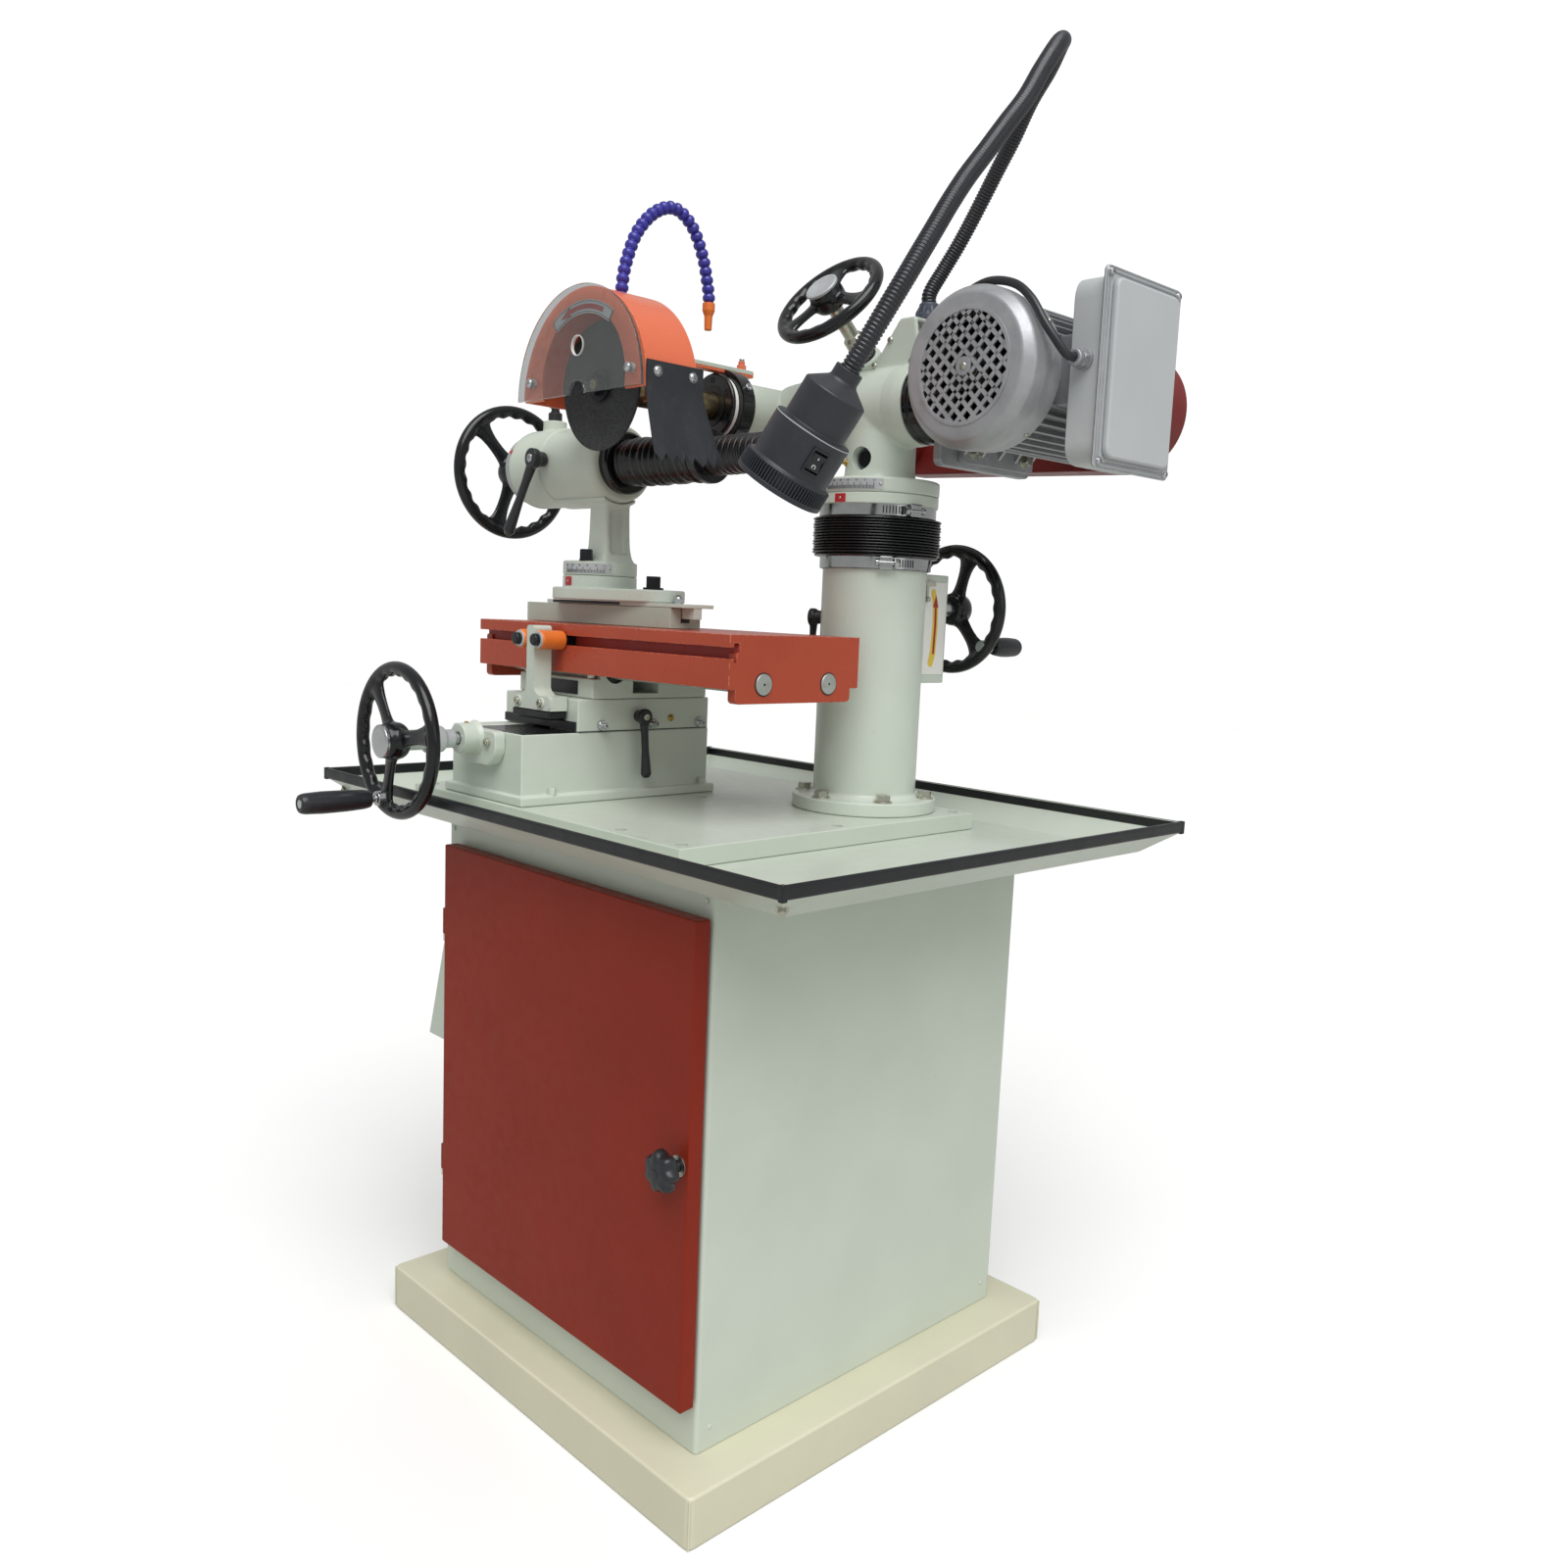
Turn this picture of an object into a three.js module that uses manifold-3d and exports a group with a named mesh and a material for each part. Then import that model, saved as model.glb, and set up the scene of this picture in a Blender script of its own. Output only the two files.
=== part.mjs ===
// Saw blade sharpening machine: floor cabinet, cross slide and work table with
// a blade arm on the left, and a column carrying the tilting grinding head on the right.
// Millimetres, +Z up, +Y away from the door, origin on the floor below the cabinet's middle.
import * as THREE from 'three';
import { mergeVertices } from 'three/addons/utils/BufferGeometryUtils.js';
import Module from 'manifold-3d';

const wasm = await Module();
wasm.setup();

// Clearances and side counts shared by all pieces
const fit = 0.3;
const overrun = 6;
const sheet = 3;
const fineSides = 20;
const plainSides = 14;
const smallSides = 8;
const hexSides = 6;

// Ribs of a hose, as shares of their pitch, and rings of its bore; step of a plain cord in diameters
const ribCrestShare = 0.35;
const ribValleyShare = 0.85;
const ribsPerBoreRing = 5;
const cordStep = 2.5;

// Plinth
const plinthWidth = 656;
const plinthDepth = 645;
const plinthHeight = 62.4;
const plinthLip = 28;
const footRailWidth = 60;

// Cabinet
const cabinetWidth = 550;
const cabinetDepth = 540.8;
const cabinetHeight = 658.8;
const cabinetFrame = 22;
const hingePinRadius = 4;
const hingePinLength = 46;
const hingePinOffset = 14;
const hingeInset = 90;
const inletRadius = 16;
const inletLength = 22;
const inletHeight = 180;
const inletInset = 115;

// Door
const doorHingeMargin = 30;
const doorKnobInset = 16;
const doorHeight = 560;
const doorDepth = 20;
const doorBottom = 123;
const doorStandOff = 4.6;
const hingePlay = 0.6;
const knuckleRadius = 7.5;
const doorKnobZ = 408;
const doorKnobRadius = 22;
const doorKnobLobe = 2.6;
const doorKnobLobes = 7;
const doorKnobDepth = 20;
const doorKnobStem = 6;
const doorKnobReach = 14;

// Side hood on the left cabinet wall
const hoodReachTop = 21;
const hoodReachLow = 68;
const hoodTop = 560;
const hoodBottom = 390;
const hoodFront = -262;
const hoodBack = -110;

// Tray
const trayWidth = 936.6;
const trayDepth = 719;
const trayFloorWidth = 857.2;
const trayFloorDepth = 638;
const trayHeight = 41.6;
const trimHeight = 14;
const trimSheet = 3;

// Bed plate
const bedLeft = -375;
const bedRight = 212;
const bedFront = -269;
const bedBack = 250;
const bedThickness = 22.7;
const bedHoleRadius = 6.5;
const bedHoleInset = 20;
const bedMiddleHoleX = -78;
const bedMiddleHoleY = 11;

// Column, its lift and the lift drive
const columnX = 98;
const columnY = 151;
const columnRadius = 70;
const columnBore = 58.3;
const columnHeight = 318;
const columnFlangeRadius = 98;
const columnFlangeThickness = 18;
const flangeBoltCircle = 84;
const flangeBoltCount = 6;
const boltHeadRadius = 11;
const boltHeadHeight = 9;
const quillLength = 290;
const quillCollarRadius = 71;
const quillCollarHeight = 20;
const quillDiscRadius = 80;
const quillDiscThickness = 14;
const quillSpigotRadius = 30;
const quillSpigotLength = 40;
const quillDiscBottom = 1152;
const columnBellowsCrest = 86;
const columnBellowsValley = 77;
const columnBellowsRibs = 14;
const columnBellowsCuff = 15;
const gearboxWidth = 76;
const gearboxReach = 114;
const gearboxBottom = 920;
const gearboxHeight = 148;
const gearboxBossRadius = 24;
const gearboxBossLength = 18;
const liftWheelY = 322;
const liftWheelZ = 1023;
const liftWheelRadius = 92.5;
const liftGripRadiusPlace = 78;
const liftGripAngle = -41;
const columnLeverZ = 1004;
const columnLeverAngle = 204;
const columnLeverHub = 12;
const columnLeverLength = 62;
const columnLeverReach = 20;
const columnLeverArm = 4.5;

// Handwheels
const rimRadius = 9;
const hubRadius = 23;
const hubLength = 34;
const spokeWidth = 22;
const spokeThickness = 9;
const spokeCount = 3;
const gripRadius = 14;
const gripLength = 92;
const liftGripLength = 56;
const gripPinRadius = 5;
const gripPinLength = 22;
const gripNeckShare = 0.72;
const gripTaperShare = 0.3;
const hubSetback = 11;

// Cross slide base
const bedLineX = -208;
const footLeft = -303;
const footRight = -112;
const footFront = -263;
const footBack = 62;
const footThickness = 12;
const crossBoxLeft = -293;
const crossBoxRight = -122;
const crossBoxFront = -257;
const crossBoxBack = 55;
const crossBoxHeight = 80;
const channelWidth = 85;
const channelDepth = 34;
const channelEndWall = 15;
const crossScrewZ = 829;
const crossScrewRadius = 7.7;
const crossScrewEnd = -10;
const bracketWidth = 96;
const bracketDepth = 16;
const bracketDrop = 34;
const bracketRise = 12;
const bracketBossRadius = 20;
const bracketBossLength = 26;
const crossWheelY = -384;
const crossWheelRadius = 100;
const crossGripX = -236;
const crossGripZ = 753;
const footBoltFront = 50;
const footBoltBack = 21;

// Saddle, its guide housing and stop bracket
const saddleLeft = -295;
const saddleRight = -121;
const saddleFront = -172;
const saddleBack = 53;
const saddleHeight = 43;
const saddleGrooveWidth = 44;
const saddleGrooveDepth = 12;
const screwHeadRadius = 7;
const screwHeadLength = 6;
const gibScrewZ = 849;
const gibScrewYs = [-135, -49, 34];
const nippleY = -16;
const nippleZ = 856;
const nippleRadius = 5;
const saddleLeverY = -74;
const saddleLeverZ = 860;
const saddleLeverHub = 11;
const saddleLeverLength = 76;
const saddleLeverReach = 20;
const saddleLeverArm = 4.5;
const saddleLeverBall = 9;
const housingFront = -150;
const housingBack = 48;
const housingBaseHeight = 27;
const housingBlockFront = -137;
const housingBlockBack = 22;
const housingBlockHeight = 56;
const housingWindowFront = -83;
const housingWindowBack = -39;
const shaftFrontY = -112;
const shaftBackY = -2;
const shaftZ = 923;
const shaftRadius = 13;
const boreMouthRadius = 19;
const boreMouthDepth = 7;
const stopBlockLeft = -235;
const stopBlockRight = -141;
const stopBlockDepth = 31;
const stopBlockBottom = 867;
const stopBlockHeight = 19;
const stopScrewSpacing = 54;
const stopStemWidth = 18;
const stopStemX = -188;
const stopStemTop = 978;
const stopStemDepth = 27;

// Work table
const tableLeft = -375;
const tableRight = 168;
const tableFront = -167;
const tableBack = 52;
const tableTop = 981;
const tableSlab = 25;
const tableSkirtBottom = 917;
const tableWall = 24;
const endPlateBottom = 900;
const endPlateThickness = 14;
const endPlateFront = -156;
const endPlateBack = 38;
const grooveBottom = 953;
const grooveTop = 966;
const grooveDepth = 7;
const grooveWideDepth = 8;
const grooveWideRise = 5;
const stopKnobRadius = 12.5;
const stopKnobLength = 38;
const stopCapRadius = 8;
const stopCapLength = 9;
const stopKnobGap = 1.2;
const stopNutPlay = 0.7;
const shaftPlugReach = 2;

// Rails, slide plate, swivel and post
const railsLeft = -377;
const railsRight = -41;
const railsFront = -87;
const railsBack = -35;
const railsHeight = 27;
const railsWeb = 8;
const railSlotWidth = 14;
const slidePlateLeft = -325;
const slidePlateRight = -15;
const slidePlateThickness = 5;
const slideKeyDepth = 14;
const postX = -238;
const postY = -57;
const swivelRadius = 66;
const swivelNoseRadius = 36;
const swivelNoseReach = 133;
const swivelThickness = 17;
const postDiscRadius = 52;
const lowerDiscHeight = 16.7;
const upperDiscHeight = 20;
const postSpigotRadius = 15;
const postSpigotLength = 13;
const postLeft = -240;
const postRight = -196;
const postFront = -80;
const postBack = -34;
const postRecessDepth = 6;
const postRecessMargin = 8;
const postTaperShare = 0.16;
const swivelBoltX = -116;
const swivelBoltHeight = 15;
const washerRadius = 14;
const washerThickness = 3;
const acornNutX = -62;
const acornNutRadius = 6.5;
const acornNutHeight = 12;
const discBoltReach = 38;

// Blade arm
const armY = -57;
const armZ = 1202;
const barrelLeft = -395;
const barrelRight = -190;
const barrelRadius = 56;
const barrelBore = 24.5;
const barrelStepX = -314;
const barrelStep = 2;
const dialRadius = 50;
const dialLength = 18;
const flangeRingRadius = 42;
const flangeRingLength = 15;
const armBellowsRight = -12;
const armBellowsCrest = 33;
const armBellowsValley = 28;
const armBellowsBore = 25.5;
const armBellowsRibs = 12;
const armShaftRadius = 24;
const armShaftLeft = -300;
const armShaftRight = 200;
const armCollarRadius = 34;
const armCollarLength = 10;
const armNoseRadius = 15;
const armNoseLength = 16;
const armWheelX = -470;
const armWheelRadius = 100;
const armSpindleRadius = 12;
const armSpindleEnd = -330;
const armJournalLength = 45;
const plungerX = -357;
const plungerBossRadius = 17;
const plungerBossHeight = 12;
const plungerCollarRadius = 10;
const plungerKnobRadius = 12.5;
const plungerTop = 1309;
const plungerNeck = 13;
const plungerPin = 6;
const armLeverX = -300;
const armLeverZ = 1207;
const armLeverHub = 14;
const armLeverReach = 24;
const armLeverLength = 112;
const armLeverAngle = 59;
const armLeverRod = 5.5;
const armLeverBall = 11;

// Head casting on the column
const headDiscRadius = 80.5;
const headDiscThickness = 19.7;
const stubRadius = 46.5;
const tiltZ = 1281;
const headBarrelLeft = -35;
const headBarrelRight = 172;
const headBarrelRadius = 50;
const tiltShaftRadius = 30;
const tiltCollarRadius = 52;
const tiltCollarRight = 197;
const motorPlateThickness = 12.7;
const motorPlateHeight = 200;
const motorPlateFront = 140;
const stubHoleX = 111;
const stubHoleZ = 1212;
const stubHoleRadius = 11;
const stubHoleDepth = 26;
const wormX = 40;
const wormOffset = 72;
const wormAngle = 140;
const wormBossRadius = 22;
const wormBossStart = -35;
const wormBossEnd = 32;
const wormCollarRadius = 14;
const wormCollarEnd = 70;
const wormShaftRadius = 8;
const wormWheelPlace = 127;
const tiltWheelRadius = 80;
const conduitPlateLeft = 72;
const conduitPlateRight = 168;
const conduitPlateTop = 1392;
const conduitPlateY = 143;
const conduitPlateThickness = 6;
const conduitPlateFoot = 1322;

// Lamp, its conduit and gland; the route is a list of places chosen along the pipe
const glandX = 139;
const glandY = 185;
const glandRadius = 13;
const glandLength = 24;
const conduitRadius = 10;
const conduitValley = 8;
const conduitBore = 6;
const conduitRibs = 66;
const conduitRoute = [
  [139, 185, 1416.8], [139.1, 185.1, 1429], [149.5, 196, 1457], [168, 201, 1486], [187, 203, 1515], [207, 202, 1543],
  [228, 199, 1570], [254, 193, 1599], [284, 182, 1631], [322, 162, 1651], [360, 128, 1658], [391, 88, 1642],
  [415, 45, 1616], [434, -5, 1572], [445, -43, 1532], [451, -80, 1496], [455, -113, 1462], [458, -145, 1429],
  [461, -172, 1398], [463, -195, 1368.5], [463, -215, 1341], [460, -232, 1314], [450.5, -247, 1282.5],
  [437.5, -258, 1252], [427, -261.9, 1234.6],
];
const lampPlace = [426.7, -262, 1234.2];
const lampAim = [-0.51, -0.189, -0.84];
const lampRoll = -121;
const lampNeckRadius = 14;
const lampNeckLength = 11;
const lampConeRadius = 32;
const lampConeLength = 12;
const lampBodyLength = 37;
const lampHousingRadius = 40;
const lampHousingLength = 45;
const lampBezelRadius = 46;
const lampBezelLength = 21;
const lampWall = 4;
const lampGroove = 2;
const lampGrooves = 4;
const switchWidth = 20;
const switchLength = 14;
const switchPocket = 5;
const switchProud = 3;

// Spindle unit
const spindleX = -91;
const housingRadius = 38;
const housingTubeBack = 398;
const capFront = 14;
const capRadius = 44;
const capLength = 6;
const paleRingLength = 7;
const paleRingRadius = 41;
const clampRingFront = 28;
const clampRingBack = 50;
const clampRingRadius = 50;
const spindleBore = 18;
const spindleShaftRadius = 15;
const spindleNoseRadius = 18;
const spindlePulleyRadius = 32;
const wheelFace = -170;
const wheelThickness = 20;
const wheelRadius = 80;
const wheelNutLength = 11;
const wheelNutRadius = 13;
const wheelFlangeRadius = 27;
const wheelFlangeLength = 7;

// Wheel guard, window, flap and coolant hose
const guardCentreZ = 1266;
const guardRadius = 129;
const guardFront = -197;
const guardBack = -119;
const guardSheet = 4;
const guardMouthRadius = 88;
const guardSlotRadius = 30;
const guardBarWidth = 16;
const guardBarHeight = 9;
const guardBarBack = 82;
const guardPostRadius = 5;
const guardPostHeight = 12;
const windowRadius = 132;
const windowThickness = 4;
const windowStand = 6;
const windowSpacerRadius = 6;
const windowSpacerReach = 104;
const windowSpacerRise = 22;
const windowHoleRadius = 12;
const windowHoleRise = 58;
const windowNotchRadius = 16;
const flapThickness = 2.5;
const flapTop = 1296;
const flapBend = 1268;
const flapBottom = 1178;
const flapFlare = 22;
const flapFront = -199;
const flapBack = -113;
const flapScrewZ = 1284;
const flapScrewInset = 16;
const flapScrewRadius = 6;
const flapScrewLength = 4;
const hoseRadius = 8.5;
const hoseValley = 7;
const hoseBore = 4;
const hoseRibs = 18;
const hoseRoute = [
  [-91, -140, 1395.4], [-91, -140, 1412], [-91, -134, 1440], [-91, -118, 1478], [-91, -90, 1508],
  [-91, -58, 1519], [-91, -29, 1503], [-91, -9, 1468], [-91, 1, 1432], [-91, 3.4, 1414],
];
const nozzleTip = 1378;
const nozzleRadius = 5;

// Motor
const motorX = 300;
const motorZ = 1302;
const motorBodyFront = 118;
const motorBodyBack = 395;
const motorRadius = 86;
const motorFinDepth = 8;
const motorFins = 20;
const motorWall = 9;
const motorShieldLength = 8;
const motorShaftRadius = 14;
const motorPulleyRadius = 45;
const motorFootWidth = 130;
const motorFootFront = 175;
const motorFootBack = 325;
const fanCoverFront = 62;
const fanCoverRadius = 94;
const fanCoverSheet = 3;
const grillRadius = 67;
const grillPitch = 24;
const grillBar = 4;
const fanRadius = 78;
const fanDepth = 22;
const fanBladeThickness = 4;
const fanBlades = 6;
const boxLeft = 395;
const boxRight = 450;
const boxFront = 132;
const boxBack = 285;
const boxBottom = 1187;
const boxTop = 1410;
const boxLid = 12;
const boxLidLip = 4;
const boxGlandZ = 1309;
const boxGlandX = 415;
const boxGlandRadius = 11;
const boxGlandLength = 16;
const cableRadius = 5;
const cableRoute = [
  [415, 115.4, 1309], [414, 103, 1310], [404, 93, 1327], [391.5, 88, 1346], [371.5, 88, 1374],
  [343, 92, 1394.5], [300, 100, 1404], [257, 108, 1395.5], [234, 113, 1384], [214, 116, 1373],
  [205, 119, 1368], [204, 126, 1367], [204, 134, 1367],
];
const grommetRadius = 8;
const grommetLength = 12;

// Belt drive
const beltGuardFront = 420;
const beltGuardDepth = 56;
const beltGuardMotorRadius = 82;
const beltGuardMotorShift = 24;
const beltGuardSpindleRadius = 50;
const beltGuardSheet = 3;
const beltGuardHole = 20;
const beltWidth = 26;
const beltThickness = 5;
const beltInset = 15;
const beltGuardArcSteps = 9;

// Colours
const mint = 0xc8d2c6;
const cream = 0xd7d5c3;
const darkRed = 0x8a3226;
const tableRed = 0xc35a48;
const guardOrange = 0xe07a58;
const black = 0x1c1f24;
const steel = 0xb9bdc2;
const silver = 0x9fa5ab;
const boxGrey = 0xa5acaf;
const hoseBlue = 0x2d2896;
const orange = 0xf08232;
const bronze = 0xa8763e;
const stone = 0x3b3d40;
const clear = 0xdfe9ea;

// Places worked out from the sizes above
const quarterTurn = Math.PI / 2;
const degree = Math.PI / 180;
const upward = new THREE.Vector3(0, 0, 1);
const cabinetBottom = plinthHeight + fit;
const trayBottom = cabinetBottom + cabinetHeight + fit;
const trayRim = trayBottom + trayHeight;
const bedBottom = trayBottom + sheet + fit;
const bedTop = bedBottom + bedThickness;
const bedSurface = bedTop + fit;
const cabinetFront = -cabinetDepth / 2;
const doorBack = cabinetFront - doorStandOff;
const doorFace = doorBack - doorDepth;
const doorRight = cabinetWidth / 2;
const inletX = inletInset - cabinetWidth / 2;
const doorLeft = doorHingeMargin - cabinetWidth / 2;
const doorKnobX = doorRight - doorKnobInset;
const doorAxisX = doorLeft - knuckleRadius + hingePlay;
const doorAxisY = cabinetFront - hingePinOffset;
const columnBottom = bedSurface;
const columnFlangeTop = columnBottom + columnFlangeThickness;
const columnTop = columnFlangeTop + columnHeight;
const quillDiscTop = quillDiscBottom + quillDiscThickness;
const columnBack = columnY + columnRadius;
const boxTopZ = bedSurface + footThickness + crossBoxHeight;
const saddleBottom = boxTopZ + fit;
const saddleTop = saddleBottom + saddleHeight;
const housingBottom = saddleTop + fit;
const grooveMiddle = (grooveBottom + grooveTop) / 2;
const railsBottom = tableTop + fit;
const railsTop = railsBottom + railsHeight;
const railSlotY = (railsFront + railsBack) / 2;
const slidePlateBottom = railsTop + fit;
const slidePlateTop = slidePlateBottom + slidePlateThickness;
const swivelBottom = slidePlateTop + fit;
const swivelTop = swivelBottom + swivelThickness;
const postBottom = swivelTop + lowerDiscHeight + fit;
const headBottom = quillDiscTop + fit;
const barrelLength = barrelRight - barrelLeft;
const flangeRingRight = barrelRight + flangeRingLength;
const motorPlateLeft = tiltCollarRight;
const motorPlateRight = motorPlateLeft + motorPlateThickness;
const housingTubeFront = clampRingFront;
const spindleBack = beltGuardFront + beltGuardDepth - beltInset;
const beltFront = beltGuardFront + beltInset;

// Working shapes: every helper gives a closed body

// Signed volume of an indexed geometry, below zero when its faces point in
function signedVolume(positions, index) {
  const corner = [new THREE.Vector3(), new THREE.Vector3(), new THREE.Vector3()];
  let total = 0;
  for (let i = 0; i < index.length; i += 3) {
    corner.forEach((c, k) => c.fromArray(positions, index[i + k] * 3));
    total += corner[0].dot(corner[1].clone().cross(corner[2]));
  }
  return total / corner.length;
}

// Merges shared corners, drops collapsed triangles and turns the faces outwards
function toSolid(geometry) {
  const plain = geometry.clone();
  plain.deleteAttribute('normal');
  plain.deleteAttribute('uv');
  const merged = mergeVertices(plain);
  const source = merged.index.array;
  const kept = [];
  for (let i = 0; i < source.length; i += 3) {
    const [a, b, c] = [source[i], source[i + 1], source[i + 2]];
    if (a !== b && b !== c && a !== c) kept.push(a, b, c);
  }
  const positions = merged.attributes.position.array;
  if (signedVolume(positions, kept) < 0) kept.reverse();
  const mesh = new wasm.Mesh({
    numProp: 3,
    vertProperties: new Float32Array(positions),
    triVerts: new Uint32Array(kept),
  });
  return new wasm.Manifold(mesh);
}

function toGeometry(solid) {
  const mesh = solid.getMesh();
  const geometry = new THREE.BufferGeometry();
  geometry.setAttribute('position', new THREE.BufferAttribute(mesh.vertProperties, 3));
  geometry.setIndex(new THREE.BufferAttribute(mesh.triVerts, 1));
  geometry.computeVertexNormals();
  return geometry;
}

function join(...pieces) {
  return toGeometry(pieces.map(toSolid).reduce((whole, piece) => whole.add(piece)));
}

function cut(body, ...tools) {
  return toGeometry(tools.map(toSolid).reduce((rest, tool) => rest.subtract(tool), toSolid(body)));
}

function keep(body, limit) {
  return toGeometry(toSolid(body).intersect(toSolid(limit)));
}

function move(geometry, x, y, z) {
  return geometry.clone().translate(x, y, z);
}

// Block between two corners
function block(x0, x1, y0, y1, z0, z1) {
  const shape = new THREE.BoxGeometry(x1 - x0, y1 - y0, z1 - z0);
  return shape.translate((x0 + x1) / 2, (y0 + y1) / 2, (z0 + z1) / 2);
}

// Block centred across, standing on z = 0
function slab(width, depth, height) {
  return block(-width / 2, width / 2, -depth / 2, depth / 2, 0, height);
}

// Round bar along +Z from z = 0
function rod(radius, length, sides = plainSides, endRadius = radius) {
  const bar = new THREE.CylinderGeometry(endRadius, radius, length, sides);
  return bar.rotateX(quarterTurn).translate(0, 0, length / 2);
}

// Turned body about Z from a closed list of radius and height pairs
function turned(profile, sides = plainSides) {
  const closed = [...profile, profile[0]].map(([r, z]) => new THREE.Vector2(r, z));
  return new THREE.LatheGeometry(closed, sides).rotateX(quarterTurn);
}

// Corner radius of a bore whose flats keep clear of a round of the given radius
function around(radius, sides) {
  return radius / Math.cos(Math.PI / sides);
}

// Cutting bar for a bore that clears a round of the given radius
function bore(radius, length, sides = plainSides) {
  return rod(around(radius, sides), length, sides);
}

function pipe(outer, inner, length, sides = fineSides) {
  const hole = around(inner, sides);
  return turned([[hole, 0], [outer, 0], [outer, length], [hole, length]], sides);
}

function alongX(geometry) {
  return geometry.clone().rotateY(quarterTurn);
}

function alongY(geometry) {
  return geometry.clone().rotateX(-quarterTurn);
}

// Turns a body made along +Z to lie along a direction
function aimed(geometry, direction) {
  const turn = new THREE.Quaternion().setFromUnitVectors(upward, direction.clone().normalize());
  return geometry.clone().applyQuaternion(turn);
}

// Flat outline in X and Z pushed along +Y from y = 0
function pushedAlongY(outline, depth) {
  const shape = outline instanceof THREE.Shape ? outline : outlineShape(outline);
  const body = new THREE.ExtrudeGeometry(shape, { depth, bevelEnabled: false, curveSegments: smallSides });
  return body.rotateX(quarterTurn).translate(0, depth, 0);
}

// Flat outline in X and Y pushed up from z = 0
function pushedUp(outline, height) {
  const shape = outline instanceof THREE.Shape ? outline : outlineShape(outline);
  return new THREE.ExtrudeGeometry(shape, { depth: height, bevelEnabled: false, curveSegments: smallSides });
}

function outlineShape(points) {
  return new THREE.Shape(points.map(([a, b]) => new THREE.Vector2(a, b)));
}

// Outline of the outer tangents and arcs round two circles
function beltOutline(x0, z0, r0, x1, z1, r1, steps) {
  const along = Math.atan2(z1 - z0, x1 - x0);
  const spread = Math.acos((r0 - r1) / Math.hypot(x1 - x0, z1 - z0));
  const points = [];
  for (let i = 0; i <= steps; i += 1) {
    const a = along + spread + (2 * Math.PI - 2 * spread) * (i / steps);
    points.push([x0 + r0 * Math.cos(a), z0 + r0 * Math.sin(a)]);
  }
  for (let i = 0; i <= steps; i += 1) {
    const a = along - spread + 2 * spread * (i / steps);
    points.push([x1 + r1 * Math.cos(a), z1 + r1 * Math.sin(a)]);
  }
  return points;
}

// Handwheel about Z with its rim in the plane z = 0 and its hub towards +Z
function handwheel(radius) {
  const rim = new THREE.TorusGeometry(radius - rimRadius, rimRadius, hexSides, fineSides);
  const hub = move(rod(hubRadius, hubLength, plainSides), 0, 0, -hubSetback);
  const spoke = block(0, radius - rimRadius, -spokeWidth / 2, spokeWidth / 2, -spokeThickness / 2,
    spokeThickness / 2);
  const spokes = [];
  for (let i = 0; i < spokeCount; i += 1) {
    spokes.push(spoke.clone().rotateZ(quarterTurn + (i * 2 * Math.PI) / spokeCount));
  }
  return join(rim, hub, ...spokes);
}

// Crank grip about Z: a barrel shaped handle with a bore
function crankGrip(length) {
  const neck = gripRadius * gripNeckShare;
  const hole = around(gripPinRadius + fit, plainSides);
  return turned([
    [hole, 0], [neck, 0], [gripRadius, length * gripTaperShare],
    [gripRadius, length * (1 - gripTaperShare)],
    [neck, length], [hole, length],
  ]);
}

// Hexagon head about Z with an optional washer under it
function hexHead(radius, height, washer = 0) {
  const head = rod(radius, height, hexSides);
  return washer > 0 ? join(rod(washer, washerThickness, smallSides), head) : head;
}

// Concertina about Z: cuffs at both ends and ribs between them
function bellows(length, crest, valley, inside, ribs, cuff, sides) {
  const hole = around(inside, sides);
  const profile = [[hole, 0], [valley, 0], [valley, cuff]];
  const pitch = (length - 2 * cuff) / ribs;
  for (let i = 0; i < ribs; i += 1) {
    profile.push([crest, cuff + (i + 0.5) * pitch]);
    if (i < ribs - 1) profile.push([valley, cuff + (i + 1) * pitch]);
  }
  profile.push([valley, length - cuff], [valley, length], [hole, length]);
  return turned(profile, sides);
}

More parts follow.
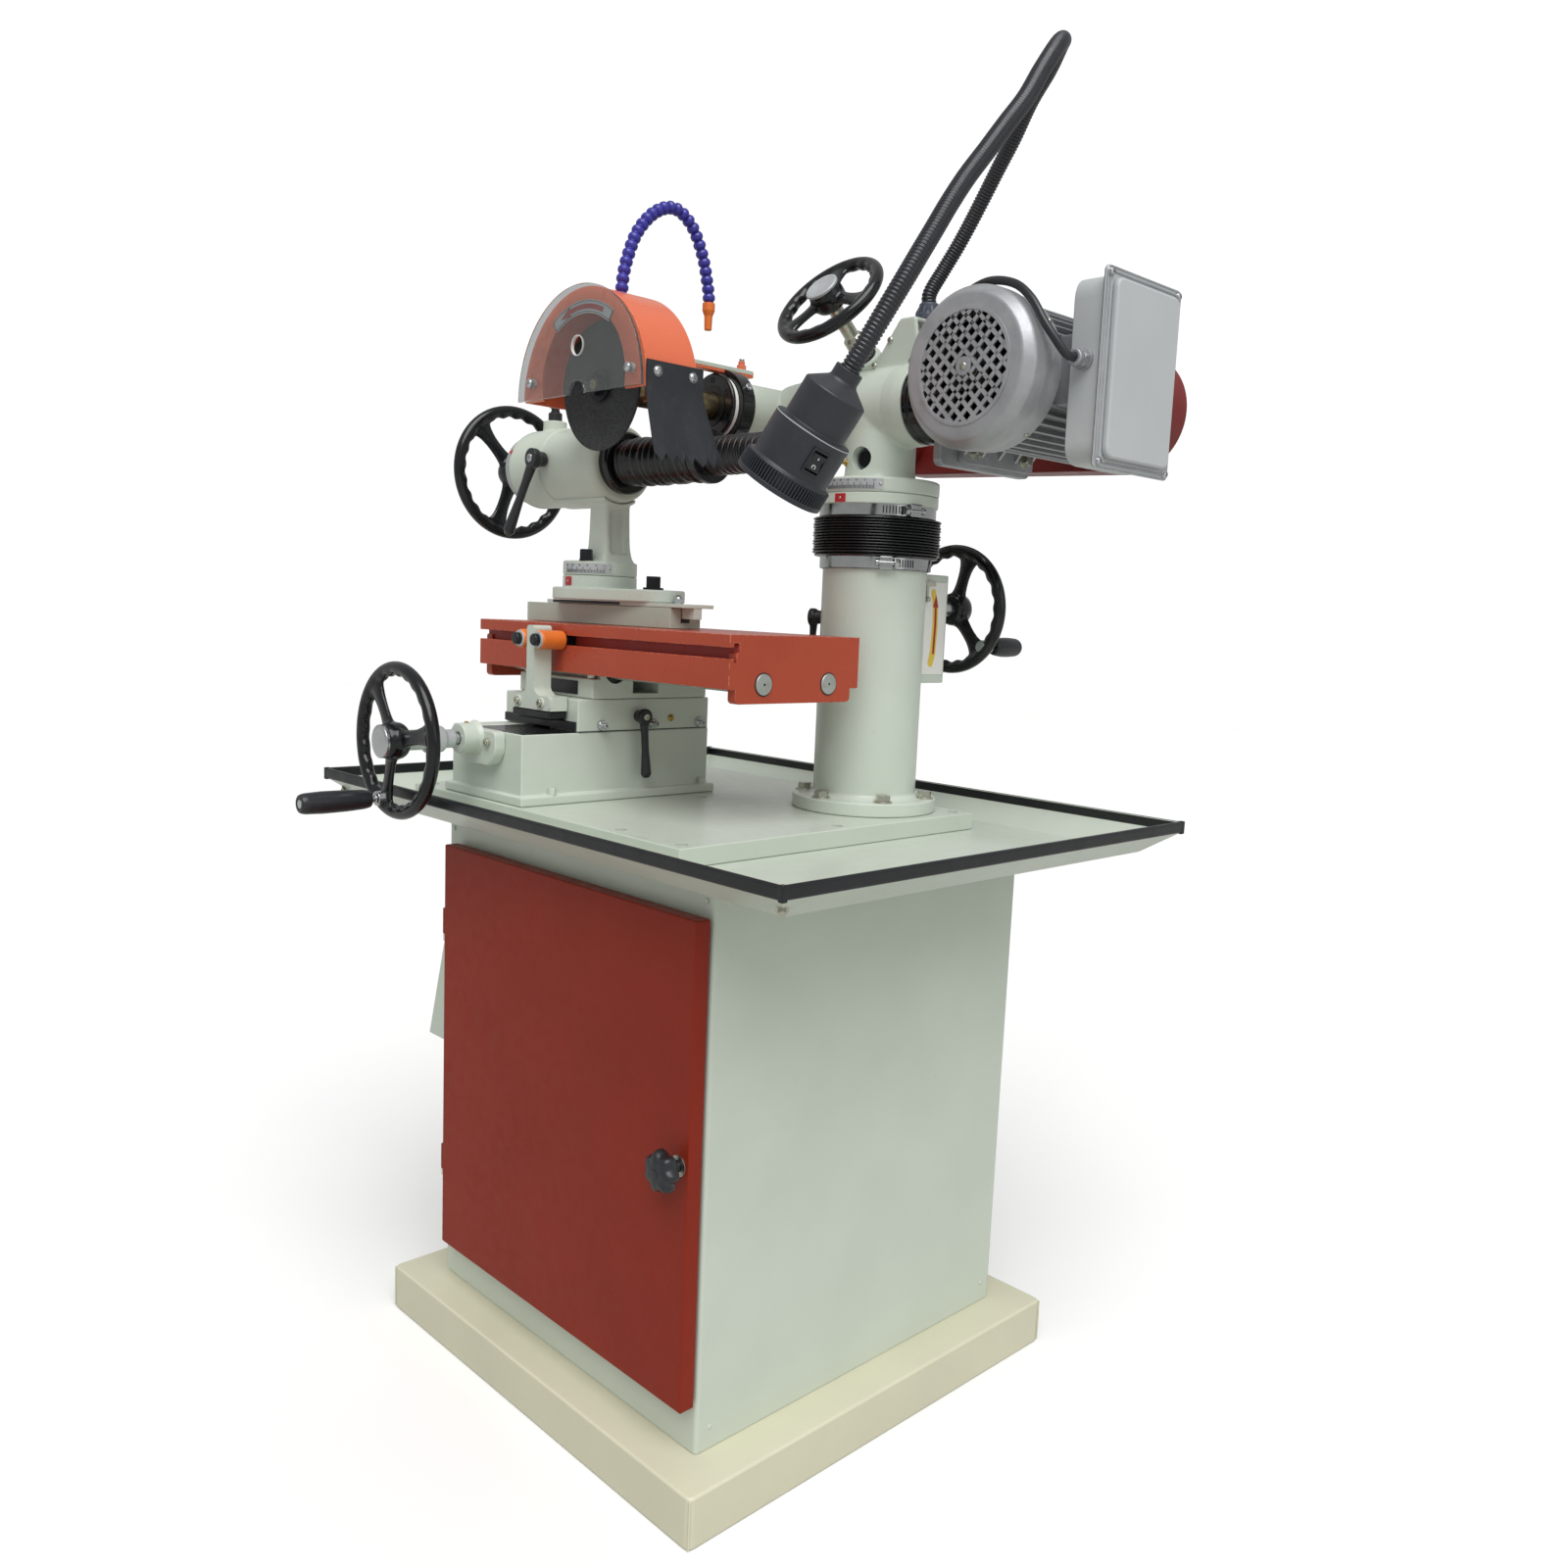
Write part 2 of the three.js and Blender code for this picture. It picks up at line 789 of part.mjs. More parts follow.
// Ribbed hose along a list of places: plain ends, ribs of two rings and an open bore
function ribbedHose(places, crest, valley, inside, ribs) {
  const sides = smallSides;
  const curve = new THREE.CatmullRomCurve3(places.map((p) => new THREE.Vector3(...p)));
  const length = curve.getLength();
  const plainEnd = (2 * crest) / length;
  const stations = [[0, valley], [plainEnd, valley]];
  const pitch = (1 - 2 * plainEnd) / ribs;
  for (let i = 0; i < ribs; i += 1) {
    stations.push([plainEnd + (i + ribCrestShare) * pitch, crest]);
    stations.push([plainEnd + (i + ribValleyShare) * pitch, valley]);
  }
  stations.push([1, valley]);
  const inner = [[1, inside]];
  for (let i = ribs; i >= 0; i -= ribsPerBoreRing) inner.push([plainEnd + i * pitch, inside]);
  inner.push([0, inside]);
  const rings = [...stations, ...inner];
  const positions = [];
  let across = new THREE.Vector3(1, 0.2, 0);
  const frames = new Map();
  const ordered = [...new Set(rings.map(([u]) => u))].sort((a, b) => a - b);
  ordered.forEach((u) => {
    const tangent = curve.getTangentAt(Math.min(u, 1));
    across = across.clone().addScaledVector(tangent, -across.dot(tangent)).normalize();
    frames.set(u, { across, beside: tangent.clone().cross(across) });
  });
  // Every other ring is turned by half a side, so no two triangles lie almost in one plane
  rings.forEach(([u, radius], i) => {
    const centre = curve.getPointAt(Math.min(u, 1));
    const frame = frames.get(u);
    for (let k = 0; k < sides; k += 1) {
      const a = (2 * Math.PI * (k + (i % 2) / 2)) / sides;
      const point = centre.clone();
      point.addScaledVector(frame.across, radius * Math.cos(a));
      point.addScaledVector(frame.beside, radius * Math.sin(a));
      positions.push(point.x, point.y, point.z);
    }
  });
  const index = [];
  rings.forEach((ring, i) => {
    const j = (i + 1) % rings.length;
    for (let k = 0; k < sides; k += 1) {
      const n = (k + 1) % sides;
      const [a, b, c, d] = [i * sides + k, i * sides + n, j * sides + k, j * sides + n];
      if (i % 2) index.push(a, d, c, a, b, d);
      else index.push(a, b, c, b, d, c);
    }
  });
  const geometry = new THREE.BufferGeometry();
  geometry.setAttribute('position', new THREE.BufferAttribute(new Float32Array(positions), 3));
  geometry.setIndex(index);
  return toGeometry(toSolid(geometry));
}

// Plain cord along a list of places
function cord(places, radius) {
  const curve = new THREE.CatmullRomCurve3(places.map((p) => new THREE.Vector3(...p)));
  const section = new THREE.Shape();
  section.absarc(0, 0, radius, 0, 2 * Math.PI);
  const steps = Math.round(curve.getLength() / (cordStep * 2 * radius));
  return new THREE.ExtrudeGeometry(section, { steps, extrudePath: curve, curveSegments: smallSides / 2 });
}

// Scene: groups stand at the place that their pieces move about
const machine = new THREE.Group();
const groupPlace = new Map([[machine, new THREE.Vector3()]]);

function assembly(parent, x, y, z) {
  const group = new THREE.Group();
  group.position.set(x, y, z).sub(groupPlace.get(parent));
  parent.add(group);
  groupPlace.set(group, new THREE.Vector3(x, y, z));
  return group;
}

// Adds a named mesh at a place given in the machine's own frame
function add(group, name, geometry, color, roughness, metalness, x = 0, y = 0, z = 0) {
  const mesh = new THREE.Mesh(geometry, new THREE.MeshStandardMaterial({ color, roughness, metalness }));
  mesh.name = name;
  mesh.position.set(x, y, z).sub(groupPlace.get(group));
  group.add(mesh);
  return mesh;
}

// Floor plinth: a pressed box open below, with a lip and a foot rail on the floor
function plinthPan() {
  const outer = slab(plinthWidth, plinthDepth, plinthHeight);
  const hollow = move(slab(plinthWidth - 2 * sheet, plinthDepth - 2 * sheet, plinthHeight), 0, 0, -sheet);
  const shell = cut(outer, hollow);
  const lipSolid = slab(plinthWidth - sheet, plinthDepth - sheet, sheet);
  const lipHole = move(slab(plinthWidth - 2 * plinthLip, plinthDepth - 2 * plinthLip, plinthHeight), 0, 0,
    -overrun);
  const rail = slab(footRailWidth, plinthDepth - sheet, sheet);
  const web = slab(sheet, plinthDepth - sheet, plinthHeight - sheet / 2);
  return join(shell, cut(lipSolid, lipHole), rail, web);
}

// Cabinet: sheet box with the door opening, two hinge pins and the cable inlet at the back
function cabinetShell() {
  const outer = slab(cabinetWidth, cabinetDepth, cabinetHeight);
  const inside = move(slab(cabinetWidth - 2 * sheet, cabinetDepth - 2 * sheet, cabinetHeight - 2 * sheet),
    0, 0, sheet);
  const opening = block(-cabinetWidth / 2 + 2 * cabinetFrame, cabinetWidth / 2 - cabinetFrame,
    cabinetFront - overrun, cabinetFront + sheet + overrun,
    doorBottom + cabinetFrame - cabinetBottom, doorBottom + doorHeight - cabinetFrame - cabinetBottom);
  const inletHole = move(alongY(rod(inletRadius / 2, inletLength + 2 * overrun, smallSides)), inletX,
    cabinetDepth / 2 - overrun, inletHeight);
  const inlet = move(alongY(rod(inletRadius, inletLength, smallSides)), inletX, cabinetDepth / 2 - sheet / 2,
    inletHeight);
  const hinges = hingeHeights().map((z) => hingePin(z - cabinetBottom));
  return cut(join(cut(outer, inside, opening), inlet, ...hinges), inletHole);
}

// Heights of the lower ends of the two hinge pins
function hingeHeights() {
  return [doorBottom + hingeInset, doorBottom + doorHeight - hingeInset - hingePinLength];
}

// Pin on a bracket that stands out from the cabinet's front
function hingePin(z) {
  const bracketLeft = doorAxisX - knuckleRadius;
  const foot = hingePinLength / 4;
  const bracket = block(bracketLeft, doorAxisX + hingePinRadius, doorAxisY - hingePinRadius,
    cabinetFront + sheet / 2, z, z + foot);
  const pin = move(rod(hingePinRadius, hingePinLength, smallSides), doorAxisX, doorAxisY, z);
  return join(bracket, pin);
}

// Door tray with its return edges, knuckles over the hinge pins and a hole for the knob's stem
function doorPanel() {
  const tray = block(doorLeft, doorRight, doorFace, doorBack, doorBottom, doorBottom + doorHeight);
  const hollow = block(doorLeft + sheet, doorRight - sheet, doorFace + sheet, doorBack + overrun,
    doorBottom + sheet, doorBottom + doorHeight - sheet);
  const stemHole = move(alongY(bore(doorKnobStem + fit, doorDepth, smallSides)), doorKnobX,
    doorFace - overrun, doorKnobZ);
  const knuckles = hingeHeights().map((z) => {
    const start = z + hingePinLength / 4 + fit;
    const height = hingePinLength * 3 / 4;
    const barrel = move(rod(knuckleRadius, height, plainSides), doorAxisX, doorAxisY, start);
    const leaf = block(doorAxisX, doorLeft + sheet / 2, doorAxisY - sheet, doorAxisY + sheet, start,
      start + height);
    const hole = move(bore(hingePinRadius + fit, height + 2 * sheet, smallSides), doorAxisX, doorAxisY, start - sheet);
    return cut(join(barrel, leaf), hole);
  });
  return move(join(cut(tray, hollow, stemHole), ...knuckles), -doorAxisX, -doorAxisY, 0);
}

// Lobed latch knob on a stem, along -Y from the door's face
function doorKnob() {
  const points = [];
  const steps = doorKnobLobes * 6;
  for (let i = 0; i < steps; i += 1) {
    const a = (2 * Math.PI * i) / steps;
    const r = doorKnobRadius + doorKnobLobe * Math.cos(doorKnobLobes * a);
    points.push([r * Math.cos(a), r * Math.sin(a)]);
  }
  const head = move(pushedAlongY(points, doorKnobDepth), 0, -doorKnobReach - doorKnobDepth, 0);
  const stem = move(alongY(rod(doorKnobStem, doorKnobReach + doorDepth, smallSides)), 0, -doorKnobReach - fit, 0);
  return join(head, stem);
}

// Wedge shaped hood: shallow at the top, deep at its lower mouth
function sideHood() {
  const profile = [[0, hoodBottom], [0, hoodTop], [-hoodReachTop, hoodTop], [-hoodReachLow, hoodBottom]];
  const hollow = [
    [-sheet, hoodBottom - overrun], [-sheet, hoodTop - sheet], [sheet - hoodReachTop, hoodTop - sheet],
    [sheet - hoodReachLow, hoodBottom - overrun],
  ];
  const depth = hoodBack - hoodFront;
  return cut(pushedAlongY(profile, depth), move(pushedAlongY(hollow, depth - 2 * sheet), 0, sheet, 0));
}

// Frustum with a rectangular foot and a rectangular top
function flared(width0, depth0, width1, depth1, height) {
  const shape = slab(width0, depth0, height);
  const positions = shape.attributes.position;
  for (let i = 0; i < positions.count; i += 1) {
    if (positions.getZ(i) > height / 2) {
      positions.setX(i, positions.getX(i) * (width1 / width0));
      positions.setY(i, positions.getY(i) * (depth1 / depth0));
    }
  }
  return shape;
}

// Coolant tray: flat floor, sloping walls and an upright lip
function trayPan() {
  const slope = trayHeight - trimHeight;
  const lipWidth = trayWidth - 2 * trimSheet - 2 * fit;
  const lipDepth = trayDepth - 2 * trimSheet - 2 * fit;
  const outer = join(flared(trayFloorWidth, trayFloorDepth, lipWidth, lipDepth, slope),
    move(slab(lipWidth, lipDepth, trimHeight), 0, 0, slope));
  const inner = join(
    move(flared(trayFloorWidth - 2 * sheet, trayFloorDepth - 2 * sheet, lipWidth - 2 * sheet,
      lipDepth - 2 * sheet, slope - sheet), 0, 0, sheet),
    move(slab(lipWidth - 2 * sheet, lipDepth - 2 * sheet, trimHeight + overrun), 0, 0, slope));
  return cut(outer, inner);
}

function trayTrim() {
  const frame = slab(trayWidth, trayDepth, trimHeight);
  const hole = move(slab(trayWidth - 2 * trimSheet, trayDepth - 2 * trimSheet, trimHeight + 2 * overrun),
    0, 0, -overrun);
  return cut(frame, hole);
}

// Bed plate with bolt holes near its corners and along its middle
function bedPlate() {
  const plate = block(bedLeft, bedRight, bedFront, bedBack, 0, bedThickness);
  const places = [
    [bedLeft + bedHoleInset, bedFront + bedHoleInset], [bedRight - bedHoleInset, bedFront + bedHoleInset],
    [bedLeft + bedHoleInset, bedBack - bedHoleInset], [bedRight - bedHoleInset, bedBack - bedHoleInset],
    [bedRight - bedHoleInset, bedMiddleHoleY - bedHoleInset / 2], [bedMiddleHoleX, bedMiddleHoleY],
  ];
  const holes = places.map(([x, y]) => move(rod(bedHoleRadius, bedThickness + 2 * overrun, smallSides), x, y,
    -overrun));
  return cut(plate, ...holes);
}

// Column tube on its flange, with the ring of flange bolts
function columnTube() {
  const height = columnTop - columnBottom;
  const tube = turned([
    [columnBore, 0], [columnFlangeRadius, 0], [columnFlangeRadius, columnFlangeThickness],
    [columnRadius, columnFlangeThickness], [columnRadius, height], [columnBore, height],
  ], fineSides);
  const heads = [];
  for (let i = 0; i < flangeBoltCount; i += 1) {
    const a = (2 * Math.PI * i) / flangeBoltCount - quarterTurn;
    heads.push(move(hexHead(boltHeadRadius, boltHeadHeight + fit), flangeBoltCircle * Math.cos(a),
      flangeBoltCircle * Math.sin(a), columnFlangeThickness - fit));
  }
  return join(tube, ...heads);
}

// Cross slide base: foot with its bolts, box with the open channel, and the feed bracket on the front
function crossBase() {
  const foot = block(footLeft, footRight, footFront, footBack, 0, footThickness);
  const top = footThickness + crossBoxHeight;
  const box = block(crossBoxLeft, crossBoxRight, crossBoxFront, crossBoxBack, footThickness / 2, top);
  const channel = block(bedLineX - channelWidth / 2, bedLineX + channelWidth / 2,
    crossBoxFront + channelEndWall, crossBoxBack - channelEndWall, top - channelDepth, top + overrun);
  const screwZ = crossScrewZ - bedSurface;
  const plate = block(bedLineX - bracketWidth / 2, bedLineX + bracketWidth / 2,
    crossBoxFront - bracketDepth, crossBoxFront + fit, screwZ - bracketDrop, screwZ + bracketRise);
  const boss = move(alongY(rod(bracketBossRadius, bracketBossLength + bracketDepth)), bedLineX,
    crossBoxFront - bracketDepth - bracketBossLength, screwZ);
  const hole = move(alongY(bore(crossScrewRadius + fit, bracketBossLength + bracketDepth + channelEndWall
    + 2 * overrun)), bedLineX, crossBoxFront - bracketDepth - bracketBossLength - overrun, screwZ);
  const heads = [];
  const ledge = footRight - crossBoxRight;
  for (const y of [footFront + footBoltFront, footBack - footBoltBack]) {
    for (const x of [footRight - ledge / 2, footLeft + ledge / 2]) {
      heads.push(move(hexHead(ledge / 2 - fit, boltHeadHeight + fit), x, y, footThickness - fit));
    }
  }
  return cut(join(foot, box, plate, boss, ...heads), channel, hole);
}

// Lift gearbox: a block cut to sit on the column's back, with the wheel shaft's boss
function liftGearbox() {
  const body = block(-gearboxWidth / 2, gearboxWidth / 2, 0, gearboxReach, 0, gearboxHeight);
  const seat = move(rod(columnRadius + fit, gearboxHeight + 2 * overrun, fineSides), 0, 0, -overrun);
  const bossZ = liftWheelZ - gearboxBottom;
  const boss = move(alongY(rod(gearboxBossRadius, gearboxBossLength)), 0, gearboxReach - fit, bossZ);
  const hole = move(alongY(bore(armSpindleRadius + fit, gearboxReach)), 0, columnRadius + 2 * overrun, bossZ);
  return cut(join(body, boss), seat, hole);
}

// Sliding quill inside the column with the collar for the bellows and the head's lower disc
function liftQuill() {
  const collarBottom = quillDiscBottom - quillCollarHeight;
  const start = quillDiscBottom - quillLength;
  return turned([
    [0, start], [columnBore - fit, start], [columnBore - fit, collarBottom], [quillCollarRadius, collarBottom],
    [quillCollarRadius, quillDiscBottom], [quillDiscRadius, quillDiscBottom], [quillDiscRadius, quillDiscTop],
    [quillSpigotRadius, quillDiscTop], [quillSpigotRadius, quillDiscTop + quillSpigotLength],
    [0, quillDiscTop + quillSpigotLength],
  ], fineSides);
}

// Hub along +Z with a rod hanging from it towards -X, ending in a ball
function clampLever(hub, reach, length, rodRadius, ball) {
  const boss = rod(hub, reach, plainSides);
  const handle = move(alongX(rod(rodRadius, length, smallSides)), -length, 0, reach - rodRadius - fit);
  const end = new THREE.SphereGeometry(ball, smallSides, smallSides / 2).rotateX(quarterTurn);
  return join(boss, handle, move(end, -length, 0, reach - rodRadius - fit));
}

// Saddle over the box: a groove for the feed screw, gib screws and an oil nipple on its right side
function saddleBody() {
  const body = block(saddleLeft, saddleRight, saddleFront, saddleBack, 0, saddleHeight);
  const groove = block(bedLineX - saddleGrooveWidth / 2, bedLineX + saddleGrooveWidth / 2,
    saddleFront - overrun, saddleBack + overrun, -overrun, saddleGrooveDepth);
  const x = saddleRight - fit;
  const gibs = gibScrewYs.map((y) => move(alongX(hexHead(screwHeadRadius, screwHeadLength)), x, y,
    gibScrewZ - saddleBottom));
  const nipple = move(alongX(rod(nippleRadius, screwHeadLength, smallSides)), x, nippleY,
    nippleZ - saddleBottom);
  return join(cut(body, groove), ...gibs, nipple);
}

// Housing with the two guide bores, their wider mouths and the window below them
function guideHousing() {
  const base = block(saddleLeft, saddleRight, housingFront, housingBack, 0, housingBaseHeight);
  const upper = block(saddleLeft, saddleRight, housingBlockFront, housingBlockBack, 0, housingBlockHeight);
  const width = saddleRight - saddleLeft;
  const boreZ = shaftZ - housingBottom;
  const cuts = [block(saddleLeft - overrun, saddleRight + overrun, housingWindowFront, housingWindowBack,
    housingBaseHeight / 4, housingBaseHeight)];
  for (const y of [shaftFrontY, shaftBackY]) {
    cuts.push(move(alongX(bore(shaftRadius + fit, width + 2 * overrun, plainSides)), saddleLeft - overrun, y,
      boreZ));
    cuts.push(move(alongX(rod(boreMouthRadius, boreMouthDepth + overrun, plainSides)), saddleLeft - overrun,
      y, boreZ));
    cuts.push(move(alongX(rod(boreMouthRadius, boreMouthDepth + overrun, plainSides)),
      saddleRight - boreMouthDepth, y, boreZ));
  }
  return cut(join(base, upper), ...cuts);
}

// Bracket on the saddle's front with the upright stem between the table stops
function stopBracket() {
  const back = saddleFront - fit;
  const front = back - stopBlockDepth;
  const base = block(stopBlockLeft, stopBlockRight, front, back, stopBlockBottom,
    stopBlockBottom + stopBlockHeight);
  const stem = block(stopStemX - stopStemWidth / 2, stopStemX + stopStemWidth / 2, front,
    front + stopStemDepth, stopBlockBottom, stopStemTop);
  const screwZ = stopBlockBottom + stopBlockHeight / 2;
  const middle = (stopBlockLeft + stopBlockRight) / 2;
  const heads = [-stopScrewSpacing / 2, stopScrewSpacing / 2].map((dx) => move(
    alongY(rod(screwHeadRadius, screwHeadLength + fit, smallSides)), middle + dx, front - screwHeadLength,
    screwZ));
  return join(base, stem, ...heads);
}

// Table: slab, two long walls with a groove in the front one, and end plates with shaft bores
function workTable() {
  const slabBottom = tableTop - tableSlab;
  const top = block(tableLeft, tableRight, tableFront, tableBack, slabBottom, tableTop);
  const front = block(tableLeft, tableRight, tableFront, tableFront + tableWall, tableSkirtBottom, tableTop);
  const back = block(tableLeft, tableRight, tableBack - tableWall, tableBack, tableSkirtBottom, tableTop);
  const ends = [tableLeft, tableRight - endPlateThickness].map((x) => block(x, x + endPlateThickness,
    endPlateFront, endPlateBack, endPlateBottom, slabBottom + fit));
  const wide = tableFront + grooveDepth;
  const cuts = [
    block(tableLeft - overrun, tableRight + overrun, tableFront - overrun, wide + fit, grooveBottom, grooveTop),
    block(tableLeft - overrun, tableRight + overrun, wide, wide + grooveWideDepth,
      grooveBottom - grooveWideRise, grooveTop + grooveWideRise),
  ];
  for (const y of [shaftFrontY, shaftBackY]) {
    cuts.push(move(alongX(bore(shaftRadius + fit, tableRight - tableLeft + 2 * overrun, plainSides)),
      tableLeft - overrun, y, shaftZ));
  }
  return cut(join(top, front, back, ...ends), ...cuts);
}

function guideShaft() {
  return alongX(rod(shaftRadius, tableRight - tableLeft + 2 * shaftPlugReach, plainSides));
}

// Two rails with the key slot between them on one web
function tableRails() {
  const body = block(railsLeft, railsRight, railsFront, railsBack, 0, railsHeight);
  const slot = block(railsLeft - overrun, railsRight + overrun, railSlotY - railSlotWidth / 2,
    railSlotY + railSlotWidth / 2, railsWeb, railsHeight + overrun);
  return cut(body, slot);
}

// Stop knob along -Y from the table's front, with its nut in the groove
function tableStop() {
  const knob = move(alongY(rod(stopKnobRadius, stopKnobLength, plainSides)), 0, -stopKnobGap - stopKnobLength, 0);
  const cap = move(alongY(rod(stopCapRadius, stopCapLength + fit, hexSides)), 0,
    -stopKnobGap - stopKnobLength - stopCapLength, 0);
  const half = (grooveTop - grooveBottom) / 2 - stopNutPlay;
  const neck = block(-half, half, -stopKnobGap - fit, grooveDepth + 2 * stopNutPlay, -half, half);
  const nutHalf = half + grooveWideRise;
  const nut = block(-nutHalf, nutHalf, grooveDepth + stopNutPlay, grooveDepth + grooveWideDepth - stopNutPlay,
    -nutHalf, nutHalf);
  return join(knob, cap, neck, nut);
}

// Thin plate on the rails with its key in the slot and an acorn nut on its right end
function postSlidePlate() {
  const plate = block(slidePlateLeft, slidePlateRight, railsFront, railsBack, 0, slidePlateThickness);
  const key = block(slidePlateLeft, slidePlateRight, railSlotY - railSlotWidth / 2 + fit,
    railSlotY + railSlotWidth / 2 - fit, -slideKeyDepth, fit);
  const nut = turned([
    [0, 0], [acornNutRadius, 0], [acornNutRadius, acornNutHeight / 2],
    [acornNutRadius / 2, acornNutHeight], [0, acornNutHeight],
  ], hexSides);
  return join(plate, key, move(nut, acornNutX, postY, slidePlateThickness - fit));
}

// Teardrop plate with the lower disc and the bore for the post's spigot
function swivelPlate() {
  const drop = pushedUp(beltOutline(0, 0, swivelRadius, swivelNoseReach, 0, swivelNoseRadius, smallSides),
    swivelThickness);
  const disc = rod(postDiscRadius, swivelThickness + lowerDiscHeight, fineSides);
  const hole = move(bore(postSpigotRadius + fit, swivelThickness + lowerDiscHeight, plainSides), 0, 0,
    swivelThickness + lowerDiscHeight - postSpigotLength - fit);
  return cut(join(drop, disc), hole);
}

// Post: graduated disc, tapered stem with a recess, and the cradle under the barrel
function postCasting() {
  const disc = rod(postDiscRadius, upperDiscHeight, fineSides);
  const spigot = move(rod(postSpigotRadius, postSpigotLength + fit, plainSides), 0, 0, -postSpigotLength);
  const rise = armZ - postBottom;
  const width = postRight - postLeft;
  const depth = postBack - postFront;
  const stem = flared(width, depth, width * (1 - postTaperShare), depth * (1 - postTaperShare), rise);
  const placed = move(stem, (postLeft + postRight) / 2 - postX, (postFront + postBack) / 2 - postY, 0);
  const seat = move(alongX(rod(barrelRadius - barrelStep + fit, barrelLength, fineSides)), barrelLeft - postX,
    armY - postY, rise);
  const recess = block(postRight - postX - postRecessDepth - width * postTaperShare / 4, postRight - postX + overrun,
    postFront - postY + postRecessMargin, postBack - postY - postRecessMargin,
    upperDiscHeight + postRecessMargin, rise - barrelRadius - postRecessMargin);
  const bolt = move(hexHead(screwHeadRadius, screwHeadLength + boltHeadHeight), discBoltReach / 2,
    -discBoltReach, upperDiscHeight - fit);
  return join(cut(join(disc, placed, spigot), seat, recess), bolt);
}

// Swivel clamp bolt standing on its washer
function swivelBolt() {
  return hexHead(boltHeadRadius, swivelBoltHeight + washerThickness, washerRadius);
}

// Arm barrel: stepped body, dial at its outer end, black flange at its inner end and plunger boss
function armBarrel() {
  const step = barrelStepX - barrelLeft;
  const inside = around(barrelBore, fineSides);
  const journal = around(armSpindleRadius + fit, fineSides);
  const profile = [
    [journal, -dialLength], [dialRadius, -dialLength], [dialRadius, 0], [barrelRadius, 0],
    [barrelRadius, step], [barrelRadius - barrelStep, step], [barrelRadius - barrelStep, barrelLength],
    [flangeRingRadius, barrelLength], [flangeRingRadius, barrelLength + flangeRingLength],
    [inside, barrelLength + flangeRingLength], [inside, armJournalLength], [journal, armJournalLength],
  ];
  const body = alongX(turned(profile, fineSides));
  const boss = move(rod(plungerBossRadius, plungerBossHeight + barrelRadius - barrelBore - overrun,
    plainSides), plungerX - barrelLeft, 0, barrelBore + overrun);
  const pinBore = move(bore(plungerPin + fit, barrelRadius + plungerBossHeight, smallSides),
    plungerX - barrelLeft, 0, barrelBore + 2 * overrun);
  return cut(join(body, boss), pinBore);
}

// Pull knob with its collar and the pin that drops into the boss
function indexPlunger() {
  const start = armZ + barrelRadius + plungerBossHeight + fit;
  const height = plungerTop - start;
  return turned([
    [0, -plungerNeck], [plungerPin, -plungerNeck], [plungerPin, 0], [plungerCollarRadius, 0],
    [plungerCollarRadius, height / 3], [plungerPin, height / 3], [plungerPin, height / 2],
    [plungerKnobRadius, height / 2], [plungerKnobRadius, height], [0, height],
  ], plainSides);
}

// Arm shaft inside its bellows, with the collar that closes them and the blade nose
function armShaft() {
  const collar = armBellowsRight + fit - armShaftLeft;
  const length = armShaftRight - armShaftLeft;
  return turned([
    [0, 0], [armShaftRadius, 0], [armShaftRadius, collar], [armCollarRadius, collar],
    [armCollarRadius, collar + armCollarLength], [armShaftRadius, collar + armCollarLength],
    [armShaftRadius, length], [armNoseRadius, length], [armNoseRadius, length + armNoseLength],
    [0, length + armNoseLength],
  ], plainSides);
}

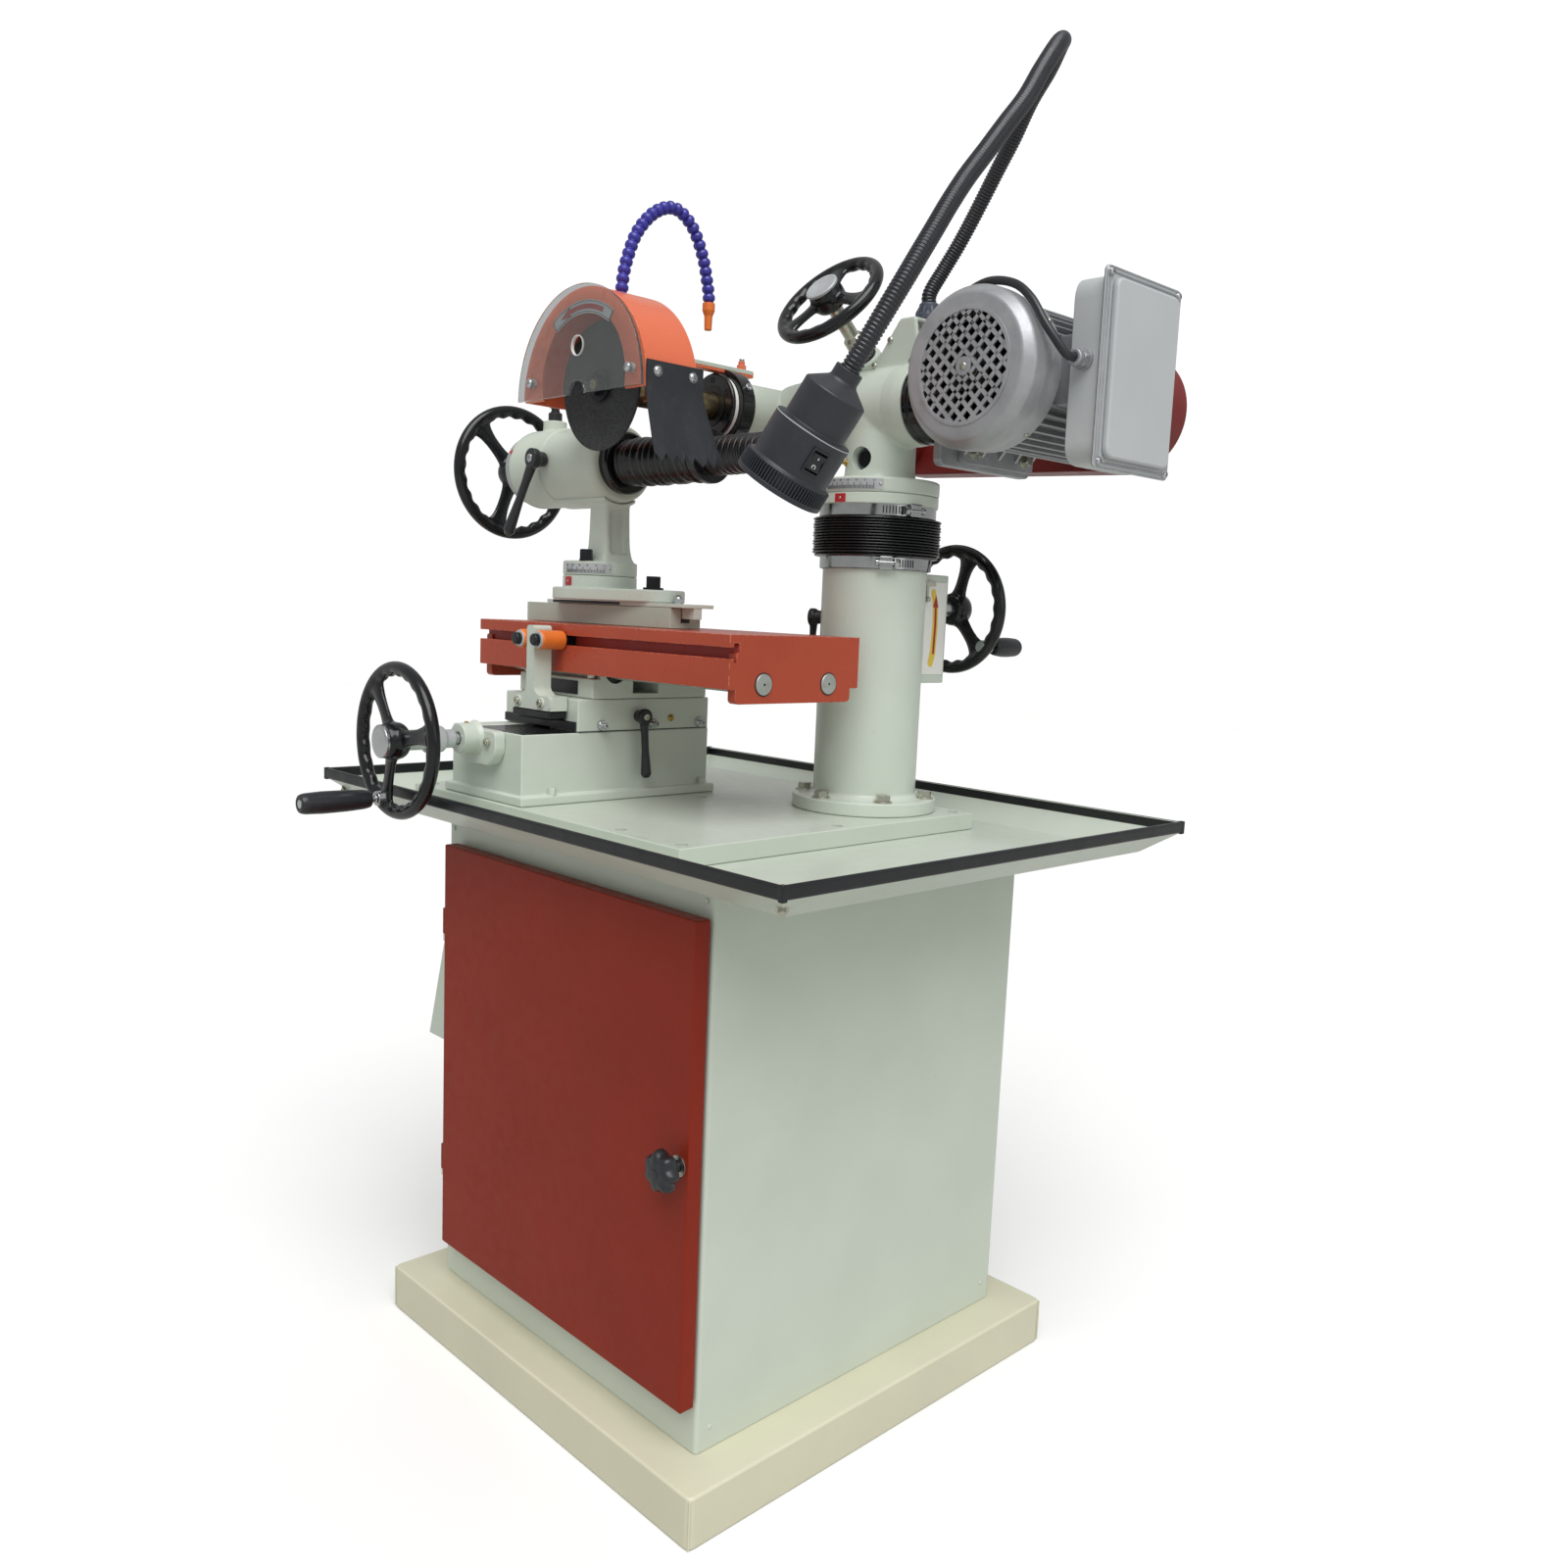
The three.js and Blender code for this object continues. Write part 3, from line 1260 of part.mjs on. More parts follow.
// Head: upper disc, stub, cross barrel, worm boss and the bracket that carries the conduit
function headCasting() {
  const disc = rod(headDiscRadius, headDiscThickness, fineSides);
  const rise = tiltZ - headBottom;
  const stub = rod(stubRadius, rise, fineSides);
  const barrelSpan = headBarrelRight - headBarrelLeft;
  const barrel = move(alongX(rod(headBarrelRadius, barrelSpan, fineSides)), headBarrelLeft - columnX, 0, rise);
  const hole = move(alongX(bore(tiltShaftRadius + fit, barrelSpan + 2 * overrun, fineSides)),
    headBarrelLeft - columnX - overrun, 0, rise);
  const spigotBore = move(bore(quillSpigotRadius + fit, quillSpigotLength + fit + overrun, fineSides), 0, 0,
    -overrun);
  const sideHole = move(alongY(rod(stubHoleRadius, stubHoleDepth, smallSides)), stubHoleX - columnX,
    -stubRadius - overrun, stubHoleZ - headBottom);
  const axis = wormDirection();
  const wormPlace = wormStart().sub(new THREE.Vector3(columnX, columnY, headBottom));
  const wormBoss = aimed(rod(wormBossRadius, wormBossEnd - wormBossStart), axis);
  const bossPlace = wormPlace.clone().addScaledVector(axis, wormBossStart);
  const placedBoss = move(wormBoss, bossPlace.x, bossPlace.y, bossPlace.z);
  const neck = aimed(rod(wormBossRadius, wormOffset - headBarrelRadius + overrun, plainSides), awayFromTilt());
  const neckPlace = wormPlace.clone().addScaledVector(awayFromTilt(), headBarrelRadius - overrun - wormOffset);
  const placedNeck = move(neck, neckPlace.x, neckPlace.y, neckPlace.z);
  const wormBore = aimed(bore(wormShaftRadius + fit, wormBossEnd - wormBossStart, smallSides), axis);
  const borePlace = wormPlace.clone();
  const placedBore = move(wormBore, borePlace.x, borePlace.y, borePlace.z);
  const plate = pushedAlongY([
    [conduitPlateLeft - columnX, conduitPlateFoot - headBottom],
    [conduitPlateRight - columnX, conduitPlateFoot - headBottom],
    [glandX + glandRadius - columnX, conduitPlateTop - headBottom],
    [glandX - glandRadius - columnX, conduitPlateTop - headBottom],
  ], conduitPlateThickness);
  const shelf = block(glandX - glandRadius - columnX, glandX + glandRadius - columnX, 0,
    glandY + glandRadius - conduitPlateY, conduitPlateTop - headBottom - conduitPlateThickness,
    conduitPlateTop - headBottom);
  const bracket = move(join(plate, shelf), 0, conduitPlateY - columnY, 0);
  return cut(join(disc, stub, barrel, placedBoss, placedNeck, bracket), hole, spigotBore, sideHole, placedBore);
}

// Direction of the tilt worm's shaft, up and towards the front
function wormDirection() {
  return new THREE.Vector3(0, Math.cos(wormAngle * degree), Math.sin(wormAngle * degree));
}

// Direction from the tilt axis to the worm
function awayFromTilt() {
  return new THREE.Vector3(0, Math.sin(wormAngle * degree), -Math.cos(wormAngle * degree));
}

// Point where the worm lies nearest to the tilt axis
function wormStart() {
  return new THREE.Vector3(wormX, columnY, tiltZ).addScaledVector(awayFromTilt(), wormOffset);
}

// Winged gland that holds the conduit's foot
function conduitGland() {
  const body = rod(glandRadius, glandLength, plainSides);
  const wing = slab(2 * glandRadius + 2 * overrun, glandRadius / 2, glandLength / 2);
  const hole = move(rod(conduitBore, glandLength + 2 * overrun, smallSides), 0, 0, -overrun);
  return cut(join(body, wing), hole);
}

// Lamp: neck, cone, body with the switch pocket, ribbed bezel and an open mouth
function lampBody() {
  const coneEnd = lampNeckLength + lampConeLength;
  const bodyEnd = coneEnd + lampBodyLength;
  const housingEnd = bodyEnd + lampHousingLength;
  const profile = [
    [0, 0], [lampNeckRadius, 0], [lampNeckRadius, lampNeckLength], [lampConeRadius, coneEnd],
    [lampConeRadius, bodyEnd], [lampHousingRadius, bodyEnd], [lampHousingRadius, housingEnd],
    [lampBezelRadius, housingEnd],
  ];
  const pitch = lampBezelLength / lampGrooves;
  for (let i = 1; i < lampGrooves; i += 1) {
    const z = housingEnd + i * pitch;
    profile.push([lampBezelRadius, z - lampGroove], [lampBezelRadius - lampGroove, z - lampGroove / 2]);
    profile.push([lampBezelRadius, z]);
  }
  const end = housingEnd + lampBezelLength;
  profile.push([lampBezelRadius, end], [lampBezelRadius - lampWall, end]);
  profile.push([lampHousingRadius - lampWall, housingEnd], [0, housingEnd]);
  const pocket = block(lampHousingRadius - switchPocket, lampHousingRadius + overrun, -switchLength / 2 - fit,
    switchLength / 2 + fit, switchPlace() - switchWidth / 2 - fit, switchPlace() + switchWidth / 2 + fit);
  return cut(turned(profile, plainSides), pocket);
}

// Distance of the rocker's middle from the lamp's neck end
function switchPlace() {
  return lampNeckLength + lampConeLength + lampBodyLength + lampHousingLength / 2;
}

// Rocker with its pivot in the pocket
function lampSwitch() {
  const rocker = block(-switchPocket + switchProud, switchProud, -switchLength / 2, switchLength / 2,
    -switchWidth / 2 + switchProud / 2, switchWidth / 2 - switchProud / 2);
  return rocker;
}

// Tilt shaft with its collar and the plate that carries the motor
function tiltShaft() {
  const start = spindleX + housingRadius + fit;
  const shaft = alongX(rod(tiltShaftRadius, motorPlateLeft - start + fit, fineSides));
  const collarLeft = headBarrelRight + fit;
  const collar = move(alongX(rod(tiltCollarRadius, tiltCollarRight - collarLeft + fit, fineSides)),
    collarLeft - start, 0, 0);
  const plate = block(motorPlateLeft - start, motorPlateRight - start, motorPlateFront - columnY,
    motorFootBack - columnY + overrun, -motorPlateHeight / 2 + motorZ - tiltZ,
    motorPlateHeight / 2 + motorZ - tiltZ);
  const [cableX, cableY, cableZ] = cableRoute.at(-1);
  const grommet = move(alongY(rod(grommetRadius, grommetLength, smallSides)), cableX - start,
    cableY + 2 * fit - columnY, cableZ - tiltZ);
  return join(shaft, collar, plate, grommet);
}

// Spindle housing: bearing cap, ring, tube to the belt guard and the boss on the tilt shaft
function spindleHousing() {
  const ringStart = capLength;
  const tubeStart = housingTubeFront - capFront;
  const end = housingTubeBack - capFront;
  const hole = around(spindleBore, fineSides);
  const body = alongY(turned([
    [hole, 0], [capRadius, 0], [capRadius, ringStart], [paleRingRadius, ringStart],
    [paleRingRadius, ringStart + paleRingLength], [housingRadius, tubeStart], [housingRadius, end],
    [hole, end],
  ], fineSides));
  const bossLength = headBarrelLeft - 2 * fit - spindleX;
  const ring = alongX(pipe(headBarrelRadius - overrun, tiltShaftRadius + fit, bossLength - spindleBore - sheet, fineSides));
  const placedRing = move(ring, spindleBore + sheet, columnY - capFront, 0);
  const hollow = move(alongX(bore(tiltShaftRadius + fit, bossLength, fineSides)), housingRadius, columnY - capFront, 0);
  return cut(join(body, placedRing), hollow);
}

// Spindle: shaft, bronze nose, wheel nut and belt pulley
function spindleShaft() {
  const nutStart = wheelFace - wheelNutLength;
  const noseStart = wheelFace + wheelThickness + fit;
  const noseEnd = capFront - fit;
  const pulleyStart = beltFront - fit;
  return turned([
    [0, 0], [wheelNutRadius, 0], [wheelNutRadius, wheelNutLength - fit], [spindleShaftRadius / 2, wheelNutLength - fit],
    [spindleShaftRadius / 2, noseStart - nutStart], [wheelFlangeRadius, noseStart - nutStart],
    [wheelFlangeRadius, noseStart - nutStart + wheelFlangeLength],
    [spindleNoseRadius, noseStart - nutStart + wheelFlangeLength],
    [spindleNoseRadius, noseEnd - nutStart], [spindleShaftRadius, noseEnd - nutStart],
    [spindleShaftRadius, pulleyStart - nutStart], [spindlePulleyRadius, pulleyStart - nutStart],
    [spindlePulleyRadius, spindleBack - nutStart], [0, spindleBack - nutStart],
  ], plainSides);
}

// Guard: half drum over the wheel with its front plate, bar, clamp ring and small post
function guardHood() {
  const drop = guardCentreZ - tiltZ;
  const depth = guardBack - guardFront;
  const lift = block(-guardRadius - overrun, guardRadius + overrun, -overrun, depth + overrun, drop,
    guardRadius + overrun);
  const drum = keep(move(alongY(rod(guardRadius, depth, 2 * plainSides)), 0, 0, drop), lift);
  const hollow = move(alongY(rod(guardRadius - guardSheet, depth - 2 * guardSheet, 2 * plainSides)),
    0, guardSheet, drop);
  const mouth = move(alongY(rod(guardMouthRadius, guardSheet + overrun, fineSides)), 0, -overrun, 0);
  const slot = move(alongY(rod(guardSlotRadius, guardSheet + 2 * overrun, plainSides)), 0,
    depth - guardSheet - overrun, 0);
  const shell = cut(drum, hollow, mouth, slot);
  const barBottom = clampRingRadius - guardBarHeight / 2;
  const bar = block(-guardBarWidth / 2, guardBarWidth / 2, depth - guardSheet / 2, guardBarBack - guardFront,
    barBottom, barBottom + guardBarHeight);
  const ring = move(alongY(pipe(clampRingRadius, housingRadius + fit,
    clampRingBack - clampRingFront - 2 * fit, fineSides)), 0, clampRingFront + fit - guardFront, 0);
  const post = move(rod(guardPostRadius, guardPostHeight, smallSides), 0,
    guardBarBack - guardFront - guardBarWidth, barBottom + guardBarHeight - fit);
  const rearRoof = block(-guardBarWidth / 2, guardBarWidth / 2, clampRingBack - guardFront + fit,
    guardBarBack - guardFront + overrun, -guardRadius, housingRadius + fit);
  return cut(join(shell, ring, bar, post), rearRoof);
}

// Clear half disc in front of the guard with its hole, notch and two spacers
function guardWindow() {
  const shape = new THREE.Shape();
  shape.moveTo(windowRadius, 0);
  shape.absarc(0, 0, windowRadius, 0, Math.PI);
  shape.lineTo(-windowNotchRadius, 0);
  shape.absarc(0, 0, windowNotchRadius, Math.PI, 0, true);
  shape.lineTo(windowRadius, 0);
  const hole = new THREE.Path();
  hole.absarc(0, windowHoleRise, windowHoleRadius, 0, 2 * Math.PI);
  shape.holes.push(hole);
  const plate = pushedAlongY(shape, windowThickness);
  const spacers = [-windowSpacerReach, windowSpacerReach].map((x) => move(
    alongY(rod(windowSpacerRadius, windowThickness + windowStand - fit, smallSides)), x, 0, windowSpacerRise));
  return join(plate, ...spacers);
}

// Splash flap beside the guard, with two screws and a flared lower part
function splashFlap() {
  const outline = [
    [0, flapTop], [flapThickness, flapTop], [flapThickness, flapBend], [flapFlare + flapThickness, flapBottom],
    [flapFlare, flapBottom], [0, flapBend],
  ];
  const flap = pushedAlongY(outline, flapBack - flapFront);
  const screws = [flapScrewInset, flapBack - flapFront - flapScrewInset].map((y) => move(
    alongX(rod(flapScrewRadius, flapScrewLength, smallSides)), flapThickness - fit, y, flapScrewZ));
  return join(flap, ...screws);
}

// Coolant hose with its base collar on the guard and the tapered nozzle
function coolantHose() {
  const hose = ribbedHose(hoseRoute, hoseRadius, hoseValley, hoseBore, hoseRibs);
  const top = hoseRoute.at(-1);
  const drop = top[2] - nozzleTip;
  const nozzle = turned([
    [hoseBore / 2, 0], [nozzleRadius, 0], [hoseRadius, drop], [hoseBore / 2, drop],
  ], smallSides);
  return join(hose, move(nozzle, top[0], top[1], nozzleTip + fit));
}

// Motor body: finned barrel with its feet on the mounting plate
function motorBody() {
  const points = [];
  for (let i = 0; i < motorFins; i += 1) {
    const step = (2 * Math.PI) / motorFins;
    const shares = [[0.1, 0], [0.3, 1], [0.7, 1], [0.9, 0]];
    for (const [share, high] of shares) {
      const r = motorRadius - motorFinDepth * (1 - high);
      points.push([r * Math.cos((i + share) * step), r * Math.sin((i + share) * step)]);
    }
  }
  const length = motorBodyBack - motorBodyFront;
  const fins = pushedAlongY(points, length);
  const hollow = move(alongY(rod(motorRadius - motorFinDepth - motorWall, length - 2 * motorWall, plainSides)),
    0, motorWall, 0);
  const shaftHole = move(alongY(bore(motorShaftRadius + fit, length + 2 * overrun)), 0, -overrun, 0);
  const footReach = motorX - motorPlateRight - fit;
  const feet = block(-footReach, 0, motorFootFront - motorBodyFront, motorFootBack - motorBodyFront,
    -motorFootWidth / 2, motorFootWidth / 2);
  const shield = alongY(rod(fanCoverRadius - fanCoverSheet - fit, motorShieldLength, fineSides));
  const pad = block(0, boxLeft - fit - motorX, boxFront + boxLid - motorBodyFront,
    boxBack - boxLid - motorBodyFront, -motorRadius / 2, motorRadius / 2);
  return cut(join(fins, feet, pad, shield), hollow, shaftHole);
}

// Fan cover: cup over the motor's front with a square mesh cut into its face
function fanCover() {
  const length = motorBodyFront - fanCoverFront - fit;
  const cup = turned([
    [grillRadius - fit, 0], [fanCoverRadius - fanCoverSheet, 0], [fanCoverRadius, 2 * fanCoverSheet],
    [fanCoverRadius, length + 2 * overrun], [fanCoverRadius - fanCoverSheet, length + 2 * overrun],
    [fanCoverRadius - fanCoverSheet, fanCoverSheet], [grillRadius - fit, fanCoverSheet],
  ], fineSides);
  const disc = alongY(rod(grillRadius, fanCoverSheet, fineSides));
  const half = (grillPitch - grillBar) / 2;
  const reach = Math.ceil(grillRadius / grillPitch);
  const holes = [];
  for (let i = -reach; i <= reach; i += 1) {
    for (let j = -reach; j <= reach; j += 1) {
      const [x, z] = [i * grillPitch, j * grillPitch];
      if (Math.hypot(Math.abs(x) + half, Math.abs(z) + half) < grillRadius - grillBar) {
        holes.push(block(x - half, x + half, -overrun, fanCoverSheet + overrun, z - half, z + half));
      }
    }
  }
  const face = cut(disc, ...holes).rotateY(quarterTurn / 2);
  return join(alongY(cup), face);
}

// Terminal box with its lid plate and the gland facing the front
function terminalBox() {
  const body = block(0, boxRight - boxLeft - boxLid, boxLidLip, boxBack - boxFront - boxLidLip, boxLidLip,
    boxTop - boxBottom - boxLidLip);
  const lid = block(boxRight - boxLeft - boxLid, boxRight - boxLeft, 0, boxBack - boxFront, 0,
    boxTop - boxBottom);
  const gland = move(alongY(rod(boxGlandRadius, boxGlandLength + boxLidLip + fit, hexSides)),
    boxGlandX - boxLeft, -boxGlandLength, boxGlandZ - boxBottom);
  return join(body, lid, gland);
}

// Belt guard: a tapered shell from the spindle to the motor, open holes in its front wall
function beltGuard() {
  const dx = motorX - spindleX;
  const dz = motorZ - tiltZ;
  const endX = dx - beltGuardMotorShift;
  const outer = pushedAlongY(beltOutline(0, 0, beltGuardSpindleRadius, endX, dz, beltGuardMotorRadius,
    beltGuardArcSteps), beltGuardDepth);
  const inner = pushedAlongY(beltOutline(0, 0, beltGuardSpindleRadius - beltGuardSheet, endX, dz,
    beltGuardMotorRadius - beltGuardSheet, beltGuardArcSteps), beltGuardDepth - 2 * beltGuardSheet);
  const holes = [[0, 0], [dx, dz]].map(([x, z]) => move(
    alongY(rod(beltGuardHole, beltGuardSheet + 2 * overrun)), x, -overrun, z));
  const stand = beltGuardFront - housingTubeBack;
  const seat = move(alongY(pipe(housingRadius, beltGuardHole, stand - fit + beltGuardSheet, plainSides)), 0,
    fit - stand, 0);
  return join(cut(outer, move(inner, 0, beltGuardSheet, 0), ...holes), seat);
}

// Flat belt loop round both pulleys
function driveBelt() {
  const dx = motorX - spindleX;
  const dz = motorZ - tiltZ;
  const inside = [spindlePulleyRadius, motorPulleyRadius].map((r) => around(r + fit, plainSides));
  const loop = inside.map((r) => r + beltThickness);
  const outer = pushedAlongY(beltOutline(0, 0, loop[0], dx, dz, loop[1], plainSides), beltWidth - 2 * fit);
  const inner = pushedAlongY(beltOutline(0, 0, inside[0], dx, dz, inside[1], plainSides), beltWidth + 2 * overrun);
  return cut(outer, move(inner, 0, -overrun, 0));
}

// Motor shaft with the fan in front and the pulley behind
function motorRotor() {
  const front = fanCoverFront + fanDepth / 2;
  const length = spindleBack - front;
  const pulleyStart = beltFront - fit - front;
  const shaft = alongY(turned([
    [0, 0], [motorShaftRadius, 0], [motorShaftRadius, pulleyStart], [motorPulleyRadius, pulleyStart],
    [motorPulleyRadius, length], [0, length],
  ], plainSides));
  const blades = [];
  for (let i = 0; i < fanBlades; i += 1) {
    const blade = block(0, fanRadius, 0, fanDepth, -fanBladeThickness / 2, fanBladeThickness / 2);
    blades.push(blade.rotateY((i * 2 * Math.PI) / fanBlades));
  }
  return join(shaft, ...blades.map((blade) => move(blade, 0, fanDepth / 2, 0)));
}

// Handwheel about Z with its shaft towards +Z
function wheelWithShaft(radius, thickness, reach) {
  const shaft = rod(thickness, reach, plainSides);
  return join(handwheel(radius), shaft);
}

// Cabinet and everything that stands still
add(machine, 'plinth_pan', plinthPan(), cream, 0.5, 0.1);
add(machine, 'cabinet_shell', cabinetShell(), mint, 0.45, 0.1, 0, 0, cabinetBottom);
add(machine, 'side_hood', sideHood(), mint, 0.45, 0.1, -cabinetWidth / 2 - fit, hoodFront, 0);
add(machine, 'tray_pan', trayPan(), mint, 0.4, 0.1, 0, 0, trayBottom);
add(machine, 'tray_trim', trayTrim(), black, 0.7, 0, 0, 0, trayRim - trimHeight);
add(machine, 'bed_plate', bedPlate(), mint, 0.4, 0.2, 0, 0, bedBottom);
add(machine, 'column_tube', columnTube(), mint, 0.4, 0.2, columnX, columnY, columnBottom);
add(machine, 'cross_base', crossBase(), mint, 0.4, 0.2, 0, 0, bedSurface);
add(machine, 'lift_gearbox', liftGearbox(), mint, 0.4, 0.2, columnX, columnY, gearboxBottom);
const bellowsBottom = columnTop - columnBellowsCuff;
add(machine, 'column_bellows', bellows(quillDiscBottom - fit - bellowsBottom, columnBellowsCrest,
  columnBellowsValley, quillCollarRadius + fit, columnBellowsRibs, columnBellowsCuff, plainSides), black, 0.6, 0,
  columnX, columnY, bellowsBottom);

// Door and its latch
const door = assembly(machine, doorAxisX, doorAxisY, 0);
add(door, 'door_panel', doorPanel(), darkRed, 0.35, 0.1, doorAxisX, doorAxisY, 0);
add(door, 'door_knob', doorKnob(), black, 0.5, 0, doorKnobX, doorFace, doorKnobZ);

// Cross slide
const crossSlide = assembly(machine, bedLineX, 0, saddleBottom);
add(crossSlide, 'saddle', saddleBody(), mint, 0.4, 0.2, 0, 0, saddleBottom);
add(crossSlide, 'guide_housing', guideHousing(), mint, 0.4, 0.2, 0, 0, housingBottom);
add(crossSlide, 'stop_bracket', stopBracket(), mint, 0.4, 0.2);
const saddleLever = clampLever(saddleLeverHub, saddleLeverReach, saddleLeverLength, saddleLeverArm,
  saddleLeverBall).rotateZ(Math.PI);
add(crossSlide, 'saddle_lever', alongX(saddleLever), black, 0.4, 0.2, saddleRight + fit,
  saddleLeverY, saddleLeverZ);
const crossWheelPlace = [bedLineX, crossWheelY, crossScrewZ];
const gripSpot = move(rod(gripPinRadius, gripPinLength + gripLength, smallSides), crossGripX - bedLineX,
  crossScrewZ - crossGripZ, -gripPinLength - gripLength);
const crossWheel = join(wheelWithShaft(crossWheelRadius, crossScrewRadius, crossScrewEnd - crossWheelY),
  gripSpot);
add(machine, 'cross_handwheel', alongY(crossWheel), black, 0.25, 0.1, ...crossWheelPlace);
add(machine, 'cross_grip', alongY(move(crankGrip(gripLength), 0, 0, -gripPinLength - gripLength)), black, 0.3, 0,
  crossGripX, crossWheelY, crossGripZ);

// Work table with its stops
const table = assembly(crossSlide, bedLineX, 0, tableTop);
add(table, 'work_table', workTable(), tableRed, 0.35, 0.2);
add(table, 'front_guide_shaft', guideShaft(), steel, 0.25, 0.9, tableLeft - shaftPlugReach, shaftFrontY, shaftZ);
add(table, 'back_guide_shaft', guideShaft(), steel, 0.25, 0.9, tableLeft - shaftPlugReach, shaftBackY, shaftZ);
add(table, 'table_rails', tableRails(), steel, 0.4, 0.7, 0, 0, railsBottom);
const stopReach = stopStemWidth / 2 + stopKnobRadius + fit;
add(crossSlide, 'left_stop', tableStop(), orange, 0.4, 0, stopStemX - stopReach, tableFront, grooveMiddle);
add(crossSlide, 'right_stop', tableStop(), orange, 0.4, 0, stopStemX + stopReach, tableFront, grooveMiddle);

// Post and blade arm
const post = assembly(table, postX, postY, slidePlateBottom);
add(post, 'post_slide_plate', postSlidePlate(), steel, 0.35, 0.8, 0, 0, slidePlateBottom);
add(post, 'swivel_plate', swivelPlate(), mint, 0.4, 0.2, postX, postY, swivelBottom);
add(post, 'swivel_bolt', swivelBolt(), black, 0.4, 0.7, swivelBoltX, postY, swivelTop + fit);
const arm = assembly(post, postX, armY, armZ);
add(arm, 'post_casting', postCasting(), mint, 0.4, 0.2, postX, postY, postBottom);
add(arm, 'arm_barrel', armBarrel(), mint, 0.4, 0.2, barrelLeft, armY, armZ);
add(arm, 'index_plunger', indexPlunger(), black, 0.4, 0.3, plungerX, armY,
  armZ + barrelRadius + plungerBossHeight + fit);
const armLever = clampLever(armLeverHub, armLeverReach, armLeverLength, armLeverRod, armLeverBall);
add(arm, 'arm_lever', armLever.rotateZ(armLeverAngle * degree).rotateX(quarterTurn), black, 0.4, 0.3, armLeverX,
  armY - barrelRadius - fit, armLeverZ);
add(arm, 'arm_handwheel', alongX(wheelWithShaft(armWheelRadius, armSpindleRadius, armSpindleEnd - armWheelX)),
  black, 0.25, 0.1, armWheelX, armY, armZ);
add(arm, 'arm_bellows', alongX(bellows(armBellowsRight - flangeRingRight - 2 * fit, armBellowsCrest,
  armBellowsValley, armBellowsBore, armBellowsRibs, armBellowsBore / 3, plainSides)), black, 0.7, 0,
  flangeRingRight + fit, armY, armZ);
add(arm, 'arm_shaft', alongX(armShaft()), black, 0.5, 0.2, armShaftLeft, armY, armZ);

// Lift and head
const lift = assembly(machine, columnX, columnY, quillDiscBottom);
add(lift, 'lift_quill', liftQuill(), mint, 0.4, 0.2, columnX, columnY, 0);
const liftWheelShaft = liftWheelY - columnBack - 2 * overrun - 2 * fit;
const liftPinX = liftGripRadiusPlace * Math.cos(liftGripAngle * degree);
const liftPinZ = liftGripRadiusPlace * Math.sin(liftGripAngle * degree);
const liftPin = move(rod(gripPinRadius, gripPinLength + liftGripLength, smallSides), liftPinX, -liftPinZ, 0);
const liftWheel = join(move(rod(armSpindleRadius, liftWheelShaft, plainSides), 0, 0, -liftWheelShaft),
  handwheel(liftWheelRadius), liftPin);
add(machine, 'lift_handwheel', alongY(liftWheel), black, 0.25, 0.1, columnX,
  liftWheelY, liftWheelZ);
add(machine, 'lift_grip', alongY(move(crankGrip(liftGripLength), 0, 0, gripPinLength)), black, 0.3, 0, columnX + liftPinX,
  liftWheelY, liftWheelZ + liftPinZ);
const leverTurn = columnLeverAngle * degree;
const columnLever = alongX(clampLever(columnLeverHub, columnLeverReach, columnLeverLength, columnLeverArm,
  saddleLeverBall).rotateZ(quarterTurn)).rotateZ(leverTurn);
add(machine, 'column_lever', columnLever, black, 0.4, 0.3, columnX + (columnRadius + fit) * Math.cos(leverTurn),
  columnY + (columnRadius + fit) * Math.sin(leverTurn), columnLeverZ);

const head = assembly(lift, columnX, columnY, headBottom);
add(head, 'head_casting', headCasting(), mint, 0.4, 0.2, columnX, columnY, headBottom);
add(head, 'conduit_gland', conduitGland(), boxGrey, 0.5, 0.1, glandX, glandY, conduitPlateTop + fit);
add(head, 'lamp_conduit', ribbedHose(conduitRoute, conduitRadius, conduitValley, conduitBore, conduitRibs),
  black, 0.4, 0.2);
const lampDirection = new THREE.Vector3(...lampAim).normalize();
const lampSpin = new THREE.Quaternion().setFromAxisAngle(upward, lampRoll * degree);
const lampTurn = new THREE.Quaternion().setFromUnitVectors(upward, lampDirection).multiply(lampSpin);
const lamp = add(head, 'lamp_body', lampBody(), black, 0.5, 0.1, ...lampPlace);
lamp.quaternion.copy(lampTurn);
const switchOffset = new THREE.Vector3(lampHousingRadius, 0, switchPlace()).applyQuaternion(lampTurn);
const rocker = add(head, 'lamp_switch', lampSwitch(), black, 0.4, 0, lampPlace[0] + switchOffset.x,
  lampPlace[1] + switchOffset.y, lampPlace[2] + switchOffset.z);
rocker.quaternion.copy(lampTurn);
const wormAxis = wormDirection();
const tiltWheelPlace = wormStart().addScaledVector(wormAxis, wormWheelPlace);
const wormShaft = move(rod(wormShaftRadius, wormWheelPlace - fit, smallSides), 0, 0, fit - wormWheelPlace);
const wormCollar = move(rod(wormCollarRadius, wormCollarEnd - wormBossEnd - 2 * fit, plainSides), 0, 0,
  wormBossEnd + 2 * fit - wormWheelPlace);
add(head, 'tilt_handwheel', aimed(join(handwheel(tiltWheelRadius), wormShaft, wormCollar), wormAxis), black,
  0.25, 0.1, tiltWheelPlace.x, tiltWheelPlace.y, tiltWheelPlace.z);

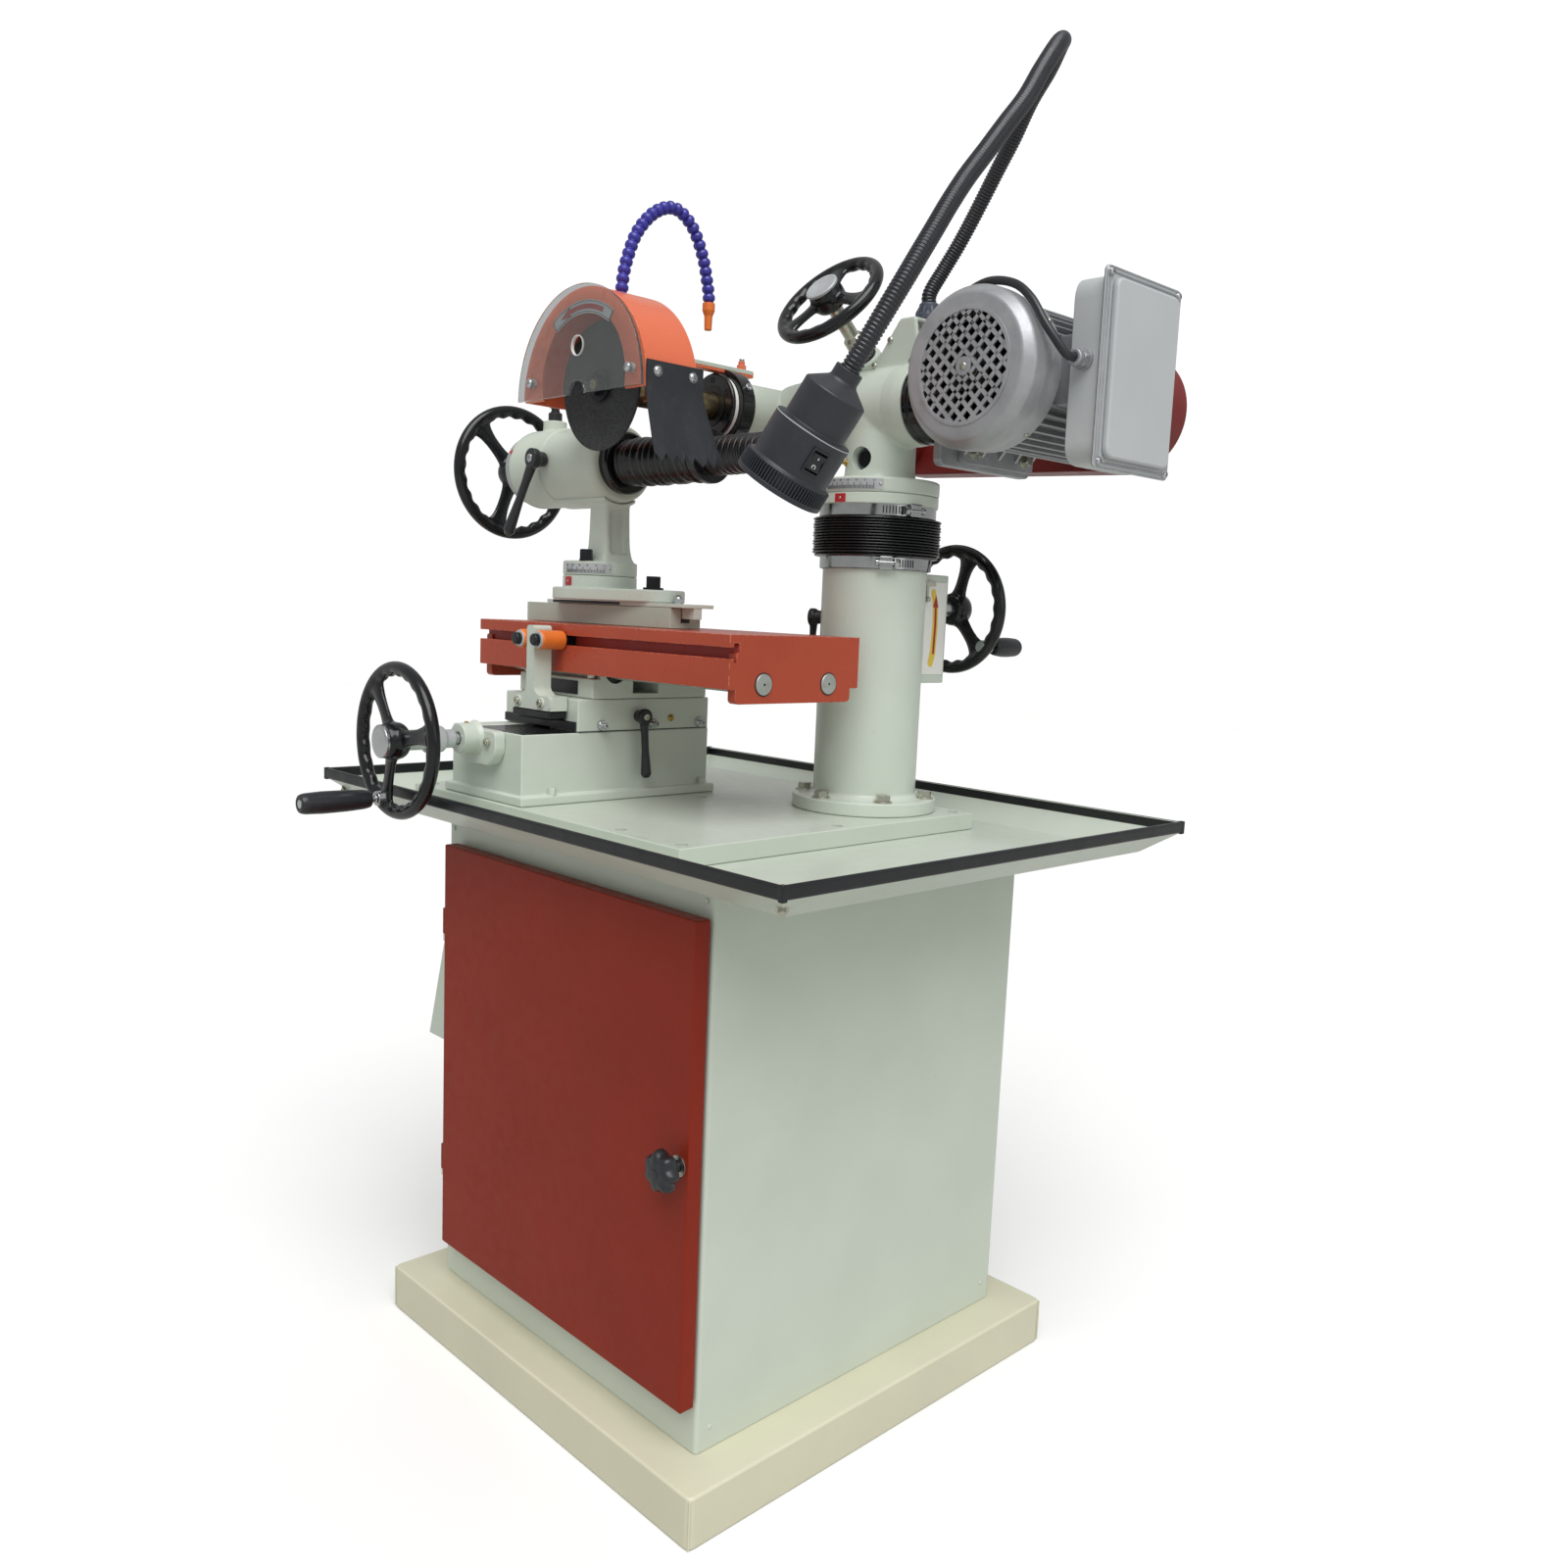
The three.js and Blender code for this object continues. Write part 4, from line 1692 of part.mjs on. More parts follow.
// Tilting unit: spindle, belt drive and motor
const tilting = assembly(head, spindleX, columnY, tiltZ);
add(tilting, 'tilt_shaft', tiltShaft(), steel, 0.4, 0.6, spindleX + housingRadius + fit, columnY, tiltZ);
add(tilting, 'spindle_housing', spindleHousing(), mint, 0.4, 0.2, spindleX, capFront, tiltZ);
add(tilting, 'spindle', alongY(spindleShaft()), bronze, 0.3, 0.9, spindleX, wheelFace - wheelNutLength, tiltZ);
add(tilting, 'grinding_wheel', alongY(pipe(wheelRadius, spindleShaftRadius / 2 + fit, wheelThickness - fit)),
  stone, 0.9, 0, spindleX, wheelFace + fit, tiltZ);
add(tilting, 'guard_hood', guardHood(), guardOrange, 0.35, 0.1, spindleX, guardFront, tiltZ);
add(tilting, 'guard_window', guardWindow(), clear, 0.05, 0, spindleX,
  guardFront - fit - windowStand - windowThickness + fit, guardCentreZ);
add(tilting, 'splash_flap', splashFlap(), black, 0.6, 0, spindleX + guardRadius + fit, flapFront, 0);
add(tilting, 'coolant_hose', coolantHose(), hoseBlue, 0.4, 0);
add(tilting, 'motor_body', motorBody(), silver, 0.4, 0.5, motorX, motorBodyFront, motorZ);
add(tilting, 'fan_cover', fanCover(), silver, 0.4, 0.5, motorX, fanCoverFront, motorZ);
add(tilting, 'motor_rotor', motorRotor(), steel, 0.3, 0.8, motorX, fanCoverFront + fanDepth / 2, motorZ);
add(tilting, 'terminal_box', terminalBox(), boxGrey, 0.5, 0.1, boxLeft, boxFront, boxBottom);
add(tilting, 'motor_cable', cord(cableRoute, cableRadius), black, 0.6, 0);
add(tilting, 'belt_guard', beltGuard(), darkRed, 0.4, 0.1, spindleX, beltGuardFront, tiltZ);
add(tilting, 'drive_belt', driveBelt(), black, 0.8, 0, spindleX, beltFront + fit, tiltZ);

export default machine;
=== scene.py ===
import random
from math import asin, atan2, cos, degrees, exp, hypot, pi, radians, sin, sqrt

import bmesh
import bpy
from mathutils import Matrix, Vector


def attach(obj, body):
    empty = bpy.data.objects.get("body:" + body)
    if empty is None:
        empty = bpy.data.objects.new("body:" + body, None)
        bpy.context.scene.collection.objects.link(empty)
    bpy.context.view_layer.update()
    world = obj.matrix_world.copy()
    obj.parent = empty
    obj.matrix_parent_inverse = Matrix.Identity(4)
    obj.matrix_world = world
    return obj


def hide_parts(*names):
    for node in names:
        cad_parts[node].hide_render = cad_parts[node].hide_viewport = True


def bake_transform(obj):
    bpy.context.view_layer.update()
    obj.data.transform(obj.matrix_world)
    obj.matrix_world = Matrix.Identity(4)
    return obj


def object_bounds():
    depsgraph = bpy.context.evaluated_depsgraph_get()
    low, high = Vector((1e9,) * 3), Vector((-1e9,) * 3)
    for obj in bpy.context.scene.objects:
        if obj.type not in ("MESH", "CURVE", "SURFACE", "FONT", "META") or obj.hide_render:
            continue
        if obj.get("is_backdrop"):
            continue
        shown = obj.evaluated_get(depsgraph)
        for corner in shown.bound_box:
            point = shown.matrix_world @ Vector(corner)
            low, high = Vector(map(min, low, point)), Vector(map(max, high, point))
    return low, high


# Saw blade sharpening machine. Shapes are drawn in millimetres in the machine's own frame:
# X along the work table, Y away from the door, Z up from the floor. piece() turns them into metres.
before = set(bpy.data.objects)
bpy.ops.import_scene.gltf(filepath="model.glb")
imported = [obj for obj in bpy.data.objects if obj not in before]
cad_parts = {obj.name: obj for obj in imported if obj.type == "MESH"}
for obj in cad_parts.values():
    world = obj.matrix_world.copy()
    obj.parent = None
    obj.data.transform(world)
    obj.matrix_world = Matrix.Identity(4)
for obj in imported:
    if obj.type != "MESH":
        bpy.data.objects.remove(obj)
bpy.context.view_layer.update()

MM = 0.001
X_AXIS = Vector((1, 0, 0))
Y_AXIS = Vector((0, 1, 0))
Z_AXIS = Vector((0, 0, 1))
# Where the turned parts stand: each an axis and a place on it
COLUMN = (Z_AXIS, (98, 151, 0))
SWIVEL = (Z_AXIS, (-238, -57, 0))
ARM = (X_AXIS, (0, -57, 1202))
HEAD = (X_AXIS, (0, 151, 1281))
SPINDLE = (Y_AXIS, (-91, 0, 1281))
MOTOR = (Y_AXIS, (300, 0, 1302))
CROSS_FEED = (Y_AXIS, (-208, 0, 829))
# Middle of the guard's half circle, across and up
HOOD = (-91, 1266)


def set_down(name, data):
    """New object in the scene."""
    made = bpy.data.objects.new(name, data)
    bpy.context.scene.collection.objects.link(made)
    return made


def plain(thing):
    """The mesh that an object shows once its modifiers have run."""
    graph = bpy.context.evaluated_depsgraph_get()
    return bpy.data.meshes.new_from_object(thing.evaluated_get(graph), depsgraph=graph)


# Camera at the photograph's place: level eye a little above the tray, seen past the door's corner
def place_camera():
    data = bpy.data.cameras.new("photo_camera")
    data.sensor_width = 36
    data.lens = 29.87
    camera = set_down("photo_camera", data)
    right = Vector((0.6941, 0.7186, 0.0423)).normalized()
    back = Vector((0.7091, -0.6927, 0.1319)).normalized()
    up = back.cross(right).normalized()
    right = up.cross(back)
    camera.matrix_world = Matrix(((right.x, up.x, back.x, 1.2904), (right.y, up.y, back.y, -1.1675),
        (right.z, up.z, back.z, 1.0107), (0, 0, 0, 1)))
    bpy.context.scene.camera = camera


# Node trees: the same short calls serve a finish, the sky and a geometry tree
def feed(tree, node, values):
    """Links or sets a node's inputs."""
    for key, value in values.items():
        if isinstance(value, bpy.types.NodeSocket):
            tree.links.new(value, node.inputs[key])
        else:
            node.inputs[key].default_value = value


def put(tree, kind, values=None, **settings):
    made = tree.nodes.new(kind)
    for key, value in settings.items():
        setattr(made, key, value)
    feed(tree, made, values or {})
    return made


def first(*given, **settings):
    """First output of a new node."""
    return put(*given, **settings).outputs[0]


def maths(tree, operation, one, other=0.0):
    return first(tree, "ShaderNodeMath", {0: one, 1: other}, operation=operation)


def rgb(colour, share=1.0):
    """Linear colour of a six digit screen colour, made darker or lighter by a share."""
    parts = [int(colour[i:i + 2], 16) / 255 for i in (0, 2, 4)]
    linear = [p / 12.92 if p <= 0.04045 else ((p + 0.055) / 1.055) ** 2.4 for p in parts]
    return (*[min(1.0, p * share) for p in linear], 1.0)


def new_finish(name):
    made = bpy.data.materials.new(name)
    made.use_nodes = True
    tree = made.node_tree
    shader = tree.nodes["Principled BSDF"]
    place = put(tree, "ShaderNodeTexCoord").outputs["Object"]
    return made, tree, shader, place


def blotches(tree, place, scale, detail=3.0, roughness=0.5, stretch=None):
    """Noise over the piece, scale in patches per metre."""
    if stretch:
        place = first(tree, "ShaderNodeMapping", {"Vector": place, "Scale": stretch})
    return put(tree, "ShaderNodeTexNoise", {"Vector": place, "Scale": scale, "Detail": detail,
        "Roughness": roughness}).outputs["Fac"]


def between(tree, value, low, high, to_low, to_high):
    return first(tree, "ShaderNodeMapRange", {0: value, 1: low, 2: high, 3: to_low, 4: to_high})


def blended(tree, share, one, other):
    return put(tree, "ShaderNodeMix", {0: share, 6: one, 7: other}, data_type="RGBA").outputs[2]


def raised(tree, shader, height, strength, distance):
    bump = first(tree, "ShaderNodeBump", {"Height": height, "Strength": strength, "Distance": distance})
    feed(tree, shader, {"Normal": bump})


def paint(name, colour, peel=900, peel_height=0.0002, rough=0.35, coat=0.2, drift=0.06, dirt="6b6a5a",
        dirt_share=0.25, worn=None, shine=0.4):
    """Sprayed enamel: slight drift of tone, orange peel, dull spots, and a worn edge where asked."""
    made, tree, shader, place = new_finish(name)
    tone = blotches(tree, place, 7, 4)
    base = blended(tree, between(tree, tone, 0.3, 0.7, 0, 1), rgb(colour, 1 - drift), rgb(colour, 1 + drift))
    marks = between(tree, blotches(tree, place, 34, 8, 0.72), 0.63, 0.8, 0, dirt_share)
    base = blended(tree, marks, base, rgb(dirt))
    if worn:
        soft = first(tree, "ShaderNodeBevel", {"Radius": 0.0016}, samples=4)
        flat = put(tree, "ShaderNodeNewGeometry").outputs["Normal"]
        apart = put(tree, "ShaderNodeVectorMath", {0: soft, 1: flat},
            operation="DOT_PRODUCT").outputs["Value"]
        edge = between(tree, apart, 0.995, 0.93, 0, 1)
        chips = between(tree, blotches(tree, place, 160, 6, 0.7), 0.5, 0.58, 0, 0.85)
        base = blended(tree, maths(tree, "MULTIPLY", edge, chips), base, rgb(worn))
    dull = between(tree, blotches(tree, place, 55, 5), 0.3, 0.7, rough - 0.06, rough + 0.09)
    raised(tree, shader, blotches(tree, place, peel, 2), 0.35, peel_height)
    feed(tree, shader, {"Base Color": base, "Roughness": dull, "Specular IOR Level": shine,
        "Coat Weight": coat, "Coat Roughness": 0.12})
    return made


def metal(name, colour, rough=0.28, lines=(1, 1, 1), line_scale=260, height=0.00006, stain=None,
        metallic=1.0):
    """Ground or turned metal: fine lines the way it was worked, cloudy gloss, light staining."""
    made, tree, shader, place = new_finish(name)
    cloud = blotches(tree, place, 26, 5, 0.6)
    base = blended(tree, between(tree, cloud, 0.3, 0.7, 0, 1), rgb(colour, 0.82), rgb(colour, 1.08))
    if stain:
        spots = between(tree, blotches(tree, place, 70, 7, 0.7), 0.6, 0.75, 0, 0.6)
        base = blended(tree, spots, base, rgb(stain))
    grain = blotches(tree, place, line_scale, 3, 0.6, lines)
    gloss = between(tree, grain, 0.25, 0.75, rough - 0.08, rough + 0.12)
    raised(tree, shader, grain, 0.3, height)
    feed(tree, shader, {"Base Color": base, "Roughness": gloss, "Metallic": metallic})
    return made


def moulded(name, colour, rough=0.4, grain=700, height=0.00015, dust="8d8f92", dust_share=0.12, coat=0.0):
    """Moulded plastic or rubber: fine grain, a little dust, uneven gloss."""
    made, tree, shader, place = new_finish(name)
    tone = blotches(tree, place, 18, 4)
    base = blended(tree, between(tree, tone, 0.3, 0.7, 0, 1), rgb(colour, 0.86), rgb(colour, 1.18))
    powder = between(tree, blotches(tree, place, 60, 9, 0.75), 0.52, 0.8, 0, dust_share)
    base = blended(tree, powder, base, rgb(dust))
    gloss = between(tree, blotches(tree, place, 40, 5), 0.3, 0.7, rough - 0.07, rough + 0.1)
    raised(tree, shader, blotches(tree, place, grain, 3), 0.4, height)
    feed(tree, shader, {"Base Color": base, "Roughness": gloss, "Coat Weight": coat, "Coat Roughness": 0.1})
    return made


def abrasive_grit(name):
    """Bonded grit of the grinding wheel: dark grains with bright facets in a dull bond."""
    made, tree, shader, place = new_finish(name)
    grains = put(tree, "ShaderNodeTexVoronoi", {"Vector": place, "Scale": 900})
    fleck = between(tree, grains.outputs["Distance"], 0.1, 0.6, 1, 0)
    base = blended(tree, maths(tree, "MULTIPLY", fleck, 0.5), rgb("26272a"), rgb("6a6a6c"))
    feed(tree, shader, {"Base Color": base, "Roughness": between(tree, fleck, 0, 1, 0.9, 0.5)})
    raised(tree, shader, grains.outputs["Distance"], 0.6, 0.0005)
    return made


def clear_sheet(name, tint, rough=0.03, scratch=0.1):
    """Clear acrylic or glass with faint wiping scratches."""
    made, tree, shader, place = new_finish(name)
    marks = blotches(tree, place, 60, 6, 0.7, (1, 1, 9))
    dull = between(tree, marks, 0.55, 0.8, rough, rough + scratch)
    haze = blended(tree, between(tree, blotches(tree, place, 30, 4), 0.4, 0.8, 0, 0.5), rgb(tint),
        rgb("f4f7f7"))
    feed(tree, shader, {"Base Color": haze, "Roughness": dull, "Transmission Weight": 0.96, "IOR": 1.3})
    return made


def belt_cloth(name):
    """Woven belt backing with a fine crossing thread."""
    made, tree, shader, place = new_finish(name)
    weave = put(tree, "ShaderNodeTexWave", {"Vector": place, "Scale": 500, "Distortion": 1.5})
    base = blended(tree, weave.outputs["Fac"], rgb("141416"), rgb("2c2c30"))
    raised(tree, shader, weave.outputs["Fac"], 0.4, 0.0003)
    feed(tree, shader, {"Base Color": base, "Roughness": 0.8})
    return made


mint_enamel = paint("mint_enamel", "c3ccbf", 800, 0.00018, 0.34, 0.15, 0.035, "8d9280", 0.2)
mint_casting = paint("mint_casting", "c8d1c5", 420, 0.00045, 0.36, 0.2, 0.05, "80856f", 0.28)
stained_casting = paint("stained_casting", "b3bcae", 420, 0.0004, 0.36, 0.2, 0.05, "b79a45", 0.75)
cream_enamel = paint("cream_enamel", "cfccb4", 700, 0.00018, 0.42, 0.05, 0.04, "9c937a", 0.3)
door_enamel = paint("door_enamel", "842716", 520, 0.0004, 0.36, 0.0, 0.06, "5c1c12", 0.15, None, 0.16)
table_enamel = paint("table_enamel", "ac472f", 620, 0.0003, 0.3, 0.05, 0.07, "6d2417", 0.25, "e3a48c", 0.3)
guard_enamel = paint("guard_enamel", "db6f4d", 700, 0.00025, 0.28, 0.1, 0.05, "8a3018", 0.15, "f0b39c", 0.35)
belt_enamel = paint("belt_enamel", "6e1f1c", 700, 0.00025, 0.4, 0.05, 0.06, "3c120e", 0.2, None, 0.25)
wheel_enamel = paint("wheel_enamel", "0f1114", 300, 0.00006, 0.2, 0.3, 0.15, "2c2f33", 0.1, "4a4d50", 0.3)
collar_enamel = paint("collar_enamel", "0c0e11", 500, 0.00004, 0.18, 0.3, 0.15, "33363a", 0.1)
silver_lacquer = metal("silver_lacquer", "aaacaf", 0.4, (1, 1, 1), 600, 0.00004, "77766f", 0.55)
box_enamel = paint("box_enamel", "b5b9ba", 800, 0.00015, 0.38, 0.05, 0.04, "6f7473", 0.2, None, 0.3)
pointer_enamel = paint("pointer_enamel", "b3202a", 900, 0.0001, 0.35, 0.2, 0.06, "50121a", 0.15)
white_ink = paint("white_ink", "e9e9e4", 900, 0.00005, 0.5, 0.0, 0.03, "9a9a92", 0.15)
black_ink = paint("black_ink", "17181a", 900, 0.00005, 0.5, 0.0, 0.08, "55565a", 0.1)
red_ink = paint("red_ink", "a0332c", 900, 0.00005, 0.5, 0.0, 0.08, "4f1f1b", 0.2)
yellow_ink = paint("yellow_ink", "dfc049", 900, 0.00005, 0.45, 0.1, 0.05, "8a6f22", 0.2)
bright_steel = metal("bright_steel", "c9ccce", 0.24, (1, 1, 9), 240)
ground_steel = metal("ground_steel", "b9bdb9", 0.4, (14, 1, 1), 120, 0.00008, "a08a4e", 0.75)
zinc_steel = metal("zinc_steel", "c4c3b6", 0.3, (1, 1, 1), 300, 0.00008, "8d7f55")
band_steel = metal("band_steel", "b4b6b6", 0.13, (1, 1, 1), 60, 0.00001)
bright_edge = metal("bright_edge", "a9adb0", 0.3, (1, 1, 1), 30, 0.000004, None, 0.6)
dark_steel = metal("dark_steel", "24262a", 0.36, (1, 1, 1), 300, 0.0001, "4b4a48", 0.6)
scale_alloy = metal("scale_alloy", "c8ccce", 0.42, (1, 1, 10), 260, 0.00003, None, 0.55)
nose_bronze = metal("nose_bronze", "8f8265", 0.3, (1, 9, 1), 240, 0.00005, "5b4f33")
brass = metal("brass", "b99a4f", 0.32, (1, 1, 1), 300, 0.00005, "6d5524")
rubber = moulded("rubber", "111317", 0.36, 500, 0.0001, "4c5055", 0.12)
wet_rubber = moulded("wet_rubber", "0d0f12", 0.26, 240, 0.0002, "3b3f42", 0.08, 0.12)
flap_rubber = moulded("flap_rubber", "23262b", 0.5, 600, 0.00015, "7b8086", 0.12)
conduit_plastic = moulded("conduit_plastic", "16181f", 0.3, 900, 0.00003, "4d5570", 0.1, 0.2)
black_moulding = moulded("black_moulding", "1b1d22", 0.36, 900, 0.00008, "6f7378", 0.08, 0.1)
lamp_moulding = moulded("lamp_moulding", "272a30", 0.42, 1100, 0.0001, "747980", 0.08)
gland_moulding = moulded("gland_moulding", "4a4f5c", 0.45, 700, 0.0001, "9a9da5", 0.1)
hose_blue = moulded("hose_blue", "2f2a94", 0.34, 600, 0.0001, "7773c4", 0.1, 0.2)
braid_blue = moulded("braid_blue", "5d6d7c", 0.4, 900, 0.0001, "a8b2ba", 0.15)
nozzle_orange = moulded("nozzle_orange", "e8762b", 0.38, 600, 0.0001, "f3b184", 0.1, 0.1)
tie_nylon = moulded("tie_nylon", "b9bbbb", 0.4, 600, 0.0001, "7c7d7d", 0.15)
wheel_grit = abrasive_grit("wheel_grit")
window_acrylic = clear_sheet("window_acrylic", "e9eeee")
lamp_lens = clear_sheet("lamp_lens", "e6ecf0", 0.12, 0.2)
belt_weave = belt_cloth("belt_weave")


# Working shapes in millimetres. Every one gives a mesh.
def shape(points, faces):
    mesh = bpy.data.meshes.new("shape")
    mesh.from_pydata([tuple(p) for p in points], [], faces)
    return mesh


def moved(mesh, matrix):
    mesh.transform(matrix)
    return mesh


def facing(axis, place=(0, 0, 0), spin=0.0):
    """Stands a shape that was made along +Z on a place, along an axis."""
    turn = Z_AXIS.rotation_difference(Vector(axis).normalized()).to_matrix().to_4x4()
    return Matrix.Translation(Vector(place)) @ turn @ Matrix.Rotation(spin, 4, "Z")


def tidied(mesh, gap=0.01):
    """Merges corners that meet and turns the faces of a closed shape outwards."""
    work = bmesh.new()
    work.from_mesh(mesh)
    bmesh.ops.remove_doubles(work, verts=work.verts, dist=gap)
    bmesh.ops.recalc_face_normals(work, faces=work.faces)
    work.to_mesh(mesh)
    work.free()
    return mesh


def shifted(mesh, x, y, z):
    return moved(mesh, Matrix.Translation((x, y, z)))


def about(place, angle, axis):
    """Turn by an angle about an axis through a place."""
    return Matrix.Translation(place) @ Matrix.Rotation(angle, 4, axis)


def lofted(rings, closed=False):
    """Skin over rings of equally many points, its ends capped unless it closes on itself."""
    size = len(rings[0])
    points = [p for ring in rings for p in ring]
    last = len(points) - size
    faces = [] if closed else [tuple(range(size)), tuple(range(last, last + size))]
    for low in range(0, last + size if closed else last, size):
        high = (low + size) % len(points)
        faces += [(low + k, low + (k + 1) % size, high + (k + 1) % size, high + k) for k in range(size)]
    return tidied(shape(points, faces))


def lathe(profile, sides=72, axis=Z_AXIS, place=(0, 0, 0), ring=False):
    """Turned shape from (radius, height) pairs. A ring's profile closes on itself."""
    points = []
    rings = []
    for radius, height in profile:
        if radius < 0.001:
            rings.append([len(points)] * sides)
            points.append((0, 0, height))
            continue
        rings.append([len(points) + i for i in range(sides)])
        points += [(radius * cos(2 * pi * i / sides), radius * sin(2 * pi * i / sides), height)
            for i in range(sides)]
    faces = []
    for low, high in zip(rings, rings[1:] + (rings[:1] if ring else [])):
        for i in range(sides):
            j = (i + 1) % sides
            corners = list(dict.fromkeys((low[i], low[j], high[j], high[i])))
            if len(corners) > 2:
                faces.append(corners)
    return tidied(moved(shape(points, faces), facing(axis, place)))


def softened(outline, radius, steps=3, closed=False):
    """Outline or profile with its corners rounded."""
    points = [Vector(p) for p in outline]
    count = len(points)
    result = [] if closed else [points[0]]
    for i in range(count) if closed else range(1, count - 1):
        corner = points[i]
        before = points[i - 1] - corner
        after = points[(i + 1) % count] - corner
        reach = min(radius, before.length * 0.48, after.length * 0.48)
        if reach < 0.05 or before.angle(after, 0) > 3.0:
            result.append(corner)
            continue
        start = corner + before.normalized() * reach
        end = corner + after.normalized() * reach
        for k in range(steps + 1):
            t = k / steps
            result.append((1 - t) ** 2 * start + 2 * t * (1 - t) * corner + t * t * end)
    if not closed:
        result.append(points[-1])
    return [tuple(p) for p in result]


def turned(profile, ease, sides, axis=Z_AXIS, place=(0, 0, 0), steps=3):
    """Turned solid with its corners rounded."""
    return lathe(softened(profile, ease, steps), sides, axis, place)


def bush(profile, ease, steps, sides, axis=Z_AXIS, place=(0, 0, 0)):
    """Turned shape with a bore, its corners rounded."""
    return lathe(softened(profile, ease, steps, True), sides, axis, place, True)


def pushed(outline, start, end, axis="z"):
    """Pushes a flat outline along an axis: its pairs are (x, y), (x, z) or (y, z)."""
    def corner(u, v, w):
        return {"z": (u, v, w), "y": (u, w, v), "x": (w, u, v)}[axis]
    count = len(outline)
    points = [corner(u, v, start) for u, v in outline] + [corner(u, v, end) for u, v in outline]
    faces = [tuple(range(count)), tuple(range(count, 2 * count))]
    faces += [(i, (i + 1) % count, count + (i + 1) % count, count + i) for i in range(count)]
    return tidied(shape(points, faces))


def block(x0, x1, y0, y1, z0, z1):
    return pushed([(x0, y0), (x1, y0), (x1, y1), (x0, y1)], z0, z1)


def rod(radius, start, end, axis=Z_AXIS, place=(0, 0, 0), sides=48, edge=0.0):
    profile = [(0, start), (radius, start), (radius, end), (0, end)]
    if edge:
        profile = softened(profile, edge)
    return lathe(profile, sides, axis, place)


def circle(radius, sides=48, start=0.0, turn=2 * pi, centre=(0, 0)):
    steps = sides if turn >= 2 * pi else sides + 1
    return [(centre[0] + radius * cos(start + turn * i / sides),
        centre[1] + radius * sin(start + turn * i / sides)) for i in range(steps)]


def spot(radius, angle, x=0, y=0):
    """Place on a circle about (x, y), its angle in degrees."""
    return x + radius * cos(radians(angle)), y + radius * sin(radians(angle))


def joined(*meshes):
    work = bmesh.new()
    for mesh in meshes:
        work.from_mesh(mesh)
    result = bpy.data.meshes.new("joined")
    work.to_mesh(result)
    work.free()
    for mesh in meshes:
        for finish in mesh.materials:
            if finish and finish.name not in result.materials:
                result.materials.append(finish)
    return result


def worked(mesh, *steps):
    """Mesh after the given modifiers, each a (kind, settings) pair."""
    thing = set_down("work", mesh)
    for kind, settings in steps:
        modifier = thing.modifiers.new(kind.lower(), kind)
        for key, value in settings.items():
            setattr(modifier, key, value)
    result = plain(thing)
    bpy.data.objects.remove(thing)
    return result


def with_tool(mesh, tool, operation):
    holder = set_down("tool", tool)
    result = worked(mesh, ("BOOLEAN", {"object": holder, "operation": operation, "solver": "EXACT"}))
    bpy.data.objects.remove(holder)
    return result


def carved(mesh, *tools):
    for tool in tools:
        mesh = with_tool(mesh, tool, "DIFFERENCE")
    return mesh


def fused(mesh, *others):
    for other in others:
        mesh = with_tool(mesh, other, "UNION")
    return mesh


def kept(mesh, tool):
    return with_tool(mesh, tool, "INTERSECT")


def eased(mesh, width, segments=2, angle=35):
    """Edges broken as a file or a press leaves them."""
    return worked(mesh, ("BEVEL", {"width": width, "segments": segments, "limit_method": "ANGLE",
        "angle_limit": radians(angle), "use_clamp_overlap": True}))


def casting(voxel, rounds, *meshes):
    """One casting from overlapping shapes, its inner corners filled as a mould leaves them."""
    return worked(joined(*meshes), ("REMESH", {"mode": "VOXEL", "voxel_size": voxel, "adaptivity": 0.0}),
        ("SMOOTH", {"factor": 0.5, "iterations": rounds}))


def sweep(path, outline, up=Z_AXIS, closed=False):
    """Carries a flat outline along a path. Its first number points sideways, its second along up."""
    path = [Vector(p) for p in path]
    count = len(path)
    rings = []
    side_before = None
    for i, here in enumerate(path):
        before = path[i - 1] if closed or i else here
        after = path[(i + 1) % count] if closed or i < count - 1 else here
        ahead = (after - before).normalized()
        side = ahead.cross(up)
        if side.length < 0.2 and side_before:
            side = side_before - ahead * side_before.dot(ahead)
        side = side.normalized()
        side_before = side
        over = side.cross(ahead).normalized()
        stretch = 1.0
        if closed or 0 < i < count - 1:
            angle = (here - before).angle(after - here, 0)
            stretch = 1 / max(0.5, cos(angle / 2))
        rings.append([here + side * (u * stretch) + over * v for u, v in outline])
    return lofted(rings, closed)


def smooth_route(places, count):
    """Evenly spaced points on a smooth curve through the given places."""
    p = [Vector(q) for q in places]
    p = [2 * p[0] - p[1]] + p + [2 * p[-1] - p[-2]]
    fine = []
    for i in range(1, len(p) - 2):
        for k in range(16):
            t = k / 16
            slope = p[i + 1] - p[i - 1]
            bend = 2 * p[i - 1] - 5 * p[i] + 4 * p[i + 1] - p[i + 2]
            twist = 3 * p[i] - p[i - 1] - 3 * p[i + 1] + p[i + 2]
            fine.append(0.5 * (2 * p[i] + slope * t + bend * t * t + twist * t ** 3))
    fine.append(p[-2])
    lengths = [0.0]
    for a, b in zip(fine, fine[1:]):
        lengths.append(lengths[-1] + (b - a).length)
    result = []
    k = 0
    for i in range(count):
        want = lengths[-1] * i / (count - 1)
        while k < len(fine) - 2 and lengths[k + 1] < want:
            k += 1
        share = (want - lengths[k]) / max(1e-6, lengths[k + 1] - lengths[k])
        result.append(fine[k].lerp(fine[k + 1], min(1.0, max(0.0, share))))
    return result


